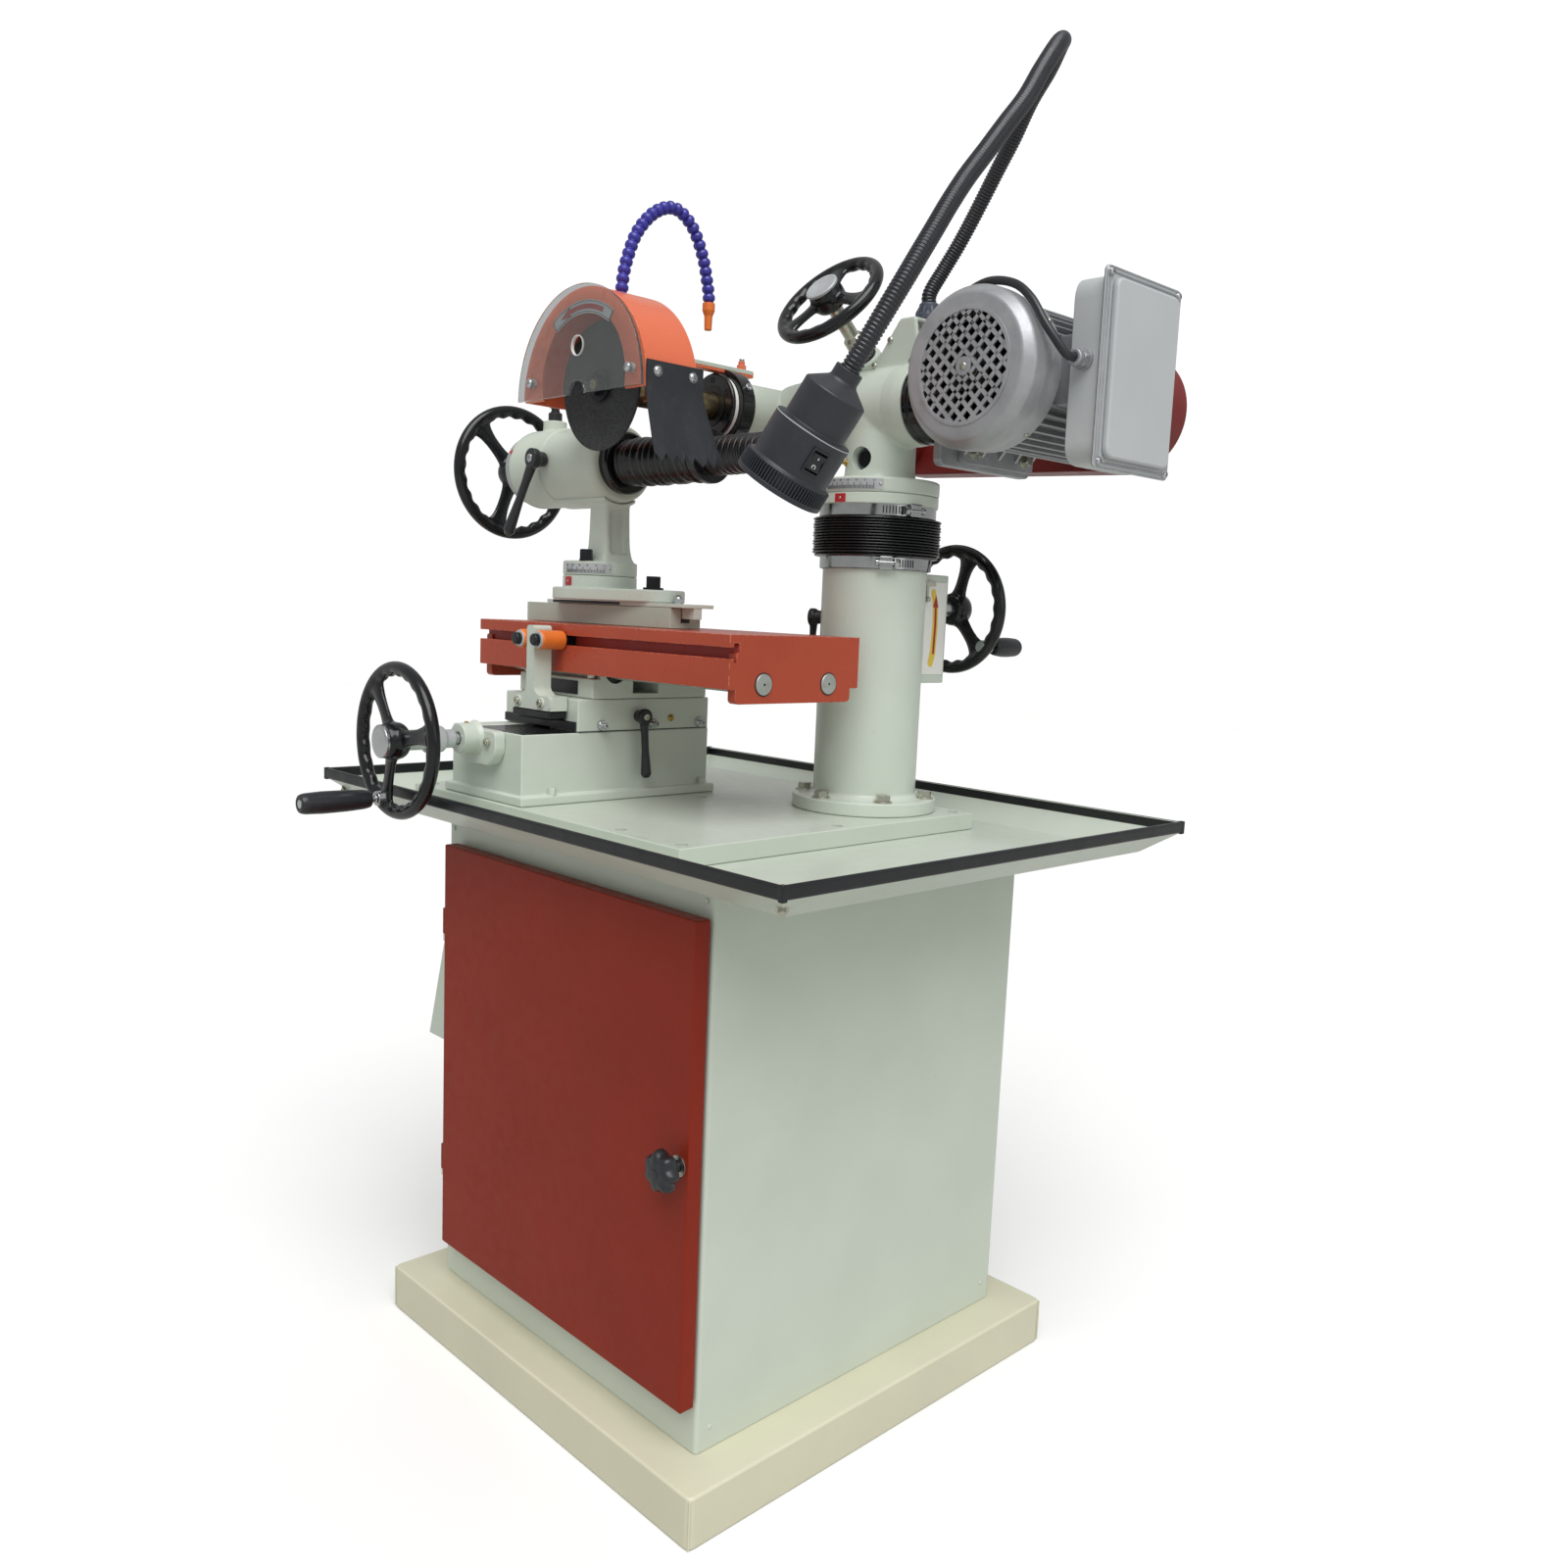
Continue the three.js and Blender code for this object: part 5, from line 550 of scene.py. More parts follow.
# A finished piece: metres, shaded, riding on its body, standing for its CAD nodes
def piece(name, mesh, finish, body, replaces=(), soft=False, angle=38):
    mesh = mesh.copy()
    mesh.transform(Matrix.Scale(MM, 4))
    mesh.name = name
    mesh.materials.clear()
    mesh.materials.append(finish)
    for face in mesh.polygons:
        face.material_index = 0
    mesh.shade_smooth()
    if not soft:
        mesh.set_sharp_from_angle(angle=radians(angle))
    made = set_down(name, mesh)
    if not soft:
        weigh = made.modifiers.new("weigh", "WEIGHTED_NORMAL")
        weigh.keep_sharp = True
        flat = plain(made)
        made.modifiers.clear()
        made.data = flat
    if isinstance(body, str):
        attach(made, body)
    else:
        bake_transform(made)
    for node in replaces:
        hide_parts(node)
    return made


# Geometry trees for what repeats
def new_tree(name, inputs):
    tree = bpy.data.node_groups.new(name, "GeometryNodeTree")
    tree.interface.new_socket("Geometry", in_out="INPUT", socket_type="NodeSocketGeometry")
    for label, kind in inputs:
        tree.interface.new_socket(label, in_out="INPUT", socket_type="NodeSocket" + kind)
    tree.interface.new_socket("Finish", in_out="INPUT", socket_type="NodeSocketMaterial")
    tree.interface.new_socket("Geometry", in_out="OUTPUT", socket_type="NodeSocketGeometry")
    return tree, put(tree, "NodeGroupInput").outputs


def close_tree(tree, given, instances):
    whole = first(tree, "GeometryNodeRealizeInstances", {"Geometry": instances})
    finished = first(tree, "GeometryNodeSetMaterial", {"Geometry": whole, "Material": given["Finish"]})
    end = put(tree, "NodeGroupOutput")
    tree.links.new(finished, end.inputs[0])


def grown(tree, mesh, finish, **values):
    """Plain mesh that a geometry tree makes from a mesh, its named inputs set beforehand."""
    thing = set_down("grown", mesh)
    modifier = thing.modifiers.new("tree", "NODES")
    modifier.node_group = tree
    wanted = dict(values, Finish=finish)
    for socket in tree.interface.items_tree:
        if socket.in_out == "INPUT" and socket.name in wanted:
            modifier[socket.identifier] = wanted[socket.name]
    result = plain(thing)
    bpy.data.objects.remove(thing)
    return result


def standing_tree():
    """Stands a part on every point, along the point's own aim, turned by its own spin."""
    tree, given = new_tree("standing_parts", [("Part", "Object"), ("Size", "Float")])
    aim = put(tree, "GeometryNodeInputNamedAttribute", {"Name": "aim"}, data_type="FLOAT_VECTOR")
    spin = put(tree, "GeometryNodeInputNamedAttribute", {"Name": "spin"}, data_type="FLOAT")
    turn = first(tree, "FunctionNodeAlignRotationToVector", {"Vector": aim.outputs["Attribute"]}, axis="Z")
    angle = first(tree, "ShaderNodeCombineXYZ", {"Z": spin.outputs["Attribute"]})
    own = put(tree, "FunctionNodeEulerToRotation", {0: angle})
    both = first(tree, "FunctionNodeRotateRotation", {"Rotation": turn, "Rotate By": own.outputs[0]},
        rotation_space="LOCAL")
    part = put(tree, "GeometryNodeObjectInfo", {"Object": given["Part"]})
    size = first(tree, "ShaderNodeCombineXYZ", {"X": given["Size"], "Y": given["Size"], "Z": given["Size"]})
    points = first(tree, "GeometryNodeMeshToPoints", {"Mesh": given["Geometry"]})
    stood = first(tree, "GeometryNodeInstanceOnPoints",
        {"Points": points, "Instance": part.outputs["Geometry"], "Rotation": both, "Scale": size})
    close_tree(tree, given, stood)
    return tree


def round_tree():
    """Sets copies of a part in a ring about the Z axis, each turned with its place."""
    tree, given = new_tree("parts_in_a_ring", [("Part", "Object"), ("Count", "Int"), ("Radius", "Float")])
    ring = put(tree, "GeometryNodeMeshCircle", {"Vertices": given["Count"], "Radius": given["Radius"]})
    points = first(tree, "GeometryNodeMeshToPoints", {"Mesh": ring.outputs[0]})
    step = maths(tree, "DIVIDE", 2 * pi, given["Count"])
    index = first(tree, "GeometryNodeInputIndex")
    turn = first(tree, "ShaderNodeCombineXYZ", {"Z": maths(tree, "MULTIPLY", index, step)})
    part = put(tree, "GeometryNodeObjectInfo", {"Object": given["Part"]})
    own = first(tree, "FunctionNodeEulerToRotation", {0: turn})
    stood = first(tree, "GeometryNodeInstanceOnPoints",
        {"Points": points, "Instance": part.outputs["Geometry"], "Rotation": own})
    close_tree(tree, given, stood)
    return tree


def rib_tree():
    """Ribbed hose along a path: its radius swings between valley and crest once for each rib."""
    tree, given = new_tree("ribbed_hose", [("Ribs", "Int"), ("Steps", "Int"), ("Crest", "Float"),
        ("Valley", "Float"), ("Fullness", "Float"), ("Sides", "Int")])
    line = first(tree, "GeometryNodeMeshToCurve", {"Mesh": given["Geometry"]})
    count = maths(tree, "ADD", maths(tree, "MULTIPLY", given["Ribs"], given["Steps"]), 1)
    even = first(tree, "GeometryNodeResampleCurve", {"Curve": line, "Count": count})
    way = put(tree, "GeometryNodeSplineParameter").outputs["Factor"]
    phase = maths(tree, "MULTIPLY", way, given["Ribs"])
    swing = maths(tree, "ABSOLUTE", maths(tree, "SINE", maths(tree, "MULTIPLY", phase, pi)))
    full = maths(tree, "POWER", swing, given["Fullness"])
    depth = maths(tree, "SUBTRACT", given["Crest"], given["Valley"])
    radius = maths(tree, "ADD", given["Valley"], maths(tree, "MULTIPLY", full, depth))
    round_section = first(tree, "GeometryNodeCurvePrimitiveCircle", {"Resolution": given["Sides"],
        "Radius": 1.0})
    hose = put(tree, "GeometryNodeCurveToMesh", {"Curve": even, "Profile Curve": round_section,
        "Scale": radius, "Fill Caps": True})
    close_tree(tree, given, hose.outputs[0])
    return tree


def link_tree():
    """Threads links on a path, each turned along it."""
    tree, given = new_tree("links_on_a_path", [("Link", "Object"), ("Count", "Int")])
    line = first(tree, "GeometryNodeMeshToCurve", {"Mesh": given["Geometry"]})
    even = first(tree, "GeometryNodeResampleCurve", {"Curve": line, "Count": given["Count"]})
    ahead = first(tree, "GeometryNodeInputTangent")
    turn = first(tree, "FunctionNodeAlignRotationToVector", {"Vector": ahead}, axis="Z")
    link = put(tree, "GeometryNodeObjectInfo", {"Object": given["Link"]})
    threaded = first(tree, "GeometryNodeInstanceOnPoints",
        {"Points": even, "Instance": link.outputs["Geometry"], "Rotation": turn})
    close_tree(tree, given, threaded)
    return tree


def grill_tree():
    """Two crossing sets of bars inside a circle, each bar as long as the circle is wide there."""
    tree, given = new_tree("crossed_bars", [("Radius", "Float"), ("Pitch", "Float"), ("Bar", "Float"),
        ("Depth", "Float"), ("Count", "Int")])
    reach = maths(tree, "MULTIPLY", maths(tree, "SUBTRACT", given["Count"], 1), given["Pitch"])
    start = first(tree, "ShaderNodeCombineXYZ", {"Y": maths(tree, "MULTIPLY", reach, -0.5)})
    offset = first(tree, "ShaderNodeCombineXYZ", {"Y": given["Pitch"]})
    row = first(tree, "GeometryNodeMeshLine", {"Count": given["Count"], "Start Location": start,
        "Offset": offset})
    place = first(tree, "GeometryNodeInputPosition")
    off = put(tree, "ShaderNodeSeparateXYZ", {0: place}).outputs["Y"]
    square = maths(tree, "SUBTRACT", maths(tree, "MULTIPLY", given["Radius"], given["Radius"]),
        maths(tree, "MULTIPLY", off, off))
    chord = maths(tree, "MULTIPLY", maths(tree, "SQRT", maths(tree, "MAXIMUM", square, 1.0)), 2.0)
    size = first(tree, "ShaderNodeCombineXYZ", {"X": chord, "Y": given["Bar"], "Z": given["Depth"]})
    cube = first(tree, "GeometryNodeMeshCube")
    bars = put(tree, "GeometryNodeInstanceOnPoints", {"Points": row, "Instance": cube, "Scale": size})
    crossed = first(tree, "GeometryNodeTransform", {"Geometry": bars.outputs[0],
        "Rotation": (0.0, 0.0, pi / 2)})
    both = put(tree, "GeometryNodeJoinGeometry")
    tree.links.new(bars.outputs[0], both.inputs[0])
    tree.links.new(crossed, both.inputs[0])
    close_tree(tree, given, both.outputs[0])
    return tree


standing_parts = standing_tree()
parts_in_a_ring = round_tree()
ribbed_hose = rib_tree()
links_on_a_path = link_tree()
crossed_bars = grill_tree()


def standing(part, places, finish):
    """Copies of a part on (place, axis) pairs, each turned by its own fixed chance."""
    points = bpy.data.meshes.new("places")
    points.from_pydata([tuple(place) for place, _ in places], [], [])
    points.attributes.new("aim", "FLOAT_VECTOR", "POINT")
    points.attributes.new("spin", "FLOAT", "POINT")
    aim = points.attributes["aim"]
    spin = points.attributes["spin"]
    chance = random.Random(7)
    for i, (_, axis) in enumerate(places):
        aim.data[i].vector = Vector(axis).normalized()
        spin.data[i].value = chance.uniform(0, pi)
    held = set_down("pattern", part)
    result = grown(standing_parts, points, finish, Part=held, Size=1.0)
    bpy.data.objects.remove(held)
    return result


def fasten(name, part, places, finish, body):
    piece(name, standing(part, places, finish), finish, body)


def in_a_ring(part, count, radius, finish):
    held = set_down("pattern", part)
    result = grown(parts_in_a_ring, shape([], []), finish, Part=held, Count=count, Radius=radius)
    bpy.data.objects.remove(held)
    return result


def path_mesh(points):
    mesh = bpy.data.meshes.new("path")
    mesh.from_pydata([tuple(p) for p in points], [(i, i + 1) for i in range(len(points) - 1)], [])
    return mesh


def ribbed(route, ribs, crest, valley, finish, sides=18, steps=6, fullness=0.7):
    return tidied(grown(ribbed_hose, path_mesh(route), finish, Ribs=ribs, Steps=steps, Crest=crest,
        Valley=valley, Fullness=fullness, Sides=sides))


# Fasteners, each made along +Z from its seat
def hexagon(across, turn=0.0):
    return circle(across / sqrt(3), 6, turn)


def hex_bolt(across, height, washer=0.0, washer_height=2.0):
    head = pushed(hexagon(across), 0, height)
    dome = lathe([(0, -1), (across * 0.62, -1), (across * 0.62, height * 0.78), (across * 0.5, height),
        (0, height)], 36)
    head = shifted(kept(head, dome), 0, 0, washer_height if washer else 0)
    if not washer:
        return head
    plate = turned([(0, 0), (washer, 0), (washer, washer_height), (0, washer_height)], 0.5, 32)
    return joined(head, plate)


def socket_screw(radius, height):
    head = turned([(0, 0), (radius, 0), (radius, height), (0, height)], radius * 0.18, 32)
    return carved(head, pushed(hexagon(radius * 1.05), height * 0.45, height + 2))


def cross_screw(radius, height):
    head = lathe([(0, 0), (radius, 0), (radius, height * 0.3), (radius * 0.85, height * 0.7),
        (radius * 0.45, height * 0.95), (0, height)], 28)
    slot = radius * 0.16
    return carved(head, block(-radius * 0.6, radius * 0.6, -slot, slot, height * 0.45, height + 2),
        block(-slot, slot, -radius * 0.6, radius * 0.6, height * 0.45, height + 2))


def rivet(radius, height):
    return lathe([(0, 0), (radius, 0), (radius, height * 0.4), (radius * 0.7, height * 0.85), (0, height)],
        20)


def jam_screw(across, reach):
    """Lock nut with the socket end of its screw standing out of it."""
    nut = hex_bolt(across, reach * 0.45)
    stud = shifted(socket_screw(across * 0.28, reach * 0.6), 0, 0, reach * 0.4)
    return joined(nut, stud)


def letters(text, height, matrix):
    """Plain numbers or marks as a thin mesh."""
    curve = bpy.data.curves.new("marks", "FONT")
    curve.body = text
    curve.size = height
    curve.align_x = "CENTER"
    curve.align_y = "CENTER"
    curve.extrude = 0.12
    curve.resolution_u = 2
    thing = set_down("marks", curve)
    mesh = plain(thing)
    bpy.data.objects.remove(thing)
    return moved(mesh, matrix)


def bent(radius, thick, start, end, steps, z0, z1):
    """Plate bent about Z between two angles in degrees."""
    arcs = [circle(r, steps, radians(start), radians(end - start)) for r in (radius + thick, radius)]
    return pushed(arcs[0] + arcs[1][::-1], z0, z1)


def round_scale(name, body, centre, radius, z0, z1, start, end, marks, numbers, height, axis=Z_AXIS):
    """Graduated plate bent round a disc, with ticks and numbers. Angles in degrees about its axis."""
    stand = facing(axis, centre)
    piece(name + "_plate", moved(bent(radius, 0.7, start, end, 32, z0, z1), stand), scale_alloy, body)
    ticks = []
    for i in range(marks + 1):
        a = radians(start + (end - start) * (0.06 + 0.8 * i / marks))
        long = 0.55 if i % 5 == 0 else 0.32
        turn = Matrix.Rotation(a, 4, "Z")
        tick = block(radius + 0.6, radius + 0.95, -0.35, 0.35, z0 + 0.5, z0 + 0.5 + (z1 - z0) * long)
        ticks.append(moved(tick, stand @ turn))
    for i, text in enumerate(numbers):
        a = radians(start + (end - start) * (0.06 + 0.8 * i / (len(numbers) - 1)))
        upright = Matrix(((0, 0, 1, radius + 0.8), (1, 0, 0, 0), (0, 1, 0, z1 - height * 0.75), (0, 0, 0, 1)))
        ticks.append(letters(text, height, stand @ Matrix.Rotation(a, 4, "Z") @ upright))
    piece(name + "_marks", joined(*ticks), black_ink, body)


# Light, sky and floor: a bright, even studio
def area_light(name, place, aim, size, power):
    data = bpy.data.lights.new(name, "AREA")
    data.shape = "DISK"
    data.size = size
    data.energy = power
    set_down(name, data).matrix_world = facing(Vector(place) - Vector(aim), place)


def overhead_light(name, aim, spread, strength):
    data = bpy.data.lights.new(name, "SUN")
    data.angle = radians(spread)
    data.energy = strength
    set_down(name, data).matrix_world = facing(aim)


def studio():
    area_light("right_softbox", (3.2, 0.3, 2.0), (0, 0, 0.8), 2.0, 6)
    overhead_light("ceiling_light", (0.55, -0.42, 1), 50, 2.6)
    sky = bpy.data.worlds.new("studio_sky")
    sky.use_nodes = True
    # The backdrop that the camera sees is pure white, and the light that it sends is softer
    seen = put(sky.node_tree, "ShaderNodeLightPath").outputs["Is Camera Ray"]
    glow = between(sky.node_tree, seen, 0, 1, 0.48, 1.05)
    feed(sky.node_tree, sky.node_tree.nodes["Background"], {"Color": (1, 1, 1, 1), "Strength": glow})
    bpy.context.scene.world = sky
    bpy.context.scene.view_settings.view_transform = "Standard"
    wide = circle(14000, 96)
    floor = shape([(0, 0, 0)] + [(x, y, 0) for x, y in wide], [(0, 1 + i, 1 + (i + 1) % len(wide))
        for i in range(len(wide))])
    floor.transform(Matrix.Scale(MM, 4))
    made, tree, shader, place = new_finish("floor_paint")
    tone = blotches(tree, place, 1.5, 3)
    pale = blended(tree, tone, (0.93, 0.93, 0.93, 1), (0.96, 0.96, 0.95, 1))
    seen = put(tree, "ShaderNodeLightPath").outputs["Is Camera Ray"]
    feed(tree, shader, {"Base Color": blended(tree, seen, (0.52, 0.52, 0.5, 1), pale),
        "Roughness": between(tree, tone, 0, 1, 0.5, 0.65)})
    floor.materials.append(made)
    set_down("studio_floor", floor)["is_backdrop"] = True


place_camera()
studio()


# Plinth, cabinet and side hood
def rounded_plate(width, depth, radius, steps=4):
    return softened([(-width / 2, -depth / 2), (width / 2, -depth / 2), (width / 2, depth / 2),
        (-width / 2, depth / 2)], radius, steps, True)


# Plinth
pan = carved(eased(pushed(rounded_plate(656, 645, 9), 0, 62.4), 3.5, 3), pushed(rounded_plate(650, 639, 7),
    -5, 59.4))
lip = carved(block(-325, 325, -320, 320, 0.2, 3), block(-300, 300, -294, 294, -2, 6))
piece("plinth", joined(pan, lip, joined(block(-30, 30, -320, 320, 0.2, 3),
    block(-1.5, 1.5, -320, 320, 0.2, 61))), cream_enamel, "base", ["plinth_pan"])
bead = []
for x, y in ((-1, -1), (1, -1), (1, 1), (-1, 1)):
    bead.append(sweep(smooth_route([(x * 326.6, y * 321.1, 3), (x * 326.6, y * 321.1, 30),
        (x * 326.4, y * 320.9, 59.5)], 8), circle(1.3, 10), X_AXIS))
piece("plinth_welds", joined(*bead), cream_enamel, "base")

# Cabinet
shell = eased(pushed(rounded_plate(550, 540.8, 6), 62.7, 721.5), 1.5)
shell = carved(shell, pushed(rounded_plate(544, 534.8, 5), 65.7, 718.5),
    block(-231, 253, -300, -255, 145, 661))
frame_in = carved(block(-234, 256, -267.6, -252, 142, 664), block(-231, 253, -290, -240, 145, 661))
inlet = bush([(8.5, 0), (16, 0), (16, 20), (8.5, 20)], 1.5, 2, 40, Y_AXIS, (-160, 270, 242.7))
hinges = []
for z in (213, 547):
    hinges.append(eased(block(-259.4, -247.9, -288.4, -268.9, z, z + 11.5), 0.8))
    hinges.append(rod(4, z, z + 46, Z_AXIS, (-251.9, -284.4, 0), 24, 0.6))
piece("cabinet", joined(shell, frame_in, inlet, *hinges), mint_enamel, "base", ["cabinet_shell"])
piece("inlet_nut", bush([(16.2, 0), (19.5, 0), (19.5, 5), (16.2, 5)], 1, 2, 6, Y_AXIS,
    (-160, 270.5, 242.7)), zinc_steel, "base")
piece("door_seal", eased(carved(block(-237, 261, -274.2, -270.4, 137, 669),
    block(-233, 257, -280, -260, 141, 665)), 0.8), rubber, "base")
slots = []
for i in range(6):
    z = 560 + i * 14
    slots.append(eased(block(-80, 80, 269.5, 272.4, z, z + 6), 1.2))
piece("back_louvres", joined(*slots), mint_enamel, "base")
places = [((x, -271.2, 700), (0, -1, 0)) for x in (-262, 262)]
places += [((275, y, z), (1, 0, 0)) for y in (-250, 250) for z in (90, 700)]
fasten("cabinet_rivets", rivet(3.2, 1.4), places, mint_enamel, "base")

# Side hood
hood = eased(pushed([(0, 390), (0, 560), (-21, 560), (-68, 390)], -262, -110, "y"), 2, 2)
hood = carved(hood, pushed([(-3, 380), (-3, 557), (-19.4, 557), (-67.6, 380)], -259, -113, "y"))
piece("side_hood_cover", shifted(joined(hood, eased(carved(block(-1.6, 0, -272, -100, 384, 570),
    block(-4, 3, -259, -113, 380, 557)), 0.5)), -275.3, 0, 0), mint_enamel, "base", ["side_hood"])
fasten("side_hood_screws", cross_screw(3.6, 2.4), [((-276.9, y, z), (-1, 0, 0)) for y in (-267, -105)
    for z in (400, 475, 550)], zinc_steel, "base")


# Door with its lobed knob
tray = eased(pushed(softened([(-245, 123), (275, 123), (275, 683), (-245, 683)], 2.5, 3, True), -295, -275,
    "y"), 2.2, 3)
tray = carved(tray, block(-242, 272, -292, -270, 126, 680), rod(6.6, -300, -270, Y_AXIS, (259, 0, 408), 24))
lips = carved(block(-242, 272, -278, -275, 126, 680), block(-230, 260, -282, -270, 138, 668))
stays = [eased(block(-235, 255, -292, -286, z, z + 26), 1) for z in (250, 520)]
knuckles = []
for z in (213, 547):
    low = z + 11.8
    knuckles.append(bush([(4.6, low), (7.5, low), (7.5, low + 34.5), (4.6, low + 34.5)], 0.8, 2, 32, Z_AXIS,
        (-251.9, -284.4, 0)))
    knuckles.append(block(-247.5, -243.5, -286, -281.4, low, low + 34.5))
piece("door_tray", joined(tray, lips, *stays, *knuckles), door_enamel, "door", ["door_panel"])
piece("knob_washer", bush([(6.5, 0), (12, 0), (12, 1.6), (6.5, 1.6)], 0.4, 2, 32, -Y_AXIS,
    (259, -295, 408)), zinc_steel, "door")

# Door knob
rings = []
levels = [(-14, 0.5), (-16, 0.86), (-19, 0.98), (-24, 1.0), (-29, 0.95), (-32.5, 0.8), (-34, 0.55),
    (-34.6, 0.25)]
for y, share in levels:
    ring = []
    for x, z in circle(1, 84):
        lobe = 1 - 0.17 * (0.5 - 0.5 * cos(7 * atan2(z, x))) * min(1.0, share * 1.2)
        ring.append((259 + 24.4 * share * lobe * x, y - 295, 408 + 24.4 * share * lobe * z))
    rings.append(ring)
head = lofted(rings)
piece("star_knob", joined(head, turned([(0, 16), (5.8, 16), (5.8, -8), (10.5, -8), (10.5, -14.5),
    (0, -14.5)], 0.8, 36, Y_AXIS, (259, -295, 408))), black_moulding, "door_latch", ["door_knob"])
piece("star_knob_cap", lathe([(0, 0), (5.4, 0), (5.4, 0.6), (4.6, 1.0), (0, 1.2)], 28, -Y_AXIS,
    (259, -329.4, 408)), black_moulding, "door_latch")


# Coolant tray with its rubber edging, and the bed plate
def squared(levels):
    """Shell of rectangles, each given by half width, half depth and height, joined one to the next."""
    return lofted([[(-x, -y, z), (x, -y, z), (x, y, z), (-x, y, z)] for x, y, z in levels])


# Tray
pan = squared([(428.6, 319, 721.8), (465, 356.2, 749.4), (465, 356.2, 763.2), (462, 353.2, 763.2),
    (462, 353.2, 749.8), (425.8, 316.2, 724.8)])
piece("tray", eased(pan, 1.2, 3, 20), mint_enamel, "base", ["tray_pan"])
profile = softened([(-3.4, -14.2), (3.2, -14.2), (3.4, 0.4), (-3.4, 0.4)], 3.3, 5, True)
strips = []
for i, (start, end) in enumerate((((-468, -359.6), (468, -359.6)), ((468, -359.6), (468, 359.6)),
        ((468, 359.6), (-468, 359.6)), ((-468, 359.6), (-468, -359.6)))):
    run = Vector((end[0] - start[0], end[1] - start[1], 0)).normalized()
    inward = Z_AXIS.cross(run) * 3.4
    lift = 0.3 * (i % 2)
    a = Vector((*start, 763.2 + lift)) + inward + run * (0.2 if i % 2 else 0.0)
    b = Vector((*end, 763.2 + lift)) + inward - run * (0.2 if i % 2 else 0.0)
    strips.append(sweep([a, a.lerp(b, 0.5), b], profile))
piece("tray_edging", joined(*[eased(s, 0.8, 2, 50) for s in strips]), rubber, "base", ["tray_trim"])
corner = []
for x in (-1, 1):
    for y in (-1, 1):
        corner.append(eased(block(x * 464.6 - 3.6, x * 464.6 + 3.6, y * 356.2 - 3.6, y * 356.2 + 3.6, 747.6,
            764.4), 1.4, 3))
piece("tray_corner_caps", joined(*corner), rubber, "base")
fasten("tray_bolts", hex_bolt(8, 4, 6.5, 1), [((-446, -338, 735), (-0.6, -0.5, -0.7)),
    ((446, -338, 735), (0.6, -0.5, -0.7))], zinc_steel, "base")

# Bed
plate = eased(block(-375, 212, -269, 250, 725.1, 747.8), 1.6, 3)
spots = [(-355, -249), (192, -249), (-355, 230), (192, 230), (192, 1), (-78, 11), (-317, -100), (80, -249)]
plate = carved(plate, *[rod(7.2, 722, 752, Z_AXIS, (x, y, 0), 32) for x, y in spots])
piece("bed", plate, mint_enamel, "base", ["bed_plate"])
fasten("bed_screws", socket_screw(6.2, 6), [((x, y, 733), (0, 0, 1)) for x, y in spots], dark_steel, "base")


# Column with its flange bolts, hose clamps and rubber bellows
profile = softened([(58.5, 748.1), (98, 748.1), (98, 766.1), (76, 766.6), (70, 772), (70, 1084.1),
    (58.5, 1084.1)], 2.4, 4, True)
piece("column", lathe(profile, 120, *COLUMN, True), mint_casting, "base", ["column_tube"])
places = [((x, y, 766.1), (0, 0, 1)) for x, y in circle(84, 6, -pi / 2, centre=(98, 151))]
fasten("column_bolts", hex_bolt(17, 8, 12.5, 2), places, zinc_steel, "base")


def band_clamp(name, body, z, radius, angle, screw_side):
    """Worm drive hose clamp: slotted band, screw housing and the screw with its slotted head."""
    band = bush([(radius, z - 7.5), (radius + 1.1, z - 7.5), (radius + 1.1, z + 7.5), (radius, z + 7.5)],
        0.35, 2, 120, *COLUMN)
    turn = about((98, 151, z), radians(angle), "Z")
    slots = []
    for i in range(9):
        around = Matrix.Rotation(radians(6 + i * 3.1) * screw_side, 4, "Z")
        slots.append(moved(block(radius + 0.9, radius + 1.5, -0.7, 0.7, -4.8, 4.8), turn @ around))
    housing = moved(eased(block(radius + 0.8, radius + 8.5, -9, 9, -8.6, 8.6), 1.8, 3), turn)
    screw = turned([(0, -14), (4.6, -14), (4.6, -10), (3.2, -9.5), (3.2, 11), (0, 11)], 0.5, 28)
    head = carved(turned([(0, 11), (6.2, 11), (6.2, 17.5), (0, 17.5)], 0.8, 6),
        block(-7, 7, -0.7, 0.7, 15.8, 20))
    screw = moved(joined(screw, head), turn @ facing((0, screw_side, 0), (radius + 5.6, 0, 0)))
    piece(name, joined(band, housing, screw), band_steel, body)
    piece(name + "_slots", joined(*slots), dark_steel, body)


band_clamp("lower_clamp", "base", 1077.5, 73.7, -38, 1)
band_clamp("upper_clamp", "lift", 1145, 76.7, -12, -1)

# Column bellows
rings = 14
profile = [(71.5, 1069.3)]
profile += [(73.2, 1069.3), (73.6, 1084.5)]
low = 1085.4
high = 1136.2
pitch = (high - low) / rings
for i in range(rings):
    z = low + i * pitch
    out = 85.6 if i % 3 else 84.6
    if i == 0:
        out = 83
    profile += [(79.5, z), (out - 1.3, z + 0.12 * pitch), (out, z + 0.36 * pitch), (out, z + 0.62 * pitch),
        (out - 1.3, z + 0.86 * pitch)]
profile += [(79.5, high), (76.6, 1137.2), (76.6, 1151.4), (73, 1151.4), (73, 1137), (76, high - 2),
    (76, low + 2), (71.5, 1084.6)]
piece("column_bellows_rings", bush(profile, 0.7, 2, 128, *COLUMN), wet_rubber,
    ("base", "lift", (0.098, 0.151, 1.0845), (0.098, 0.151, 1.1375)), ["column_bellows"],
    soft=True)


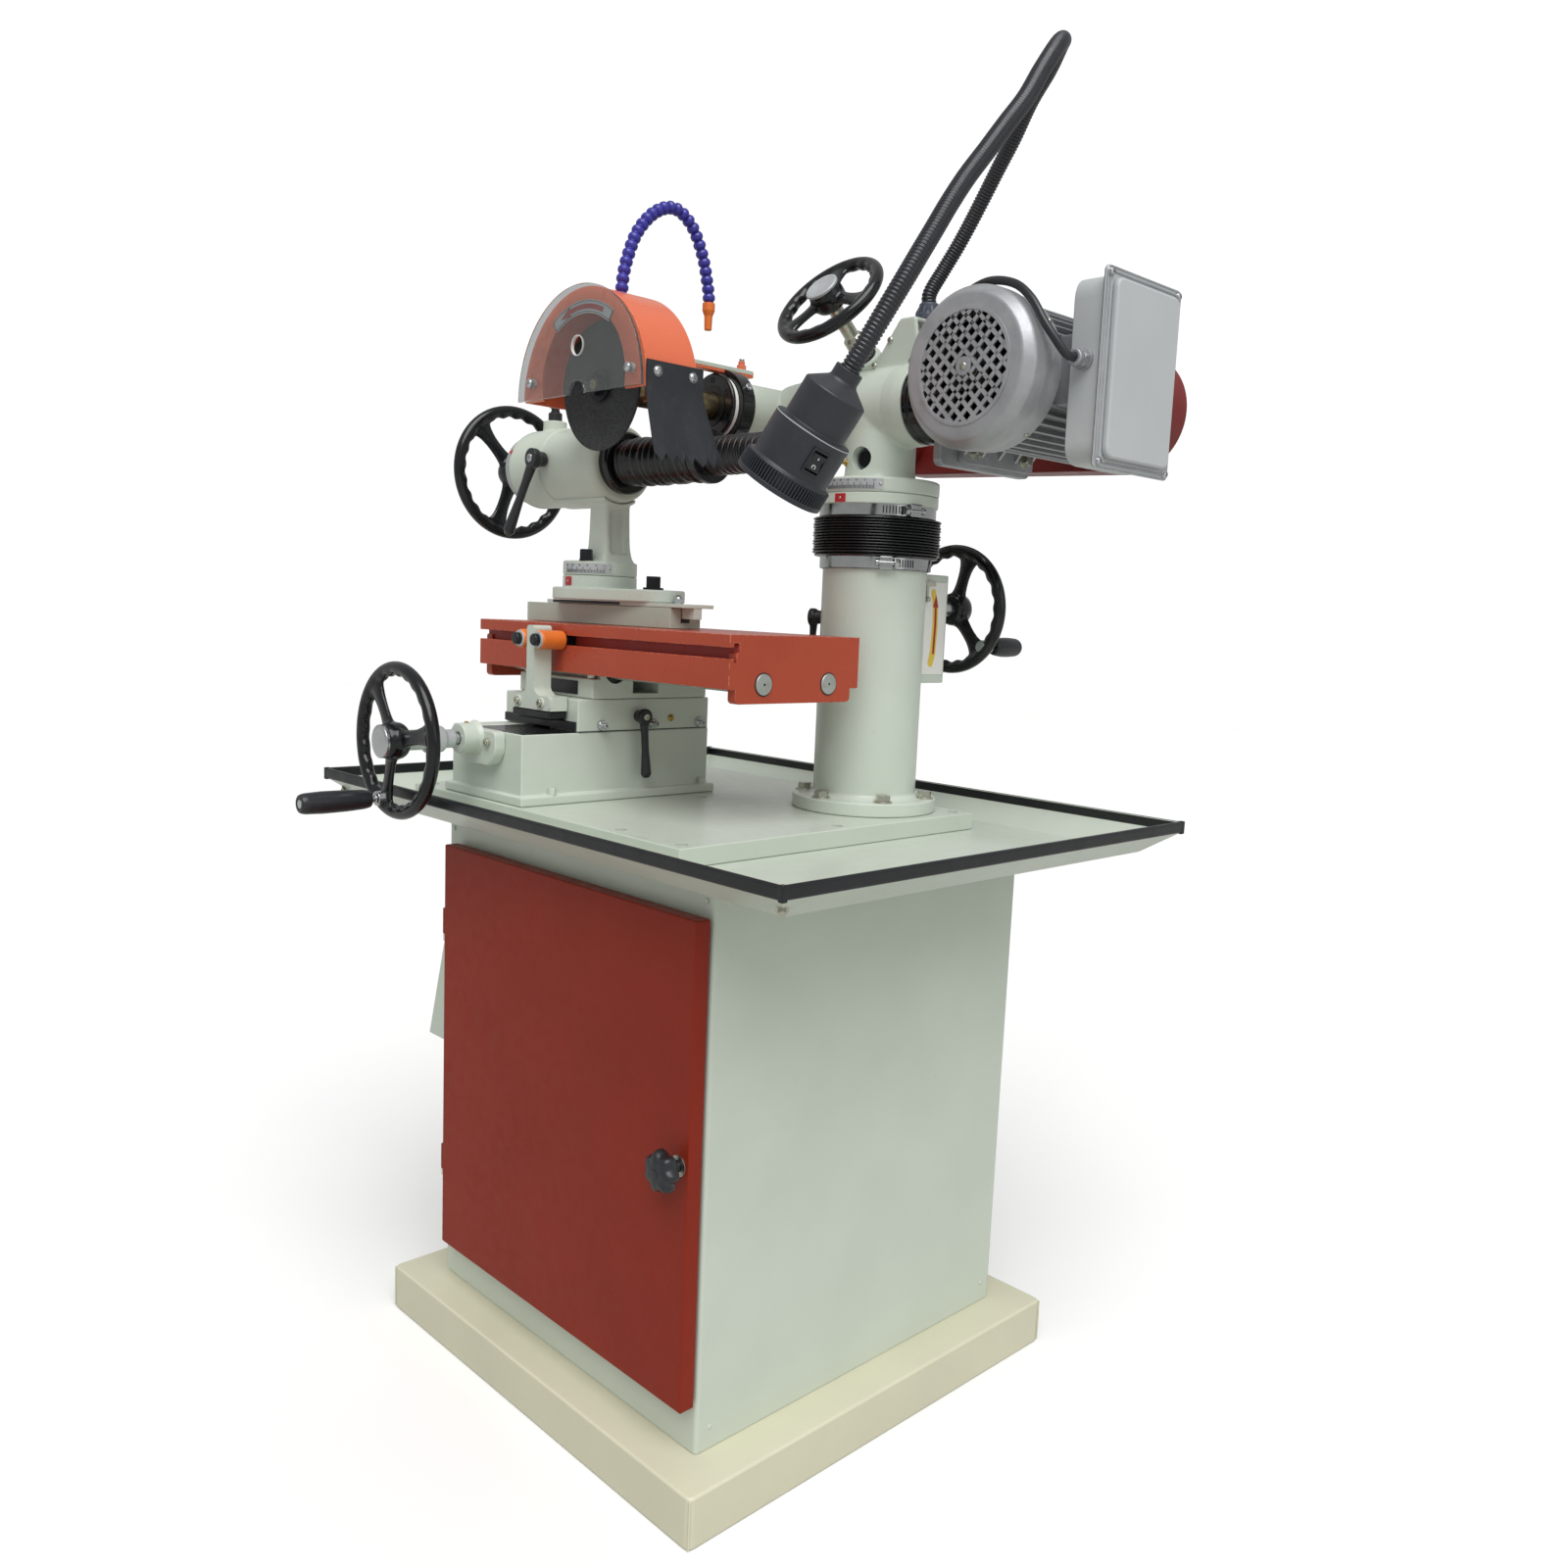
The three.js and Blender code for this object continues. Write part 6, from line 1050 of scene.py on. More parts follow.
# Lift gearbox, its arrow plate, handwheel and clamp lever
body = pushed(softened([(60, 206), (136, 206), (136, 265), (60, 265)], 7, 4, True), 920, 1068)
body = carved(body, rod(70.2, 900, 1100, *COLUMN, 120))
boss = bush([(12.3, 0), (24, 0), (24, 17), (20, 18.2), (12.3, 18.2)], 1.5, 3, 64, Y_AXIS, (98, 264, 1023))
cover = eased(pushed(circle(30, 56, centre=(98, 1023)), 264, 268, "y"), 1)
cover = carved(cover, rod(14, 255, 275, Y_AXIS, (98, 0, 1023), 40))
piece("gearbox_casing", joined(eased(body, 2.2, 3), boss, cover), mint_casting, "base", ["lift_gearbox"])
fasten("gearbox_screws", socket_screw(3.6, 3.4), [((x, 268, z), (0, 1, 0)) for x, z in circle(25, 4, pi / 4,
    centre=(98, 1023))], dark_steel, "base")
piece("gearbox_plate", eased(block(136, 137, 214, 258, 932, 1058), 0.35), white_ink, "base")
strip = softened([(224, 945), (234, 941), (240, 960), (242, 1000), (240, 1030), (232, 1050), (224, 1046),
    (230, 1026), (231, 1000), (229, 965)], 5, 4, True)
piece("gearbox_arrow_ground", pushed(strip, 136.9, 137.4, "x"), yellow_ink, "base")
piece("gearbox_arrow", pushed([(233, 960), (237, 960), (238.5, 1000), (237.5, 1024), (241, 1024),
    (235, 1040), (229.5, 1024), (233.5, 1024), (234.5, 1000)], 137.3, 137.7, "x"), red_ink, "base")
catch = [eased(block(138.6, 147, 206, 226, 1052, 1059), 1.2), eased(block(140, 146.5, 208, 212, 1030, 1056),
    1)]
catch.append(rod(3.4, 0, 11, X_AXIS, (138.5, 210, 1034), 24, 0.6))
piece("gearbox_catch", shifted(joined(*catch), -2.6, 0, 0), zinc_steel, "base")


def spoked_wheel(radius, bumps=24):
    """Cast handwheel about Z: waisted spokes run into a rim with finger waves on its inside."""
    section = circle(1, 20)
    rings = []
    for i in range(168):
        a = 2 * pi * i / 168
        ring = []
        for out, up in section:
            inner = 10.5 + 1.6 * cos(bumps * a) if out < 0 else 7.5
            r = radius - 8 + out * inner
            ring.append((r * cos(a), r * sin(a), 8.4 * up))
        rings.append(ring)
    rim = lofted(rings, True)
    hub = turned([(0, -11), (18, -11), (23, -5), (24, 8), (21, 20), (0, 20)], 3, 56)
    spokes = []
    for i in range(3):
        rings = []
        for step in range(9):
            t = step / 8
            x = 12 + (radius - 26) * t
            half = 10.2 + 8.5 * abs(2 * t - 0.95) ** 2.6
            thick = 5.6 - 1.0 * sin(pi * t)
            lift = 4.5 * (1 - t) ** 1.5
            rings.append([(x, half * out, lift + thick * up) for out, up in section])
        spokes.append(moved(lofted(rings), Matrix.Rotation(pi / 2 + 2 * pi * i / 3, 4, "Z")))
    return casting(2.0, 5, rim, hub, *spokes)


def cap_disc(radius=17.5):
    return turned([(0, 19), (radius, 19), (radius, 22.2), (radius - 3, 23), (0, 23)], 0.7, 56)


# Handwheels
wheel = spoked_wheel(100)
made = moved(wheel.copy(), facing(-Y_AXIS, (-208, -384, 829), radians(40)))
bar = turned([(0, -40), (13, -40), (13, -5), (0, -5)], 1, 48, Y_AXIS, (-208, -343, 829))
pin = turned([(0, 6), (9.5, 6), (9.5, -12), (5, -13), (5, -112), (0, -112)], 1, 36, Y_AXIS, (-236, -386, 753))
piece("cross_wheel_rim", made, wheel_enamel, "cross_wheel", ["cross_handwheel"], soft=True)
piece("cross_wheel_hub", joined(bar, pin), bright_steel, "cross_wheel")
piece("cross_wheel_cap", turned([(0, 19), (21, 19), (21, 23.6), (17, 24.6), (0, 24.6)], 0.9, 56, -Y_AXIS,
    (-208, -384, 829)), bright_steel, "cross_wheel")
piece("cross_dial", bush([(5, 0), (17, 0), (17, 22), (12, 26), (12, 38), (5, 38)], 1.2, 3, 64, Y_AXIS,
    (-208, -345, 829)), scale_alloy, "cross_wheel")
piece("cross_feed_screw", rod(7.2, 0, 330, Y_AXIS, (-208, -345, 829), 32), bright_steel, "cross_wheel")
piece("cross_handle", lathe([(r, h) for r, h in softened([(5.7, -22), (10.5, -22), (12.2, -30), (13.6, -55),
    (14, -85), (13, -108), (11, -114), (5.7, -114)], 5, 4, True)], 56, Y_AXIS, (-236, -384, 753), True),
    black_moulding, "cross_wheel_grip", ["cross_grip"])
piece("cross_handle_screw", turned([(0, 0), (5.6, 0), (5.6, 1.6), (4.6, 2), (0, 2)], 0.3, 28, -Y_AXIS,
    (-236, -495.9, 753)), bright_steel, "cross_wheel")

piece("arm_wheel_rim", moved(wheel.copy(), facing(X_AXIS, (-470, -57, 1202), radians(12))), wheel_enamel,
    "arm_wheel", ["arm_handwheel"], soft=True)
piece("arm_wheel_cap", moved(cap_disc(), facing(-X_AXIS, (-458, -57, 1202))), bright_steel, "arm_wheel")
bar = turned([(0, -11), (15, -11), (15, 40), (11.8, 42), (11.8, 140), (0, 140)], 1, 48, X_AXIS,
    (-470, -57, 1202))
piece("arm_wheel_shaft", bar, bright_steel, "arm_wheel")

made = moved(spoked_wheel(92.5, 22), facing(Y_AXIS, (98, 322, 1023), radians(79)))
piece("lift_wheel_rim", made, wheel_enamel, "lift_wheel", ["lift_handwheel"], soft=True)
bar = rod(11.8, -84, 4, Y_AXIS, (98, 322, 1023), 40)
pin_x, pin_z = spot(78, -41, 98, 1023)
pin = turned([(0, -8), (8, -8), (8, -5), (9.5, -5), (9.5, 12), (5, 13), (5, 77), (0, 77)], 0.8, 36, Y_AXIS,
    (pin_x, 322, pin_z))
piece("lift_wheel_shaft", joined(bar, pin), bright_steel, "lift_wheel")
piece("lift_wheel_cap", moved(cap_disc(16), facing(Y_AXIS, (98, 322, 1023))), bright_steel, "lift_wheel")
handle = bush([(5.7, 22), (10.5, 22), (12.2, 28), (13.8, 42), (14, 56), (13, 73), (11, 78), (5.7, 78)], 4,
    4, 56, Y_AXIS, (pin_x, 322, pin_z))
piece("lift_handle", handle, black_moulding, "lift_wheel_grip", ["lift_grip"])

axis = Vector((0, *spot(1, 140)))
place = Vector((40, 151, 1281)) + 72 * Vector((0, axis.z, -axis.y)) + 127 * axis
made = moved(spoked_wheel(80, 20), facing(axis, place, radians(20)))
piece("tilt_wheel_rim", made, wheel_enamel, "tilt_wheel", ["tilt_handwheel"], soft=True)
piece("tilt_wheel_cap", turned([(0, 19), (23, 19), (23, 22.5), (20, 23.4), (0, 23.4)], 0.8, 56, axis,
    place), scale_alloy, "tilt_wheel")
bar = turned([(0, -127), (7.8, -127), (7.8, -94), (14, -94), (14, -62), (10, -58), (10, -10), (0, -10)],
    1.2, 48, axis, place)
piece("tilt_wheel_shaft", bar, zinc_steel, "tilt_wheel")


# Cross slide base: foot, box with its channel, black sheet painted as the channel's shade, feed bracket and
# foot bolts
body = fused(block(-303, -112, -263, 62, 748.1, 760.1), block(-293, -122, -257, 55, 754, 840.1))
body = eased(body, 2.2, 3)
body = carved(body, block(-250.5, -165.5, -242, 40, 806.1, 850), rod(8, -300, -230, *CROSS_FEED, 32))
plate = pushed(softened([(-256, 841), (-160, 841), (-160, 812), (-174, 795), (-242, 795), (-256, 812)], 9,
    5, True), -273, -257, "y")
boss = bush([(8, -299), (20, -299), (20, -277), (24, -272), (8, -272)], 2.2, 4, 72, *CROSS_FEED)
plate = carved(eased(plate, 2, 3), rod(8, -300, -230, *CROSS_FEED, 32))
piece("cross_bed", joined(body, plate, boss), mint_casting, "base", ["cross_base"])
# Black sheet over the channel: painted shade standing for its shadowed inside
piece("way_cover", block(-246, -122.6, -256, 40, 840.12, 840.34), wet_rubber, "base")
chance = random.Random(4)
# White strip with a ragged edge along the channel's far rim: painted highlight of its lit edge
piece("way_cover_edge", pushed([(-251, -255.5 + 11 * i) for i in range(9)] + [(-243.5 + chance.uniform(-1.6,
    1.6), -255.5 + 5.5 * i) for i in range(17)][::-1], 840.35, 840.38), white_ink, "base")
fasten("foot_bolts", hex_bolt(9.2, 9), [((x, y, 760.1), (0, 0, 1)) for y in (-213, 41)
    for x in (-117.3, -298)], mint_casting, "base")
fasten("bracket_screws", socket_screw(5.4, 5), [((-176, -273, 826), (0, -1, 0)), ((-241, -273, 826),
    (0, -1, 0))], zinc_steel, "base")
fasten("bracket_oiler", rivet(3, 2.4), [((-208, -286, 848.6), (0, 0.15, 1))], brass, "base")


def pointer(name, body, centre, radius, angle, wide, high):
    """Red pointer plate against a round disc, with its rivet."""
    span = degrees(wide / radius) / 2
    sheet = bent(radius, 0.8, angle - span, angle + span, 8, -high / 2, high / 2)
    piece(name, shifted(sheet, *centre), pointer_enamel, body)
    a = radians(angle)
    out = Vector((cos(a), sin(a), 0))
    place = Vector(centre) + out * (radius + 0.8)
    fasten(name + "_rivet", rivet(1.8, 1.2), [(place, out)], zinc_steel, body)


# Saddle with its gib screws, nipple and lever; guide housing with bored mouths
def ratchet_lever(name, hub, axis, down, body, replaces, length, hub_radius, reach, screw_finish):
    """Clamping lever: round hub with its screw, an ear across it and a handle swelling to its end."""
    axis = Vector(axis).normalized()
    down = Vector(down).normalized()
    side = down.cross(axis)
    stand = Matrix(((side.x, down.x, axis.x, hub[0]), (side.y, down.y, axis.y, hub[1]),
        (side.z, down.z, axis.z, hub[2]), (0, 0, 0, 1)))
    base = turned([(0, 0.2), (hub_radius * 0.72, 0.2), (hub_radius * 0.8, reach * 0.45),
        (hub_radius, reach * 0.6), (hub_radius, reach), (0, reach)], 1.6, 40)
    rings = []
    for share, half in ((0, 0.62), (0.12, 0.62), (0.3, 0.52), (0.55, 0.52), (0.8, 0.66), (0.94, 0.74),
            (1.0, 0.42)):
        y = share * (length + hub_radius * 0.7)
        z = reach - hub_radius * 0.5 + 2.0 * share
        rings.append([(u, y, z + 0.72 * v) for u, v in circle(half * hub_radius, 24)])
    made = moved(casting(0.8, 4, base, lofted(rings)), stand)
    piece(name, made, black_moulding, body, replaces, soft=True)
    screw = moved(socket_screw(hub_radius * 0.42, 2.4), stand @ Matrix.Translation((0, 0, reach - 0.8)))
    piece(name + "_screw", screw, screw_finish, body)


# Saddle
body = eased(block(-295, -121, -172, 53, 840.4, 883.4), 1.8, 3)
body = carved(body, block(-230, -186, -180, 60, 830, 852.4))
piece("saddle_casting", body, mint_casting, "cross_slide", ["saddle"])
piece("saddle_gib_line", eased(block(-120.9, -120.6, -171, 52, 840.5, 841.3), 0.1), black_ink, "cross_slide")
fasten("gib_screws", jam_screw(12.5, 13), [((-120.8, y, 849), (1, 0, 0)) for y in (-135, -49, 34)],
    bright_steel, "cross_slide")
piece("oil_nipple", turned([(0, 0), (4.8, 0), (4.8, 2), (2.6, 2.8), (2.6, 5.2), (1, 5.6), (0, 5.6)], 0.5,
    24, X_AXIS, (-120.8, -16, 856)), brass, "cross_slide")
piece("saddle_wiper", joined(eased(block(-292, -124, -176.2, -172.1, 842.4, 854), 1, 2),
    eased(block(-232, -144, -202, -174, 855, 866.6), 2.4, 3)), rubber, "cross_slide")
ratchet_lever("saddle_lever_cast", (-120.7, -74, 860), (1, 0, 0), (0, 0.06, -1), "saddle_clamp",
    ["saddle_lever"], 76, 11, 20, zinc_steel)

# Housing
body = eased(fused(block(-295, -121, -150, 48, 883.7, 910.7), block(-295, -121, -137, 22, 890, 939.7)), 2.2,
    3)
cuts = [block(-300, -115, -83, -39, 890.5, 910.7)]
for y in (-112, -2):
    cuts.append(rod(13.2, -300, -115, X_AXIS, (0, y, 923), 64))
    cuts.append(rod(19, -300, -288, X_AXIS, (0, y, 923), 64))
    cuts.append(rod(19, -128, -115, X_AXIS, (0, y, 923), 64))
piece("guide_block", carved(body, *cuts), mint_casting, "cross_slide", ["guide_housing"])
seals = []
for y in (-112, -2):
    for x in (-288, -128):
        seals.append(bush([(13.3, -3), (18.8, -3), (18.8, 2), (13.3, 2)], 0.7, 2, 56, X_AXIS, (x, y, 923)))
piece("bore_seals", joined(*seals), rubber, "cross_slide")
fasten("housing_screws", socket_screw(5.6, 5.5), [((x, y, 910.7), (0, 0, 1)) for x in (-283, -133)
    for y in (-143.6, 35)], zinc_steel, "cross_slide")
# Black strip on the housing's front: painted shadow under the table
piece("housing_gasket", eased(block(-262, -154, -151.6, -149.8, 888, 906), 0.4), rubber, "cross_slide")
piece("housing_plug", rod(3.4, 0, 1.6, X_AXIS, (-121, 14, 917), 24, 0.5), zinc_steel, "cross_slide")

# Stop bracket
outline = [(-235, 868), (-235, 885), (-208, 886), (-197, 893), (-197, 975), (-194, 978), (-182, 978),
    (-179, 975), (-179, 893), (-168, 886), (-141, 885), (-141, 868)]
stem = pushed(softened(outline, 5, 5, True), -203.3, -176.3, "y")
base = pushed(softened([(-235, -203.3), (-141, -203.3), (-141, -172.3), (-235, -172.3)], 7, 5, True), 867,
    886)
piece("stop_upright", eased(fused(stem, base), 1.4, 3, 28), mint_casting, "cross_slide", ["stop_bracket"])
recess = []
for x in (-215, -161):
    recess.append(bush([(4.4, 0), (7.4, 0), (7.4, 1.3), (6.4, 1.8), (4.4, 1.8)], 0.4, 2, 40, -Y_AXIS,
        (x, -203.2, 876.5)))
piece("stop_screw_rings", joined(*recess), mint_casting, "cross_slide")
fasten("stop_screws", socket_screw(5.2, 5.2), [((x, -203.2, 876.5), (0, -1, 0)) for x in (-215, -161)],
    zinc_steel, "cross_slide")


# Work table with its groove, guide shafts, stops and rails
profile = [(-167, 917), (-167, 953), (-160, 953), (-160, 948), (-152, 948), (-152, 971), (-160, 971),
    (-160, 966), (-167, 966), (-167, 981), (52, 981), (52, 917), (28, 917), (28, 956), (-143, 956),
    (-143, 917)]
body = eased(pushed(profile, -375, 168, "x"), 0.9, 2, 50)
ends = []
for x in (-375, 154):
    ends.append(eased(pushed(softened([(-156, 960), (-156, 903), (-152, 900), (34, 900), (38, 903),
        (38, 960)], 3, 3, True), x, x + 14, "x"), 0.9, 2, 50))
body = fused(body, *ends)
piece("table_casting", carved(body, *[rod(13.2, -380, 175, X_AXIS, (0, y, 923), 56) for y in (-112, -2)]),
    table_enamel, "table", ["work_table"])
plugs = []
for y in (-112, -2):
    plugs.append(turned([(0, -377), (12, -377), (12.9, -376.2), (12.9, 169.2), (12, 170), (0, 170)], 0.4,
        64, X_AXIS, (0, y, 923)))
piece("guide_shaft_front", plugs[0], ground_steel, "table", ["front_guide_shaft"])
piece("guide_shaft_back", plugs[1], ground_steel, "table", ["back_guide_shaft"])
rings = []
for y in (-112, -2):
    for x, side in ((168, 1), (-375, -1)):
        rings.append(bush([(13, 0), (14.2, 0), (14.2, 0.5), (13, 0.5)], 0.1, 1, 64, X_AXIS * side,
            (x, y, 923)))
piece("shaft_lines", joined(*rings), black_ink, "table")
# Darker red on the groove's floor and back wall
piece("groove_grease", joined(block(-374.8, 167.6, -159.6, -152.3, 948.3, 949),
    block(-374.8, 167.6, -152.6, -152.1, 949, 970.4)), red_ink, "table")
piece("shaft_centres", joined(*[rod(1.4, 0, 0.5, X_AXIS, (170, y, 923), 16) for y in (-112, -2)]),
    black_ink, "table")

# Stops
for x, body, node in ((-209.8, "stop_left", "left_stop"), (-166.2, "stop_right", "right_stop")):
    piece(body + "_knob", bush([(8.3, 169), (12.3, 169), (12.5, 172), (12.5, 203), (11.6, 206.4),
        (8.3, 206.4)], 1.6, 3, 56, -Y_AXIS, (x, 0, 959.5)), nozzle_orange, body, [node])
    piece(body + "_washer", bush([(6, 203), (11.2, 203), (11.2, 207.6), (6, 207.6)], 0.8, 2, 48, -Y_AXIS,
        (x, 0, 959.5)), tie_nylon, body)
    piece(body + "_bumper", turned([(0, 202), (8, 202), (8, 214), (5.8, 215.2), (0, 215.2)], 1.4, 44,
        -Y_AXIS, (x, 0, 959.5)), rubber, body)
    piece(body + "_nut", joined(eased(block(x - 5.6, x + 5.6, -169, -154, 954, 965), 0.4),
        eased(block(x - 10, x + 10, -159.2, -153, 949.4, 969.6), 0.6)), dark_steel, body)

# Rails
rails = pushed([(-87, 981.3), (-87, 1008.3), (-68, 1008.3), (-68, 989.3), (-54, 989.3), (-54, 1008.3),
    (-35, 1008.3), (-35, 981.3)], -377, -41, "x")
piece("slide_rails", eased(rails, 1.2, 2), stained_casting, "table", ["table_rails"])
piece("rail_slot_shadow", eased(block(-42.6, -40.7, -67.6, -54.4, 989.5, 1007.8), 0.2), rubber, "table")


# Slide plate, swivel plate and post with its scales
piece("slide_plate", joined(eased(block(-325, -15, -87, -35, 1008.6, 1013.6), 0.7),
    block(-324, -16, -67.6, -54.4, 994.4, 1009)), mint_casting, "post_slider", ["post_slide_plate"])
# Black strip along the slide plate's front edge: painted shadow of the gap under the plate
piece("slide_shim", eased(block(-310, -150, -87.3, -84, 1009.2, 1013.4), 0.3), rubber, "post_slider")
nut = turned([(0, 12), (2.4, 11.6), (4.8, 9.4), (5.6, 6.4), (5.6, 5.4), (0, 5.4)], 0.5, 36, Z_AXIS,
    (-62, -57, 1013.6))
piece("acorn_nut", joined(nut, shifted(joined(pushed(hexagon(12), 1.8, 6),
    turned([(0, 0), (6.5, 0), (6.5, 1.8), (0, 1.8)], 0.4, 36)), -62, -57, 1013.6)), bright_steel,
    "post_slider")
lean = asin((66 - 36) / 133)
drop = circle(66, 40, pi / 2 - lean, pi + 2 * lean, (-238, -57))
drop += circle(36, 24, lean - pi / 2, pi - 2 * lean, (-105, -57))
low = eased(pushed(drop, 1013.9, 1030.9), 2.4, 3, 50)
disc = bush([(15.3, 1030), (53, 1030), (52, 1032.6), (52, 1047.6), (15.3, 1047.6)], 1.3, 3, 110, *SWIVEL)
piece("swivel_base", joined(low, disc), mint_casting, "post_slider", ["swivel_plate"])
bolt = moved(hex_bolt(19, 15, 14, 3), about((-116, -57, 1031.1), 0.4, "Z"))
piece("swivel_bolt_head", bolt, dark_steel, "post_slider", ["swivel_bolt"])

disc = turned([(0, 1047.9), (52, 1047.9), (52, 1067.9), (0, 1067.9)], 1.6, 110, *SWIVEL, steps=3)
rows = []
for i in range(15):
    t = i / 14
    z = 1064 + (1202 - 1064) * t
    flare = 7 * exp(-t * 14) + 6 * exp(-(1 - t) * 5)
    half_x = 22 * (1 - 0.16 * t) + flare
    half_y = 23 * (1 - 0.16 * t) + flare * 0.9
    rows.append([(-218 + u * half_x, -57 + v * half_y, z) for u, v in softened([(-1, -1), (1, -1), (1, 1),
        (-1, 1)], 0.3, 3, True)])
size = len(rows[0])
flat = [p for row in rows for p in row]
faces = [tuple(range(size)), tuple(range(14 * size, 15 * size))]
for i in range(14):
    faces += [(i * size + k, i * size + (k + 1) % size, (i + 1) * size + (k + 1) % size, (i + 1) * size + k)
        for k in range(size)]
stem = tidied(shape(flat, faces))
stem = carved(stem, eased(block(-203, -180, -72, -42, 1078, 1140), 4, 4))
stem = carved(stem, rod(54.2, -396, -180, *ARM, 96))
under = kept(lathe([(54.2, -318), (58.5, -316), (58.5, -196), (54.2, -194)], 96, *ARM, True),
    block(-320, -190, -84, -30, 1130, 1168))
piece("post_stem", joined(casting(1.5, 4, disc, stem, under)), mint_casting, "arm_unit", ["post_casting"],
    soft=True)
bolt = moved(hex_bolt(16, 14, 10, 2), about((-219, -95, 1067.6), 0.2, "Z"))
piece("post_bolt", bolt, dark_steel, "arm_unit")
round_scale("post_scale", "arm_unit", (-238, -57, 0), 52, 1051, 1064, -100, -18, 30,
    ("50", "40", "30", "20", "10", "0"), 3.6)
fasten("post_scale_rivet", rivet(1.7, 1.1), [((*spot(52.8, -22, -238, -57), 1057.5), (0.93, -0.37, 0))],
    zinc_steel, "arm_unit")
pointer("post_pointer", "post_slider", (-238, -57, 1039.5), 52, -93, 15, 12)


# Blade arm: barrel, dial, flange, bellows, shaft with its wrapping, plunger and lever
barrel = bush([(24.6, -394.8), (50, -394.8), (55, -393), (56, -389), (56, -315.5), (54.2, -313), (54, -200),
    (52, -193), (48, -190.2), (24.6, -190.2)], 2.2, 4, 120, *ARM)
boss = bush([(12, 0), (20, 48), (17.4, 55), (17, 60), (17, 68), (6.4, 68), (6.4, 30), (12, 30)], 1.4, 3, 56,
    Z_AXIS, (-357, -57, 1202))
piece("barrel", joined(barrel, boss), mint_enamel, "arm_unit", ["arm_barrel"])
piece("arm_dial", bush([(12.4, -412.8), (47, -412.8), (50, -410), (50, -395), (12.4, -395)], 1, 3, 110,
    *ARM), scale_alloy, "arm_unit")
notches = []
for i in range(60):
    turn = about((0, -57, 1202), 2 * pi * i / 60, "X")
    long = 6.5 if i % 5 == 0 else 4
    notches.append(moved(block(-395.4 - long, -395.4, -0.3, 0.3, 49.9, 50.25), turn))
piece("arm_dial_marks", joined(*notches), black_ink, "arm_unit")
piece("arm_dial_pointer", moved(eased(pushed([(-389, -4), (-389, 4), (-396, 0)], 55.9, 56.7), 0.15),
    about((0, -57, 1202), radians(68), "X")), pointer_enamel, "arm_unit")
piece("arm_flange", bush([(25.4, -190.1), (42, -190.1), (42, -177.5), (39, -175.2), (25.4, -175.2)], 1.2, 3,
    110, *ARM), collar_enamel, "arm_unit")
knob = turned([(0, 0.6), (10, 0.6), (10, 12), (7.4, 13), (6, 15), (6, 18.6), (9, 20), (12.4, 22),
    (12.4, 27), (11.2, 29), (12.4, 31), (12.4, 37.2), (10.8, 38.6), (0, 38.8)], 0.9, 56, Z_AXIS,
    (-357, -57, 1270))
piece("plunger_knob", joined(knob, rod(5.8, -12.6, 2, Z_AXIS, (-357, -57, 1270), 36, 0.6)), black_moulding,
    "plunger", ["index_plunger"])

shaft = turned([(0, -300), (23.8, -300), (23.8, -12), (34, -12), (34, -2), (23.8, -2), (23.8, 199),
    (15, 200.4), (15, 214.6), (13, 216), (0, 216)], 1.0, 90, *ARM, steps=2)
piece("arm_bar", shaft, wet_rubber, "arm_spindle", ["arm_shaft"])
wrap = []
for i in range(18 * 26 + 1):
    t = i / (18 * 26)
    a = 2 * pi * 18 * t
    wobble = 0.35 * sin(a * 0.37) + 0.25 * sin(a * 1.9)
    wrap.append((2 + 192 * t, -57 + (23.4 + wobble * 0.4) * cos(a), 1202 + (23.4 + wobble * 0.4) * sin(a)))
piece("arm_wrapping", sweep(wrap, [(-0.6, -4.4), (0.9, -3.6), (1.3, 0.4), (0.9, 3.6), (-0.6, 4.4)], X_AXIS),
    wet_rubber, "arm_spindle", soft=True)

chance = random.Random(31)
pleats = 11
low = -174.4
high = -12.4
rows = [(low, 29, 0), (low + 1.5, 31.6, 0), (low + 10, 31.8, 0)]
pitch = (high - low - 22) / pleats
for i in range(pleats):
    x = low + 11 + i * pitch
    lean = chance.uniform(-0.16, 0.16)
    tall = 32.7 - (0.0 if i % 3 else 1.3)
    rows += [(x, 28.4, 0.25), (x + pitch * (0.2 + lean), 30.2, 0.6), (x + pitch * (0.42 + lean), tall, 1.0),
        (x + pitch * (0.6 + lean), tall - 0.4, 1.0), (x + pitch * (0.85 + lean * 0.4), 29.4, 0.5)]
rows += [(high - 11, 28.6, 0.2), (high - 10, 30.2, 0), (high - 1, 30.4, 0), (high, 28.2, 0)]
rings = []
for k, (x, r, loose) in enumerate(rows):
    phase = chance.uniform(0, 6.28)
    ring = []
    for i in range(96):
        a = 2 * pi * i / 96
        sag = loose * (0.55 * sin(2 * a + phase * 0.3 + k * 0.12) + 0.3 * sin(5 * a + k * 0.5))
        drift = loose * 2.0 * sin(a + k * 0.16)
        ring.append((x + drift, -57 + (r + sag * 0.5) * cos(a), 1202 + (r + sag * 0.5) * sin(a)))
    rings.append(ring)
rings += [[(x, y, z) for y, z in circle(25.6, 96, centre=(-57, 1202))] for x in (high, low)]
piece("arm_bellows_pleats", lofted(rings, True), wet_rubber, ("arm_unit", "arm_spindle",
    (-0.163, -0.057, 1.202), (-0.023, -0.057, 1.202)), ["arm_bellows"], soft=True)
ratchet_lever("arm_lever_cast", (-300, -112.6, 1207), (0, -1, 0), (-cos(radians(59)), 0, -sin(radians(59))),
    "arm_clamp", ["arm_lever"], 112, 14, 24, bright_steel)


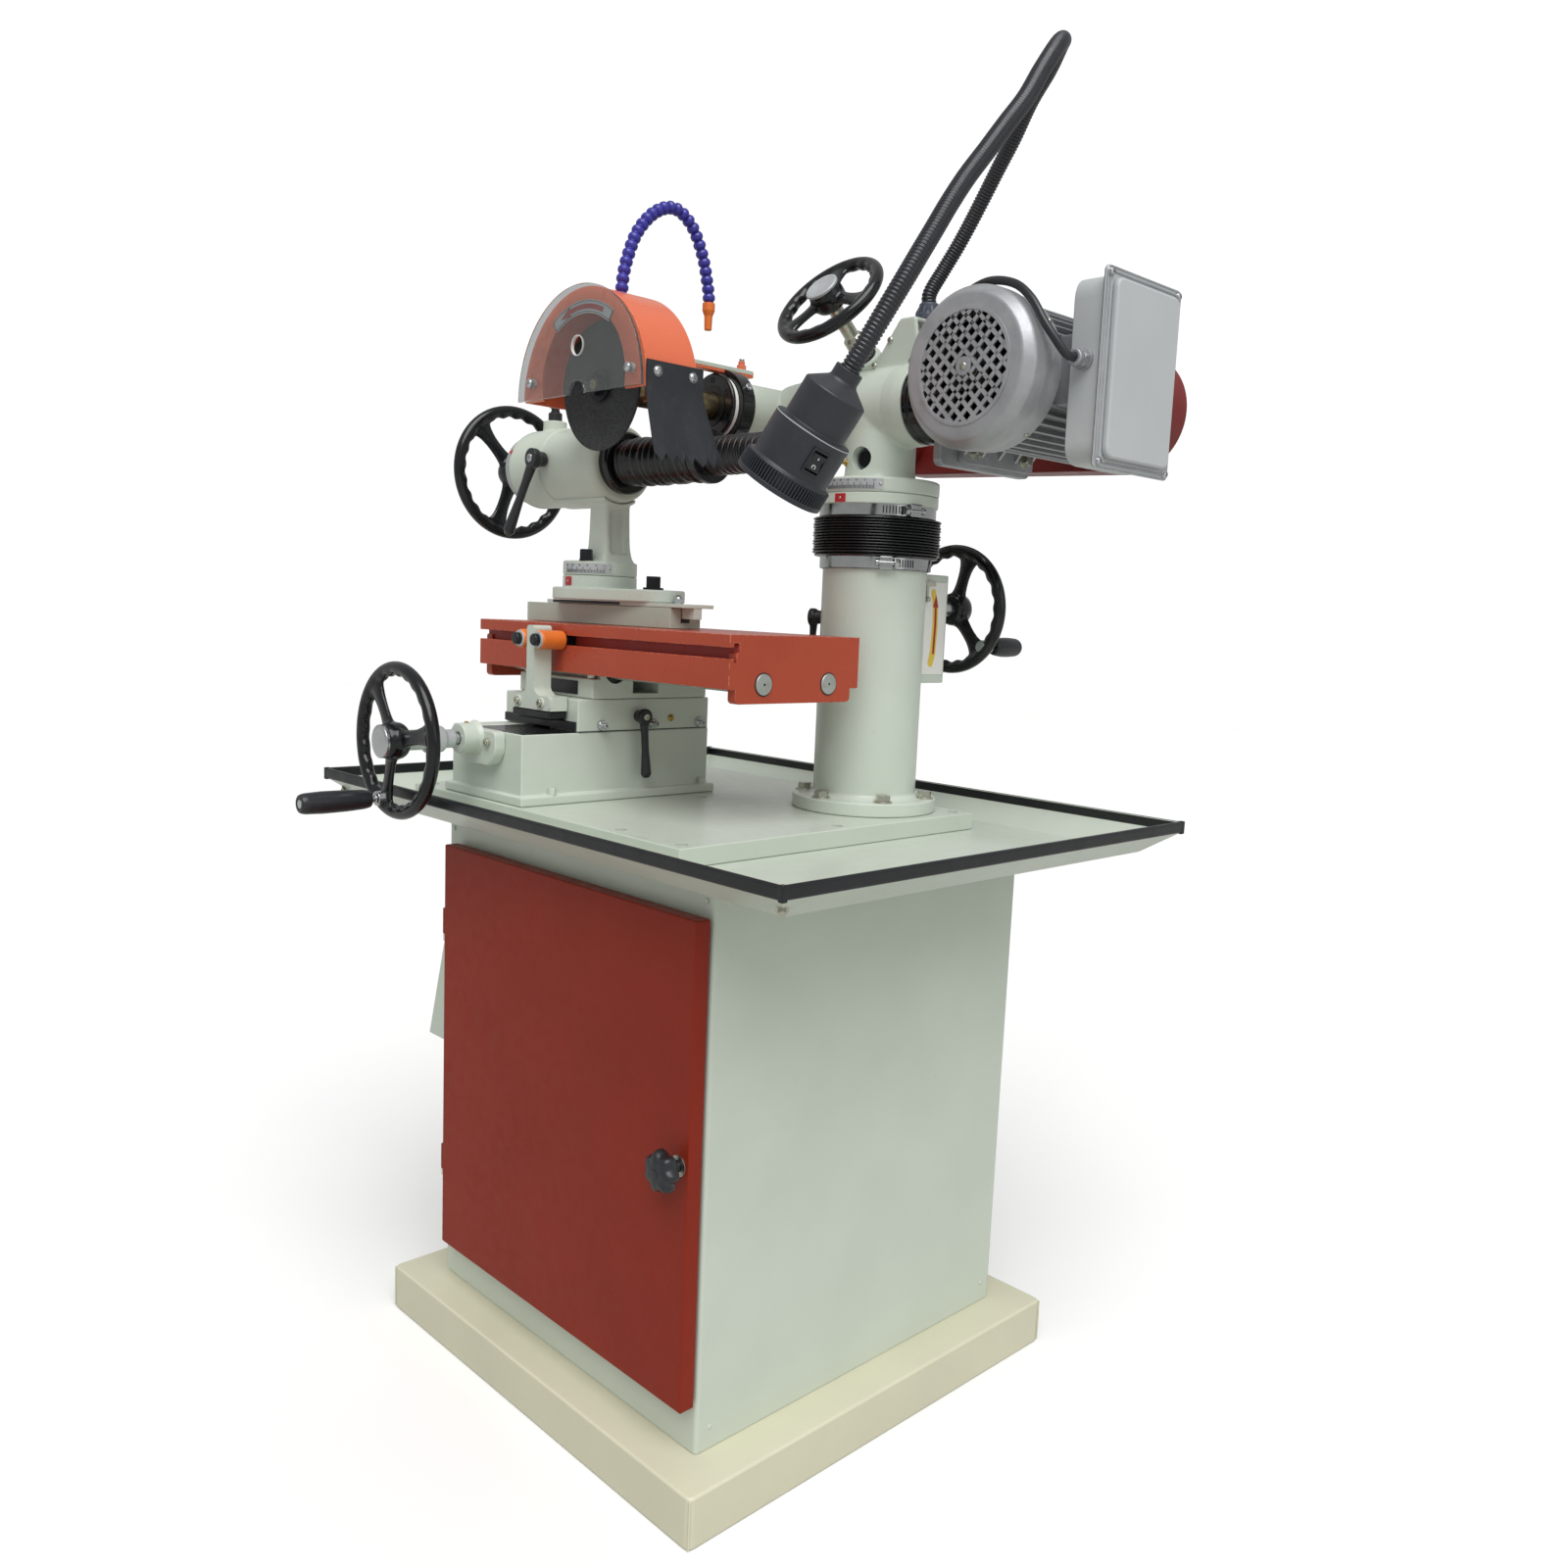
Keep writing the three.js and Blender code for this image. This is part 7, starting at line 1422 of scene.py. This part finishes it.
# Lift quill with its disc, scale and pointer, and the column's clamp lever
body = turned([(0, 864), (58, 864), (58, 1132), (70.6, 1132), (70.6, 1151.8), (79, 1151.8), (80, 1153),
    (80, 1165.2), (79.2, 1166), (30, 1166), (30, 1205.7), (0, 1205.7)], 0.8, 128, *COLUMN, steps=2)
piece("quill", body, mint_casting, "lift", ["lift_quill"])
pointer("column_pointer", "lift", (98, 151, 1158.4), 80, -86, 17, 11)
ratchet_lever("column_lever_cast", (*spot(70.3, 204, 98, 151), 1004), (*spot(1, 204), 0), (0, 0, -1),
    "column_clamp", ["column_lever"], 62, 12, 20, zinc_steel)


# Head casting: disc, stub, cross barrel, worm boss and the bracket for the lamp's conduit
disc = bush([(30.4, 1166.3), (80.5, 1166.3), (80.5, 1186), (30.4, 1186)], 1.4, 3, 128, *COLUMN)
stub = lathe([(31, 1184), (51, 1184), (48, 1190), (46.5, 1198), (46.5, 1250), (48, 1262), (31, 1262)], 96,
    *COLUMN, True)
plug = rod(45, 1206.4, 1275, *COLUMN, 64)
barrel = turned([(0, -34.8), (50, -34.8), (50, 171.8), (0, 171.8)], 3, 112, *HEAD, steps=3)
shoulder = lathe([(0, 140), (51, 140), (53, 156), (52, 171.8), (0, 171.8)], 112, *HEAD)
axis = Vector((0, *spot(1, 140)))
away = Vector((0, axis.z, -axis.y))
place = Vector((40, 151, 1281)) + 72 * away
boss = turned([(0, -34.8), (22, -34.8), (22, 31.8), (0, 31.8)], 2.4, 64, axis, place)
neck = rod(21.6, 40, 74, away, (40, 151, 1281), 48)
web = pushed(softened([(72, 1320), (168, 1320), (153, 1390), (150, 1392), (128, 1392), (125, 1390)], 3, 3,
    True), 143, 149, "y")
shelf = block(126, 152, 146, 198, 1386, 1392)
body = casting(1.8, 6, disc, stub, plug, barrel, shoulder, boss, neck, web, shelf,
    pushed([(149, 1330), (149, 1386), (185, 1386)], 136, 142, "x"), block(76, 164, 137, 165, 1312, 1328))
body = carved(body, rod(30.4, -60, 200, *HEAD, 96), rod(30.6, 1150, 1206.3, *COLUMN, 72),
    rod(8.4, -60, 60, axis, place, 48), rod(15, 90, 131, Y_AXIS, (104, 0, 1212), 48))
piece("head_body", body, mint_casting, "head", ["head_casting"], angle=50)
strands = []
for turn in (1, -1):
    for start in range(6):
        coil = []
        for i in range(25):
            a = start * pi / 3 + turn * pi * 1.4 * i / 24
            coil.append((104 + 11.4 * cos(a), 114 + 15 * i / 24, 1212 + 11.4 * sin(a)))
        strands.append(sweep(coil, circle(0.9, 8), Y_AXIS))
piece("head_hole_spring", joined(*strands), braid_blue, "head")
piece("head_hole_core", rod(10.4, 113, 130, Y_AXIS, (104, 0, 1212), 32), dark_steel, "head")
piece("head_oiler", turned([(0, 0), (4.6, 0), (4.6, 3), (2.8, 4.4), (2.8, 7), (3.6, 8), (3.2, 9.6),
    (0, 10)], 0.6, 28, Vector((-0.5, -0.85, 0.12)), (74.4, 112.2, 1208)), brass, "head")
fasten("bracket_plate_screws", cross_screw(4.4, 2.8), [((112, 149 - 6.1, 1366), (0, -1, 0)),
    ((86, 149 - 6.1, 1336), (0, -1, 0)), ((150, 142.9, 1336), (0, -1, 0))], zinc_steel, "head")
round_scale("column_scale", "head", (98, 151, 0), 80.5, 1169.5, 1183, -106, -44, 40,
    ("50", "40", "30", "20", "10", "0", "10"), 3.4)
fasten("column_scale_rivet", rivet(1.8, 1.2), [((*spot(81.4, -46.6, 98, 151), 1176), (0.6, -0.8, 0))],
    zinc_steel, "head")
piece("worm_seal", bush([(8.6, 0), (17, 0), (17, 3), (12, 5.5), (8.6, 5.5)], 0.6, 2, 48, axis,
    place + axis * 31.9), dark_steel, "head")
piece("worm_nut", moved(carved(hex_bolt(24, 9), rod(8.2, -3, 14)), facing(axis, place + axis * 37.4, 0.3)),
    zinc_steel, "head")


# Gland, ribbed conduit and lamp
body = bush([(6, 1392.3), (16, 1392.3), (16, 1401), (13, 1404), (13, 1414.5), (11, 1416.3), (6, 1416.3)],
    1.2, 3, 48, Z_AXIS, (139, 185, 0))
wings = []
for i in range(10):
    turn = about((139, 185, 0), 2 * pi * i / 10, "Z")
    wings.append(moved(pushed(softened([(10, 1393), (18, 1393), (17.2, 1404), (13, 1412), (10, 1412)], 1.4,
        3, True), -1.7, 1.7, "y"), turn))
piece("gland_nut", joined(eased(joined(*wings), 0.4), body), gland_moulding, "head", ["conduit_gland"])
route = [(139, 185, 1412), (139.1, 185.1, 1429), (149.5, 196, 1457), (168, 201, 1486), (187, 203, 1515),
    (207, 202, 1543), (228, 199, 1570), (254, 193, 1599), (284, 182, 1631), (322, 162, 1651),
    (360, 128, 1657.4), (391, 88, 1642), (415, 45, 1616), (434, -5, 1572), (445, -43, 1532),
    (451, -80, 1496), (455, -113, 1462), (458, -145, 1429), (461, -172, 1398), (463, -195, 1368.5),
    (463, -215, 1341), (460, -232, 1314), (450.5, -247, 1282.5), (437.5, -258, 1252), (426.9, -261.9, 1234.4)]
piece("conduit", ribbed(smooth_route(route, 300), 250, 9.9, 8.3, conduit_plastic, 20, 4, 0.55),
    conduit_plastic, "head", ["lamp_conduit"], soft=True)


lamp_axis = Vector((-0.51, -0.189, -0.84))
lamp_frame = facing(lamp_axis, (426.7, -262, 1234.2), radians(-121))

# Lamp
shell = bush([(10.2, -1.5), (14, -1.5), (14, 9.5), (15.5, 11.5), (32, 23), (32, 60), (36.5, 60.6),
    (40, 61.6), (40, 103.5), (41.6, 105), (43, 106), (43, 124.6), (42, 126), (39, 126), (36, 105.6),
    (10.2, 105.6)], 1.4, 4, 120)
shell = carved(shell, block(32.8, 48, -7.3, 7.3, 72.2, 92.8))
piece("lamp_shell", moved(shell, lamp_frame), lamp_moulding, "head", ["lamp_body"])
piece("lamp_seam", moved(lathe([(39.4, 62.2), (40.15, 62.2), (40.15, 63), (39.4, 63)], 120, ring=True),
    lamp_frame), tie_nylon, "head")
piece("lamp_ribs", moved(in_a_ring(eased(block(42.4, 45.7, -0.8, 0.8, 107, 124), 0.5, 2), 84, 0.001,
    lamp_moulding), lamp_frame), lamp_moulding, "head")
piece("lamp_rim", moved(bush([(38, 121), (45.9, 121), (45.9, 126), (39, 126), (38, 124)], 0.8, 3, 120),
    lamp_frame), lamp_moulding, "head")
piece("lamp_reflector", moved(turned([(0, 107), (33, 107), (38.4, 121.4), (37.4, 121.4), (32, 108.2),
    (0, 108.2)], 0.5, 96), lamp_frame), bright_steel, "head")
piece("lamp_glass", moved(turned([(0, 120.6), (37.8, 120.6), (37.8, 122.6), (0, 123.4)], 0.3, 96),
    lamp_frame), lamp_lens, "head")
piece("lamp_bulb", moved(lathe([(0, 108.4), (12, 108.4), (14, 111), (14, 114), (10, 118), (0, 119)], 48),
    lamp_frame), white_ink, "head")
piece("switch_bezel", moved(carved(eased(block(39.2, 41.4, -9.6, 9.6, 70, 95), 0.5),
    block(33, 45, -7.3, 7.3, 72.2, 92.8)), lamp_frame), black_moulding, "head")
rocker = pushed(softened([(35.6, 74.1), (40.2, 74.1), (42.8, 75.1), (39.6, 82.5), (42.0, 90.9),
    (40.2, 90.9), (35.6, 90.9)], 0.8, 3, True), -6.9, 6.9, "y")
piece("rocker", moved(eased(rocker, 0.4), lamp_frame), black_moulding, "switch", ["lamp_switch"])
mark = joined(block(41.0, 41.9, -0.4, 0.4, 76, 79.6),
    moved(lathe([(1.5, 0), (2.1, 0), (2.1, 0.9), (1.5, 0.9)], 24, ring=True),
    facing((1, 0, 0), (40.4, 0, 87.1))))
piece("rocker_marks", moved(mark, lamp_frame), white_ink, "switch")


# Tilt shaft with its collar and motor plate, spindle housing, motor, fan cover and terminal box
shaft = turned([(0, -52.6), (30, -52.6), (30, 172.2), (50, 172.2), (52, 174), (52, 180), (49.4, 181.5),
    (49.4, 183.5), (52, 185), (52, 195), (50, 197.2), (0, 197.2)], 1.0, 120, *HEAD, steps=3)
piece("tilt_collar", shaft, collar_enamel, "tilt_unit", ["tilt_shaft"])
piece("motor_plate", eased(pushed(softened([(140, 1202), (331, 1202), (331, 1402), (140, 1402)], 10, 5,
    True), 197, 209.7, "x"), 1.6, 3), silver_lacquer, "tilt_unit")
piece("cable_grommet", bush([(5.2, 0), (8, 0), (8, 9), (7, 11.6), (5.2, 11.6)], 0.8, 2, 36, -Y_AXIS,
    (204, 146, 1367)), rubber, "tilt_unit")

# Spindle housing
tube = bush([(18.2, 28), (38, 28), (38, 398), (18.2, 398)], 1.6, 3, 112, *SPINDLE)
boss = casting(1.6, 5, tube, lathe([(30.6, -70), (44, -70), (46, -52), (46, -35.6), (30.6, -35.6)], 96,
    *HEAD, True))
boss = carved(boss, rod(18.2, 20, 410, *SPINDLE, 64), rod(30.5, -52.9, 0, *HEAD, 80))
piece("spindle_tube", boss, mint_enamel, "tilt_unit", ["spindle_housing"], angle=50)
piece("spindle_pale_ring", bush([(18.2, 20), (41, 20), (41, 27.8), (18.2, 27.8)], 0.9, 2, 112, *SPINDLE),
    white_ink, "tilt_unit")
piece("spindle_cap", bush([(18.2, 14), (41.6, 14), (44, 16), (44, 20), (18.2, 20)], 1.2, 3, 112, *SPINDLE),
    collar_enamel, "tilt_unit")
piece("spindle_seal", bush([(18.4, 0), (27, 0), (27, 1.2), (18.4, 1.2)], 0.4, 2, 80, -Y_AXIS,
    (-91, 14, 1281)), rubber, "tilt_unit")
places = [((x, 14, z), (0, -1, 0)) for x, z in circle(34, 6, radians(28), centre=(-91, 1281))]
fasten("spindle_cap_screws", carved(rod(4.2, -3, 0.3), pushed(hexagon(3.6), -2.5, 2)), places, dark_steel,
    "tilt_unit")

# Motor
core = carved(rod(78, 118.2, 394.8, *MOTOR, 96), rod(70, 127, 386, *MOTOR, 72),
    rod(14.3, 100, 410, *MOTOR, 48))
fin = eased(block(77, 86, -1.35, 1.35, 0, 252), 0.5, 1)
fins = []
for i in range(44):
    a = 2 * pi * (i + 0.5) / 44
    if -0.74 <= cos(a) <= 0.9:
        fins.append(moved(fin.copy(), about((300, 128, 1302), -a, "Y") @ Matrix.Rotation(-pi / 2, 4, "X")))
front = bush([(14.4, 118.2), (90, 118.2), (90, 126), (86, 129), (79, 131), (14.4, 131)], 1.2, 3, 110, *MOTOR)
back = bush([(14.4, 372), (84, 372), (86, 376), (86, 388), (70, 394.8), (14.4, 394.8)], 1.6, 3, 110, *MOTOR)
piece("motor_barrel", joined(core, *fins, front, back, eased(block(366, 394.7, 146, 271, 1262, 1342), 2,
    3)), silver_lacquer, "tilt_unit", ["motor_body"])
feet = []
for z0, z1 in ((1236, 1252), (1352, 1368)):
    feet.append(pushed(softened([(210, z0), (262, z0), (262, z1), (210, z1)], 3, 3, True), 177, 323, "y"))
for z0, z1 in ((1208, 1240), (1364, 1396)):
    feet.append(pushed(softened([(175, z0), (325, z0), (325, z1), (175, z1)], 7, 4, True), 210, 219, "x"))
    for y in (178, 214, 250, 286, 318):
        inner, outer = (z1, z0 + 4) if z0 < 1300 else (z0, z1 - 4)
        feet.append(pushed([(214, inner), (214, outer), (236, inner)], y - 2.5, y + 2.5, "y"))
piece("motor_feet", eased(joined(*feet), 0.8, 2), silver_lacquer, "tilt_unit")
fasten("motor_bolts", hex_bolt(13, 8, 10.5, 2), [((219, y, z), (1, 0, 0)) for y in (196, 304)
    for z in (1224, 1380)], zinc_steel, "tilt_unit")
piece("motor_lift_plug", rod(4, 0, 2.5, Z_AXIS, (300, 250, 1388), 24, 0.6), silver_lacquer, "tilt_unit")

# Fan cover
cup = bush([(66.4, 62), (84, 62), (94, 74), (94, 96), (91.6, 108), (91.6, 128.6), (89.4, 128.6),
    (89.4, 108), (91.6, 96), (91.6, 75), (83, 64.6), (66.4, 64.6)], 3.4, 4, 128, *MOTOR)
piece("fan_cup", cup, silver_lacquer, "tilt_unit", ["fan_cover"])
frame_ring = bush([(63.4, 60.9), (68.4, 60.9), (68.4, 63), (63.4, 63)], 0.7, 2, 128, *MOTOR)
bars = grown(crossed_bars, shape([(0, 0, 0)], []), silver_lacquer, Radius=65.0, Pitch=13.4, Bar=4.9,
    Depth=2.4, Count=9)
stand = about((300, 63.4, 1302), pi / 2, "X") @ Matrix.Rotation(pi / 4, 4, "Z")
bars = moved(bars, stand)
piece("fan_grill", joined(frame_ring, bars, turned([(0, 62), (11, 62), (11, 64.6), (0, 64.6)], 0.6, 48,
    *MOTOR)), silver_lacquer, "tilt_unit")
fasten("fan_grill_screw", cross_screw(4.6, 2.4), [((300, 62.1, 1302), (0, -1, 0))], zinc_steel, "tilt_unit")
screws = [((x, 122, z), (x - 300, 0, z - 1302)) for x, z in circle(91.7, 4, radians(35), centre=(300, 1302))]
fasten("fan_cup_screws", cross_screw(3.2, 2), screws, zinc_steel, "tilt_unit")

# Rotor
shaft = turned([(0, 73), (13.8, 73), (13.8, 434.8), (0, 434.8)], 1, 48, *MOTOR)
pulley = bush([(13, 434.9), (45, 434.9), (45, 436.6), (43.4, 437.4), (43.4, 459), (45, 459.8), (45, 461),
    (13, 461)], 0.6, 2, 96, *MOTOR)
blades = []
for i in range(6):
    turn = about((300, 0, 1302), 2 * pi * i / 6, "Y")
    blades.append(moved(eased(block(12, 78, 73.2, 95, -2, 2), 0.8), turn))
piece("fan", joined(bush([(13, 73.2), (28, 73.2), (34, 95), (13, 95)], 2, 3, 56, *MOTOR), *blades),
    black_moulding, "motor_shaft")
piece("rotor_shaft", joined(shaft, pulley), zinc_steel, "motor_shaft", ["motor_rotor"])


def rounded_slab(x0, x1, y0, y1, z0, z1, radius):
    return pushed(softened([(y0, z0), (y1, z0), (y1, z1), (y0, z1)], radius, 6, True), x0, x1, "x")


# Terminal box
piece("box_case", eased(rounded_slab(395.2, 437.6, 138, 279, 1193, 1404, 26), 2, 3), box_enamel,
    "tilt_unit", ["terminal_box"])
piece("box_lid", joined(eased(rounded_slab(437.4, 441.2, 132.2, 292.8, 1187.2, 1409.8, 6), 1.2, 3),
    eased(rounded_slab(440.8, 449.6, 144, 281, 1199, 1398, 13), 3.4, 5)), box_enamel, "tilt_unit")
piece("box_gasket", rounded_slab(436.4, 437.6, 133.6, 291.4, 1188.6, 1408.4, 5), rubber, "tilt_unit")
beads = []
for inset, x, r in ((0.9, 440.6, 1.6), (5.6, 441.2, 1.4)):
    outline = softened([(133 + inset, 1188 + inset), (292 - inset, 1188 + inset),
        (292 - inset, 1409 - inset), (133 + inset, 1409 - inset)], 7, 6, True)
    beads.append(sweep([(x, y, z) for y, z in outline], circle(r, 10), X_AXIS, True))
piece("box_lid_beads", joined(*beads), bright_edge, "tilt_unit")
fasten("box_screws", joined(cross_screw(4.6, 3.6), rod(6, -1.2, 0.6)), [((442, y, z), (1, 0, 0))
    for y in (139.5, 285.5) for z in (1194.5, 1402.5)], bright_steel, "tilt_unit")
gland = bush([(5.1, 116), (8.6, 116), (9.6, 118), (9.6, 124), (5.1, 124)], 0.8, 2, 40, Y_AXIS, (415, 0, 1309))
piece("box_gland", joined(gland, moved(carved(hex_bolt(19.5, 10), rod(5.2, -3, 14)),
    facing(-Y_AXIS, (415, 134.5, 1309), 0.2)), rod(12, 134, 138.4, Y_AXIS, (415, 0, 1309), 40, 0.8)),
    silver_lacquer, "tilt_unit")

# Motor cable
route = [(415, 118, 1309), (414, 103, 1310), (404, 93, 1327), (391.5, 88, 1346), (371.5, 88, 1374),
    (343, 92, 1394.5), (300, 100, 1404), (257, 108, 1395.5), (234, 113, 1384), (214, 116, 1373),
    (205, 119, 1368), (204, 126, 1367), (204, 142, 1367)]
piece("motor_lead", sweep(smooth_route(route, 150), circle(5, 24), X_AXIS), black_moulding, "tilt_unit",
    ["motor_cable"], soft=True)


# Belt guard and the belt inside it
def belt_outline(x0, z0, r0, x1, z1, r1):
    """Line that a belt takes round two circles, the second the larger."""
    reach = hypot(x1 - x0, z1 - z0)
    lean = asin((r1 - r0) / reach)
    aim = atan2(z1 - z0, x1 - x0)
    small = circle(r0, 48, aim + pi / 2 + lean, pi - 2 * lean, (x0, z0))
    return small + circle(r1, 48, aim - pi / 2 - lean, pi + 2 * lean, (x1, z1))


# Belt guard
outer = pushed(belt_outline(-91, 1281, 50, 276, 1302, 82), 420, 476, "y")
shell = carved(eased(outer, 2.4, 3), pushed(belt_outline(-91, 1281, 47, 276, 1302, 79), 423, 473, "y"),
    rod(20, 410, 430, *SPINDLE, 48), rod(20, 410, 430, *MOTOR, 48))
piece("belt_case", joined(shell, lathe([(20, 398.4), (38, 398.4), (38, 421), (20, 421)], 72, *SPINDLE,
    True)), belt_enamel, "tilt_unit", ["belt_guard"])
fasten("belt_case_screws", cross_screw(5, 2.6), [((x, 473.4, z), (0, 1, 0)) for x, z in ((-110, 1312),
    (-110, 1250), (90, 1340), (90, 1242), (330, 1346), (330, 1258))], zinc_steel, "tilt_unit")
loop = carved(pushed(belt_outline(-91, 1281, 36.6, 300, 1302, 50), 435.3, 460.7, "y"),
    pushed(belt_outline(-91, 1281, 32.4, 300, 1302, 45.4), 425, 470, "y"))
piece("belt", eased(loop, 0.6, 2, 50), belt_weave, "tilt_unit", ["drive_belt"])


# Spindle with its bronze nose and the dished grinding wheel
shaft = turned([(0, -181), (6.4, -181), (7, -179), (7, -150), (18, -142), (18, 13.6), (15, 13.8),
    (15, 434.6), (32, 434.6), (32, 461), (0, 461)], 0.8, 80, *SPINDLE, steps=2)
piece("spindle_nose", joined(shaft, bush([(7, -149.6), (27, -149.6), (27, -142.8), (17, -142.8)], 1.0, 3,
    80, *SPINDLE)), nose_bronze, "wheel_spindle", ["spindle"])
nut = moved(hex_bolt(22, 9.5), facing(-Y_AXIS, (-91, -171, 1281), 0.35))
piece("wheel_nut", joined(nut, turned([(0, -173.4), (20, -173.4), (20, -170.4), (0, -170.4)], 0.6, 56,
    *SPINDLE)), dark_steel, "wheel_spindle")
dish = bush([(7.2, -166), (30, -166), (36, -165.4), (62, -169.6), (79.4, -170), (80, -168.6),
    (79.2, -166.4), (50, -153), (38, -150.2), (7.2, -150.2)], 1.2, 4, 128, *SPINDLE)
piece("dish_wheel", dish, wheel_grit, "wheel_spindle", ["grinding_wheel"])


# Wheel guard with its window, arrow plate, clamp ring, flap and coolant hose
drum = carved(pushed(circle(129, 72, 0, pi, HOOD), -197, -119, "y"), pushed(circle(125, 128, centre=HOOD),
    -193, -123, "y"), rod(88, -205, -190, *SPINDLE, 128), rod(30, -130, -110, *SPINDLE, 64))
drum = eased(drum, 0.8, 2, 45)
bar = eased(block(-99, -83, -121, 82, 1326.5, 1335.5), 1.2, 2)
ring = bush([(38.4, 28.4), (50, 28.4), (50, 49.6), (38.4, 49.6)], 1, 2, 100, *SPINDLE)
piece("guard_drum", joined(drum, bar), guard_enamel, "wheel_guard", ["guard_hood"])
piece("guard_bar_top", eased(block(-98.4, -82.7, -118, 80, 1330.8, 1335.8), 0.2, 1), mint_enamel,
    "wheel_guard")
piece("guard_clamp_ring", carved(ring, block(-93, -89, 20, 60, 1232, 1252)), collar_enamel, "wheel_guard")
x, z = spot(49.6, 28, -91, 1281)
fasten("guard_clamp_screw", socket_screw(5, 4.6), [((x, 39, z), (0.88, 0, 0.47))], bright_steel,
    "wheel_guard")
piece("guard_post", shifted(joined(pushed(hexagon(11.4), 0, 7), rod(4.6, 6.6, 11.8, sides=32, edge=0.6)),
    -91, 66, 1335.4), guard_enamel, "wheel_guard")
fasten("guard_post_screw", socket_screw(3.6, 4), [((-91, 66, 1347), (0.2, -0.1, 1))], bright_steel,
    "wheel_guard")

# Guard window with its arrow plate
sheet = pushed(circle(131, 96, 0, pi, HOOD) + circle(16, 24, pi, -pi, HOOD), -206.8, -203.2, "y")
sheet = eased(carved(sheet, rod(12, -212, -198, Y_AXIS, (-91, 0, 1324), 56)), 0.4, 1, 50)
piece("guard_pane", sheet, window_acrylic, "wheel_guard", ["guard_window"])
stands = []
for x in (-195, 13):
    stands.append(bush([(3, -203), (6, -203), (6, -197.3), (3, -197.3)], 0.5, 2, 36, Y_AXIS, (x, 0, 1288)))
piece("pane_spacers", joined(*stands), tie_nylon, "wheel_guard")
fasten("pane_screws", joined(cross_screw(4.6, 2.6), rod(6, -0.1, 0.9, edge=0.3)),
    [((x, -206.9, 1288), (0, -1, 0)) for x in (-195, 13)], bright_steel, "wheel_guard")
# White ring in the window's hole: painted glint on its rim
piece("pane_hole_rim", lathe([(11.6, -207), (12.4, -207), (12.4, -203), (11.6, -203)], 56, Y_AXIS,
    (-91, 0, 1324), True), white_ink, "wheel_guard")
band, inner = [circle(r, 32, radians(56), radians(68), HOOD) for r in (113, 97)]
piece("arrow_plate", pushed(softened(band + inner[::-1], 3, 3, True), -198.0, -197.2, "y"), scale_alloy,
    "wheel_guard")
band, inner = [circle(r, 32, radians(56), radians(68), HOOD) for r in (113 * 0.985, 97 * 1.02)]
border = [(x, -198.1, z) for x, z in softened(band + inner[::-1], 2, 3, True)]
piece("arrow_plate_border", sweep(border, circle(0.45, 6), Y_AXIS, True), black_ink, "wheel_guard")
outer, lower = [circle(r, 24, radians(66), radians(38), HOOD) for r in (108, 102)]
head = [spot(111.6, 104, *HOOD), spot(105, 116, *HOOD), spot(98.4, 104, *HOOD)]
piece("arrow_mark", pushed(outer + head + lower[::-1], -198.35, -197.9, "y"), red_ink, "wheel_guard")

# Splash flap
rows = []
chance = random.Random(9)
columns = 53
teeth = [chance.uniform(8, 14) for _ in range(8)]
for k in range(columns):
    across = k / (columns - 1)
    share = across * 6.5
    bottom = 1178 + teeth[int(share)] * abs(share % 1 - 0.5) * 2
    column = []
    for z, x in ((1296, 38.3), (1284, 38.3), (1270, 38.6), (1258, 39.6), (1240, 43.2), (1222, 48.0),
            (1204, 52.8), (bottom, 38.3 + 22 * (1268 - bottom) / 90)):
        drop = max(0, (1262 - z) / 84)
        curl = 1.6 * sin(k * 0.18) * drop
        column.append((x + curl, -199 + 86 * across * (1 + 0.22 * drop), z))
    rows.append(column)
count = len(rows[0])
points = [p for column in rows for p in column]
faces = [(k * count + j, k * count + j + 1, (k + 1) * count + j + 1, (k + 1) * count + j)
    for k in range(columns - 1) for j in range(count - 1)]
piece("rubber_flap", tidied(shifted(worked(shape(points, faces),
    ("SOLIDIFY", {"thickness": 2.4, "offset": 0.0})), 1.3, 0, 0)), flap_rubber, "wheel_guard",
    ["splash_flap"], angle=50)
fasten("flap_screws", joined(cross_screw(5.4, 3.2), rod(6.4, -0.1, 1.0, edge=0.3)),
    [((40.7, y, 1284), (1, 0, 0)) for y in (-183, -129)], bright_steel, "wheel_guard")

# Jointed coolant hose
route = [(-91, -140, 1395.6), (-91, -140, 1412), (-91, -134, 1440), (-91, -118, 1478), (-91, -90, 1508),
    (-91, -58, 1519), (-91, -29, 1503), (-91, -9, 1468), (-91, 1, 1432), (-91, 3.4, 1418)]
held = set_down("pattern", bush([(4.2, -6.6), (6.4, -6.6), (8.4, -3.4), (8.4, 0.2), (7.0, 2.4), (5.8, 3.6),
    (5.8, 6.0), (4.2, 6.0)], 0.9, 3, 32))
mesh = grown(links_on_a_path, path_mesh(smooth_route(route, 80)), hose_blue, Link=held, Count=27)
bpy.data.objects.remove(held)
piece("coolant_links", mesh, hose_blue, "wheel_guard", ["coolant_hose"])
piece("coolant_nozzle", bush([(3.4, 1378.2), (5.0, 1378.2), (5.6, 1396), (8.4, 1403), (8.4, 1413),
    (3.4, 1413)], 0.8, 3, 48, Z_AXIS, (-91, 3.4, 0)), nozzle_orange, "wheel_guard")
piece("coolant_base", turned([(0, 1391), (8.4, 1391), (8.4, 1397), (6, 1399), (0, 1399)], 0.8, 40, Z_AXIS,
    (-91, -140, 0)), hose_blue, "wheel_guard")


low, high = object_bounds()
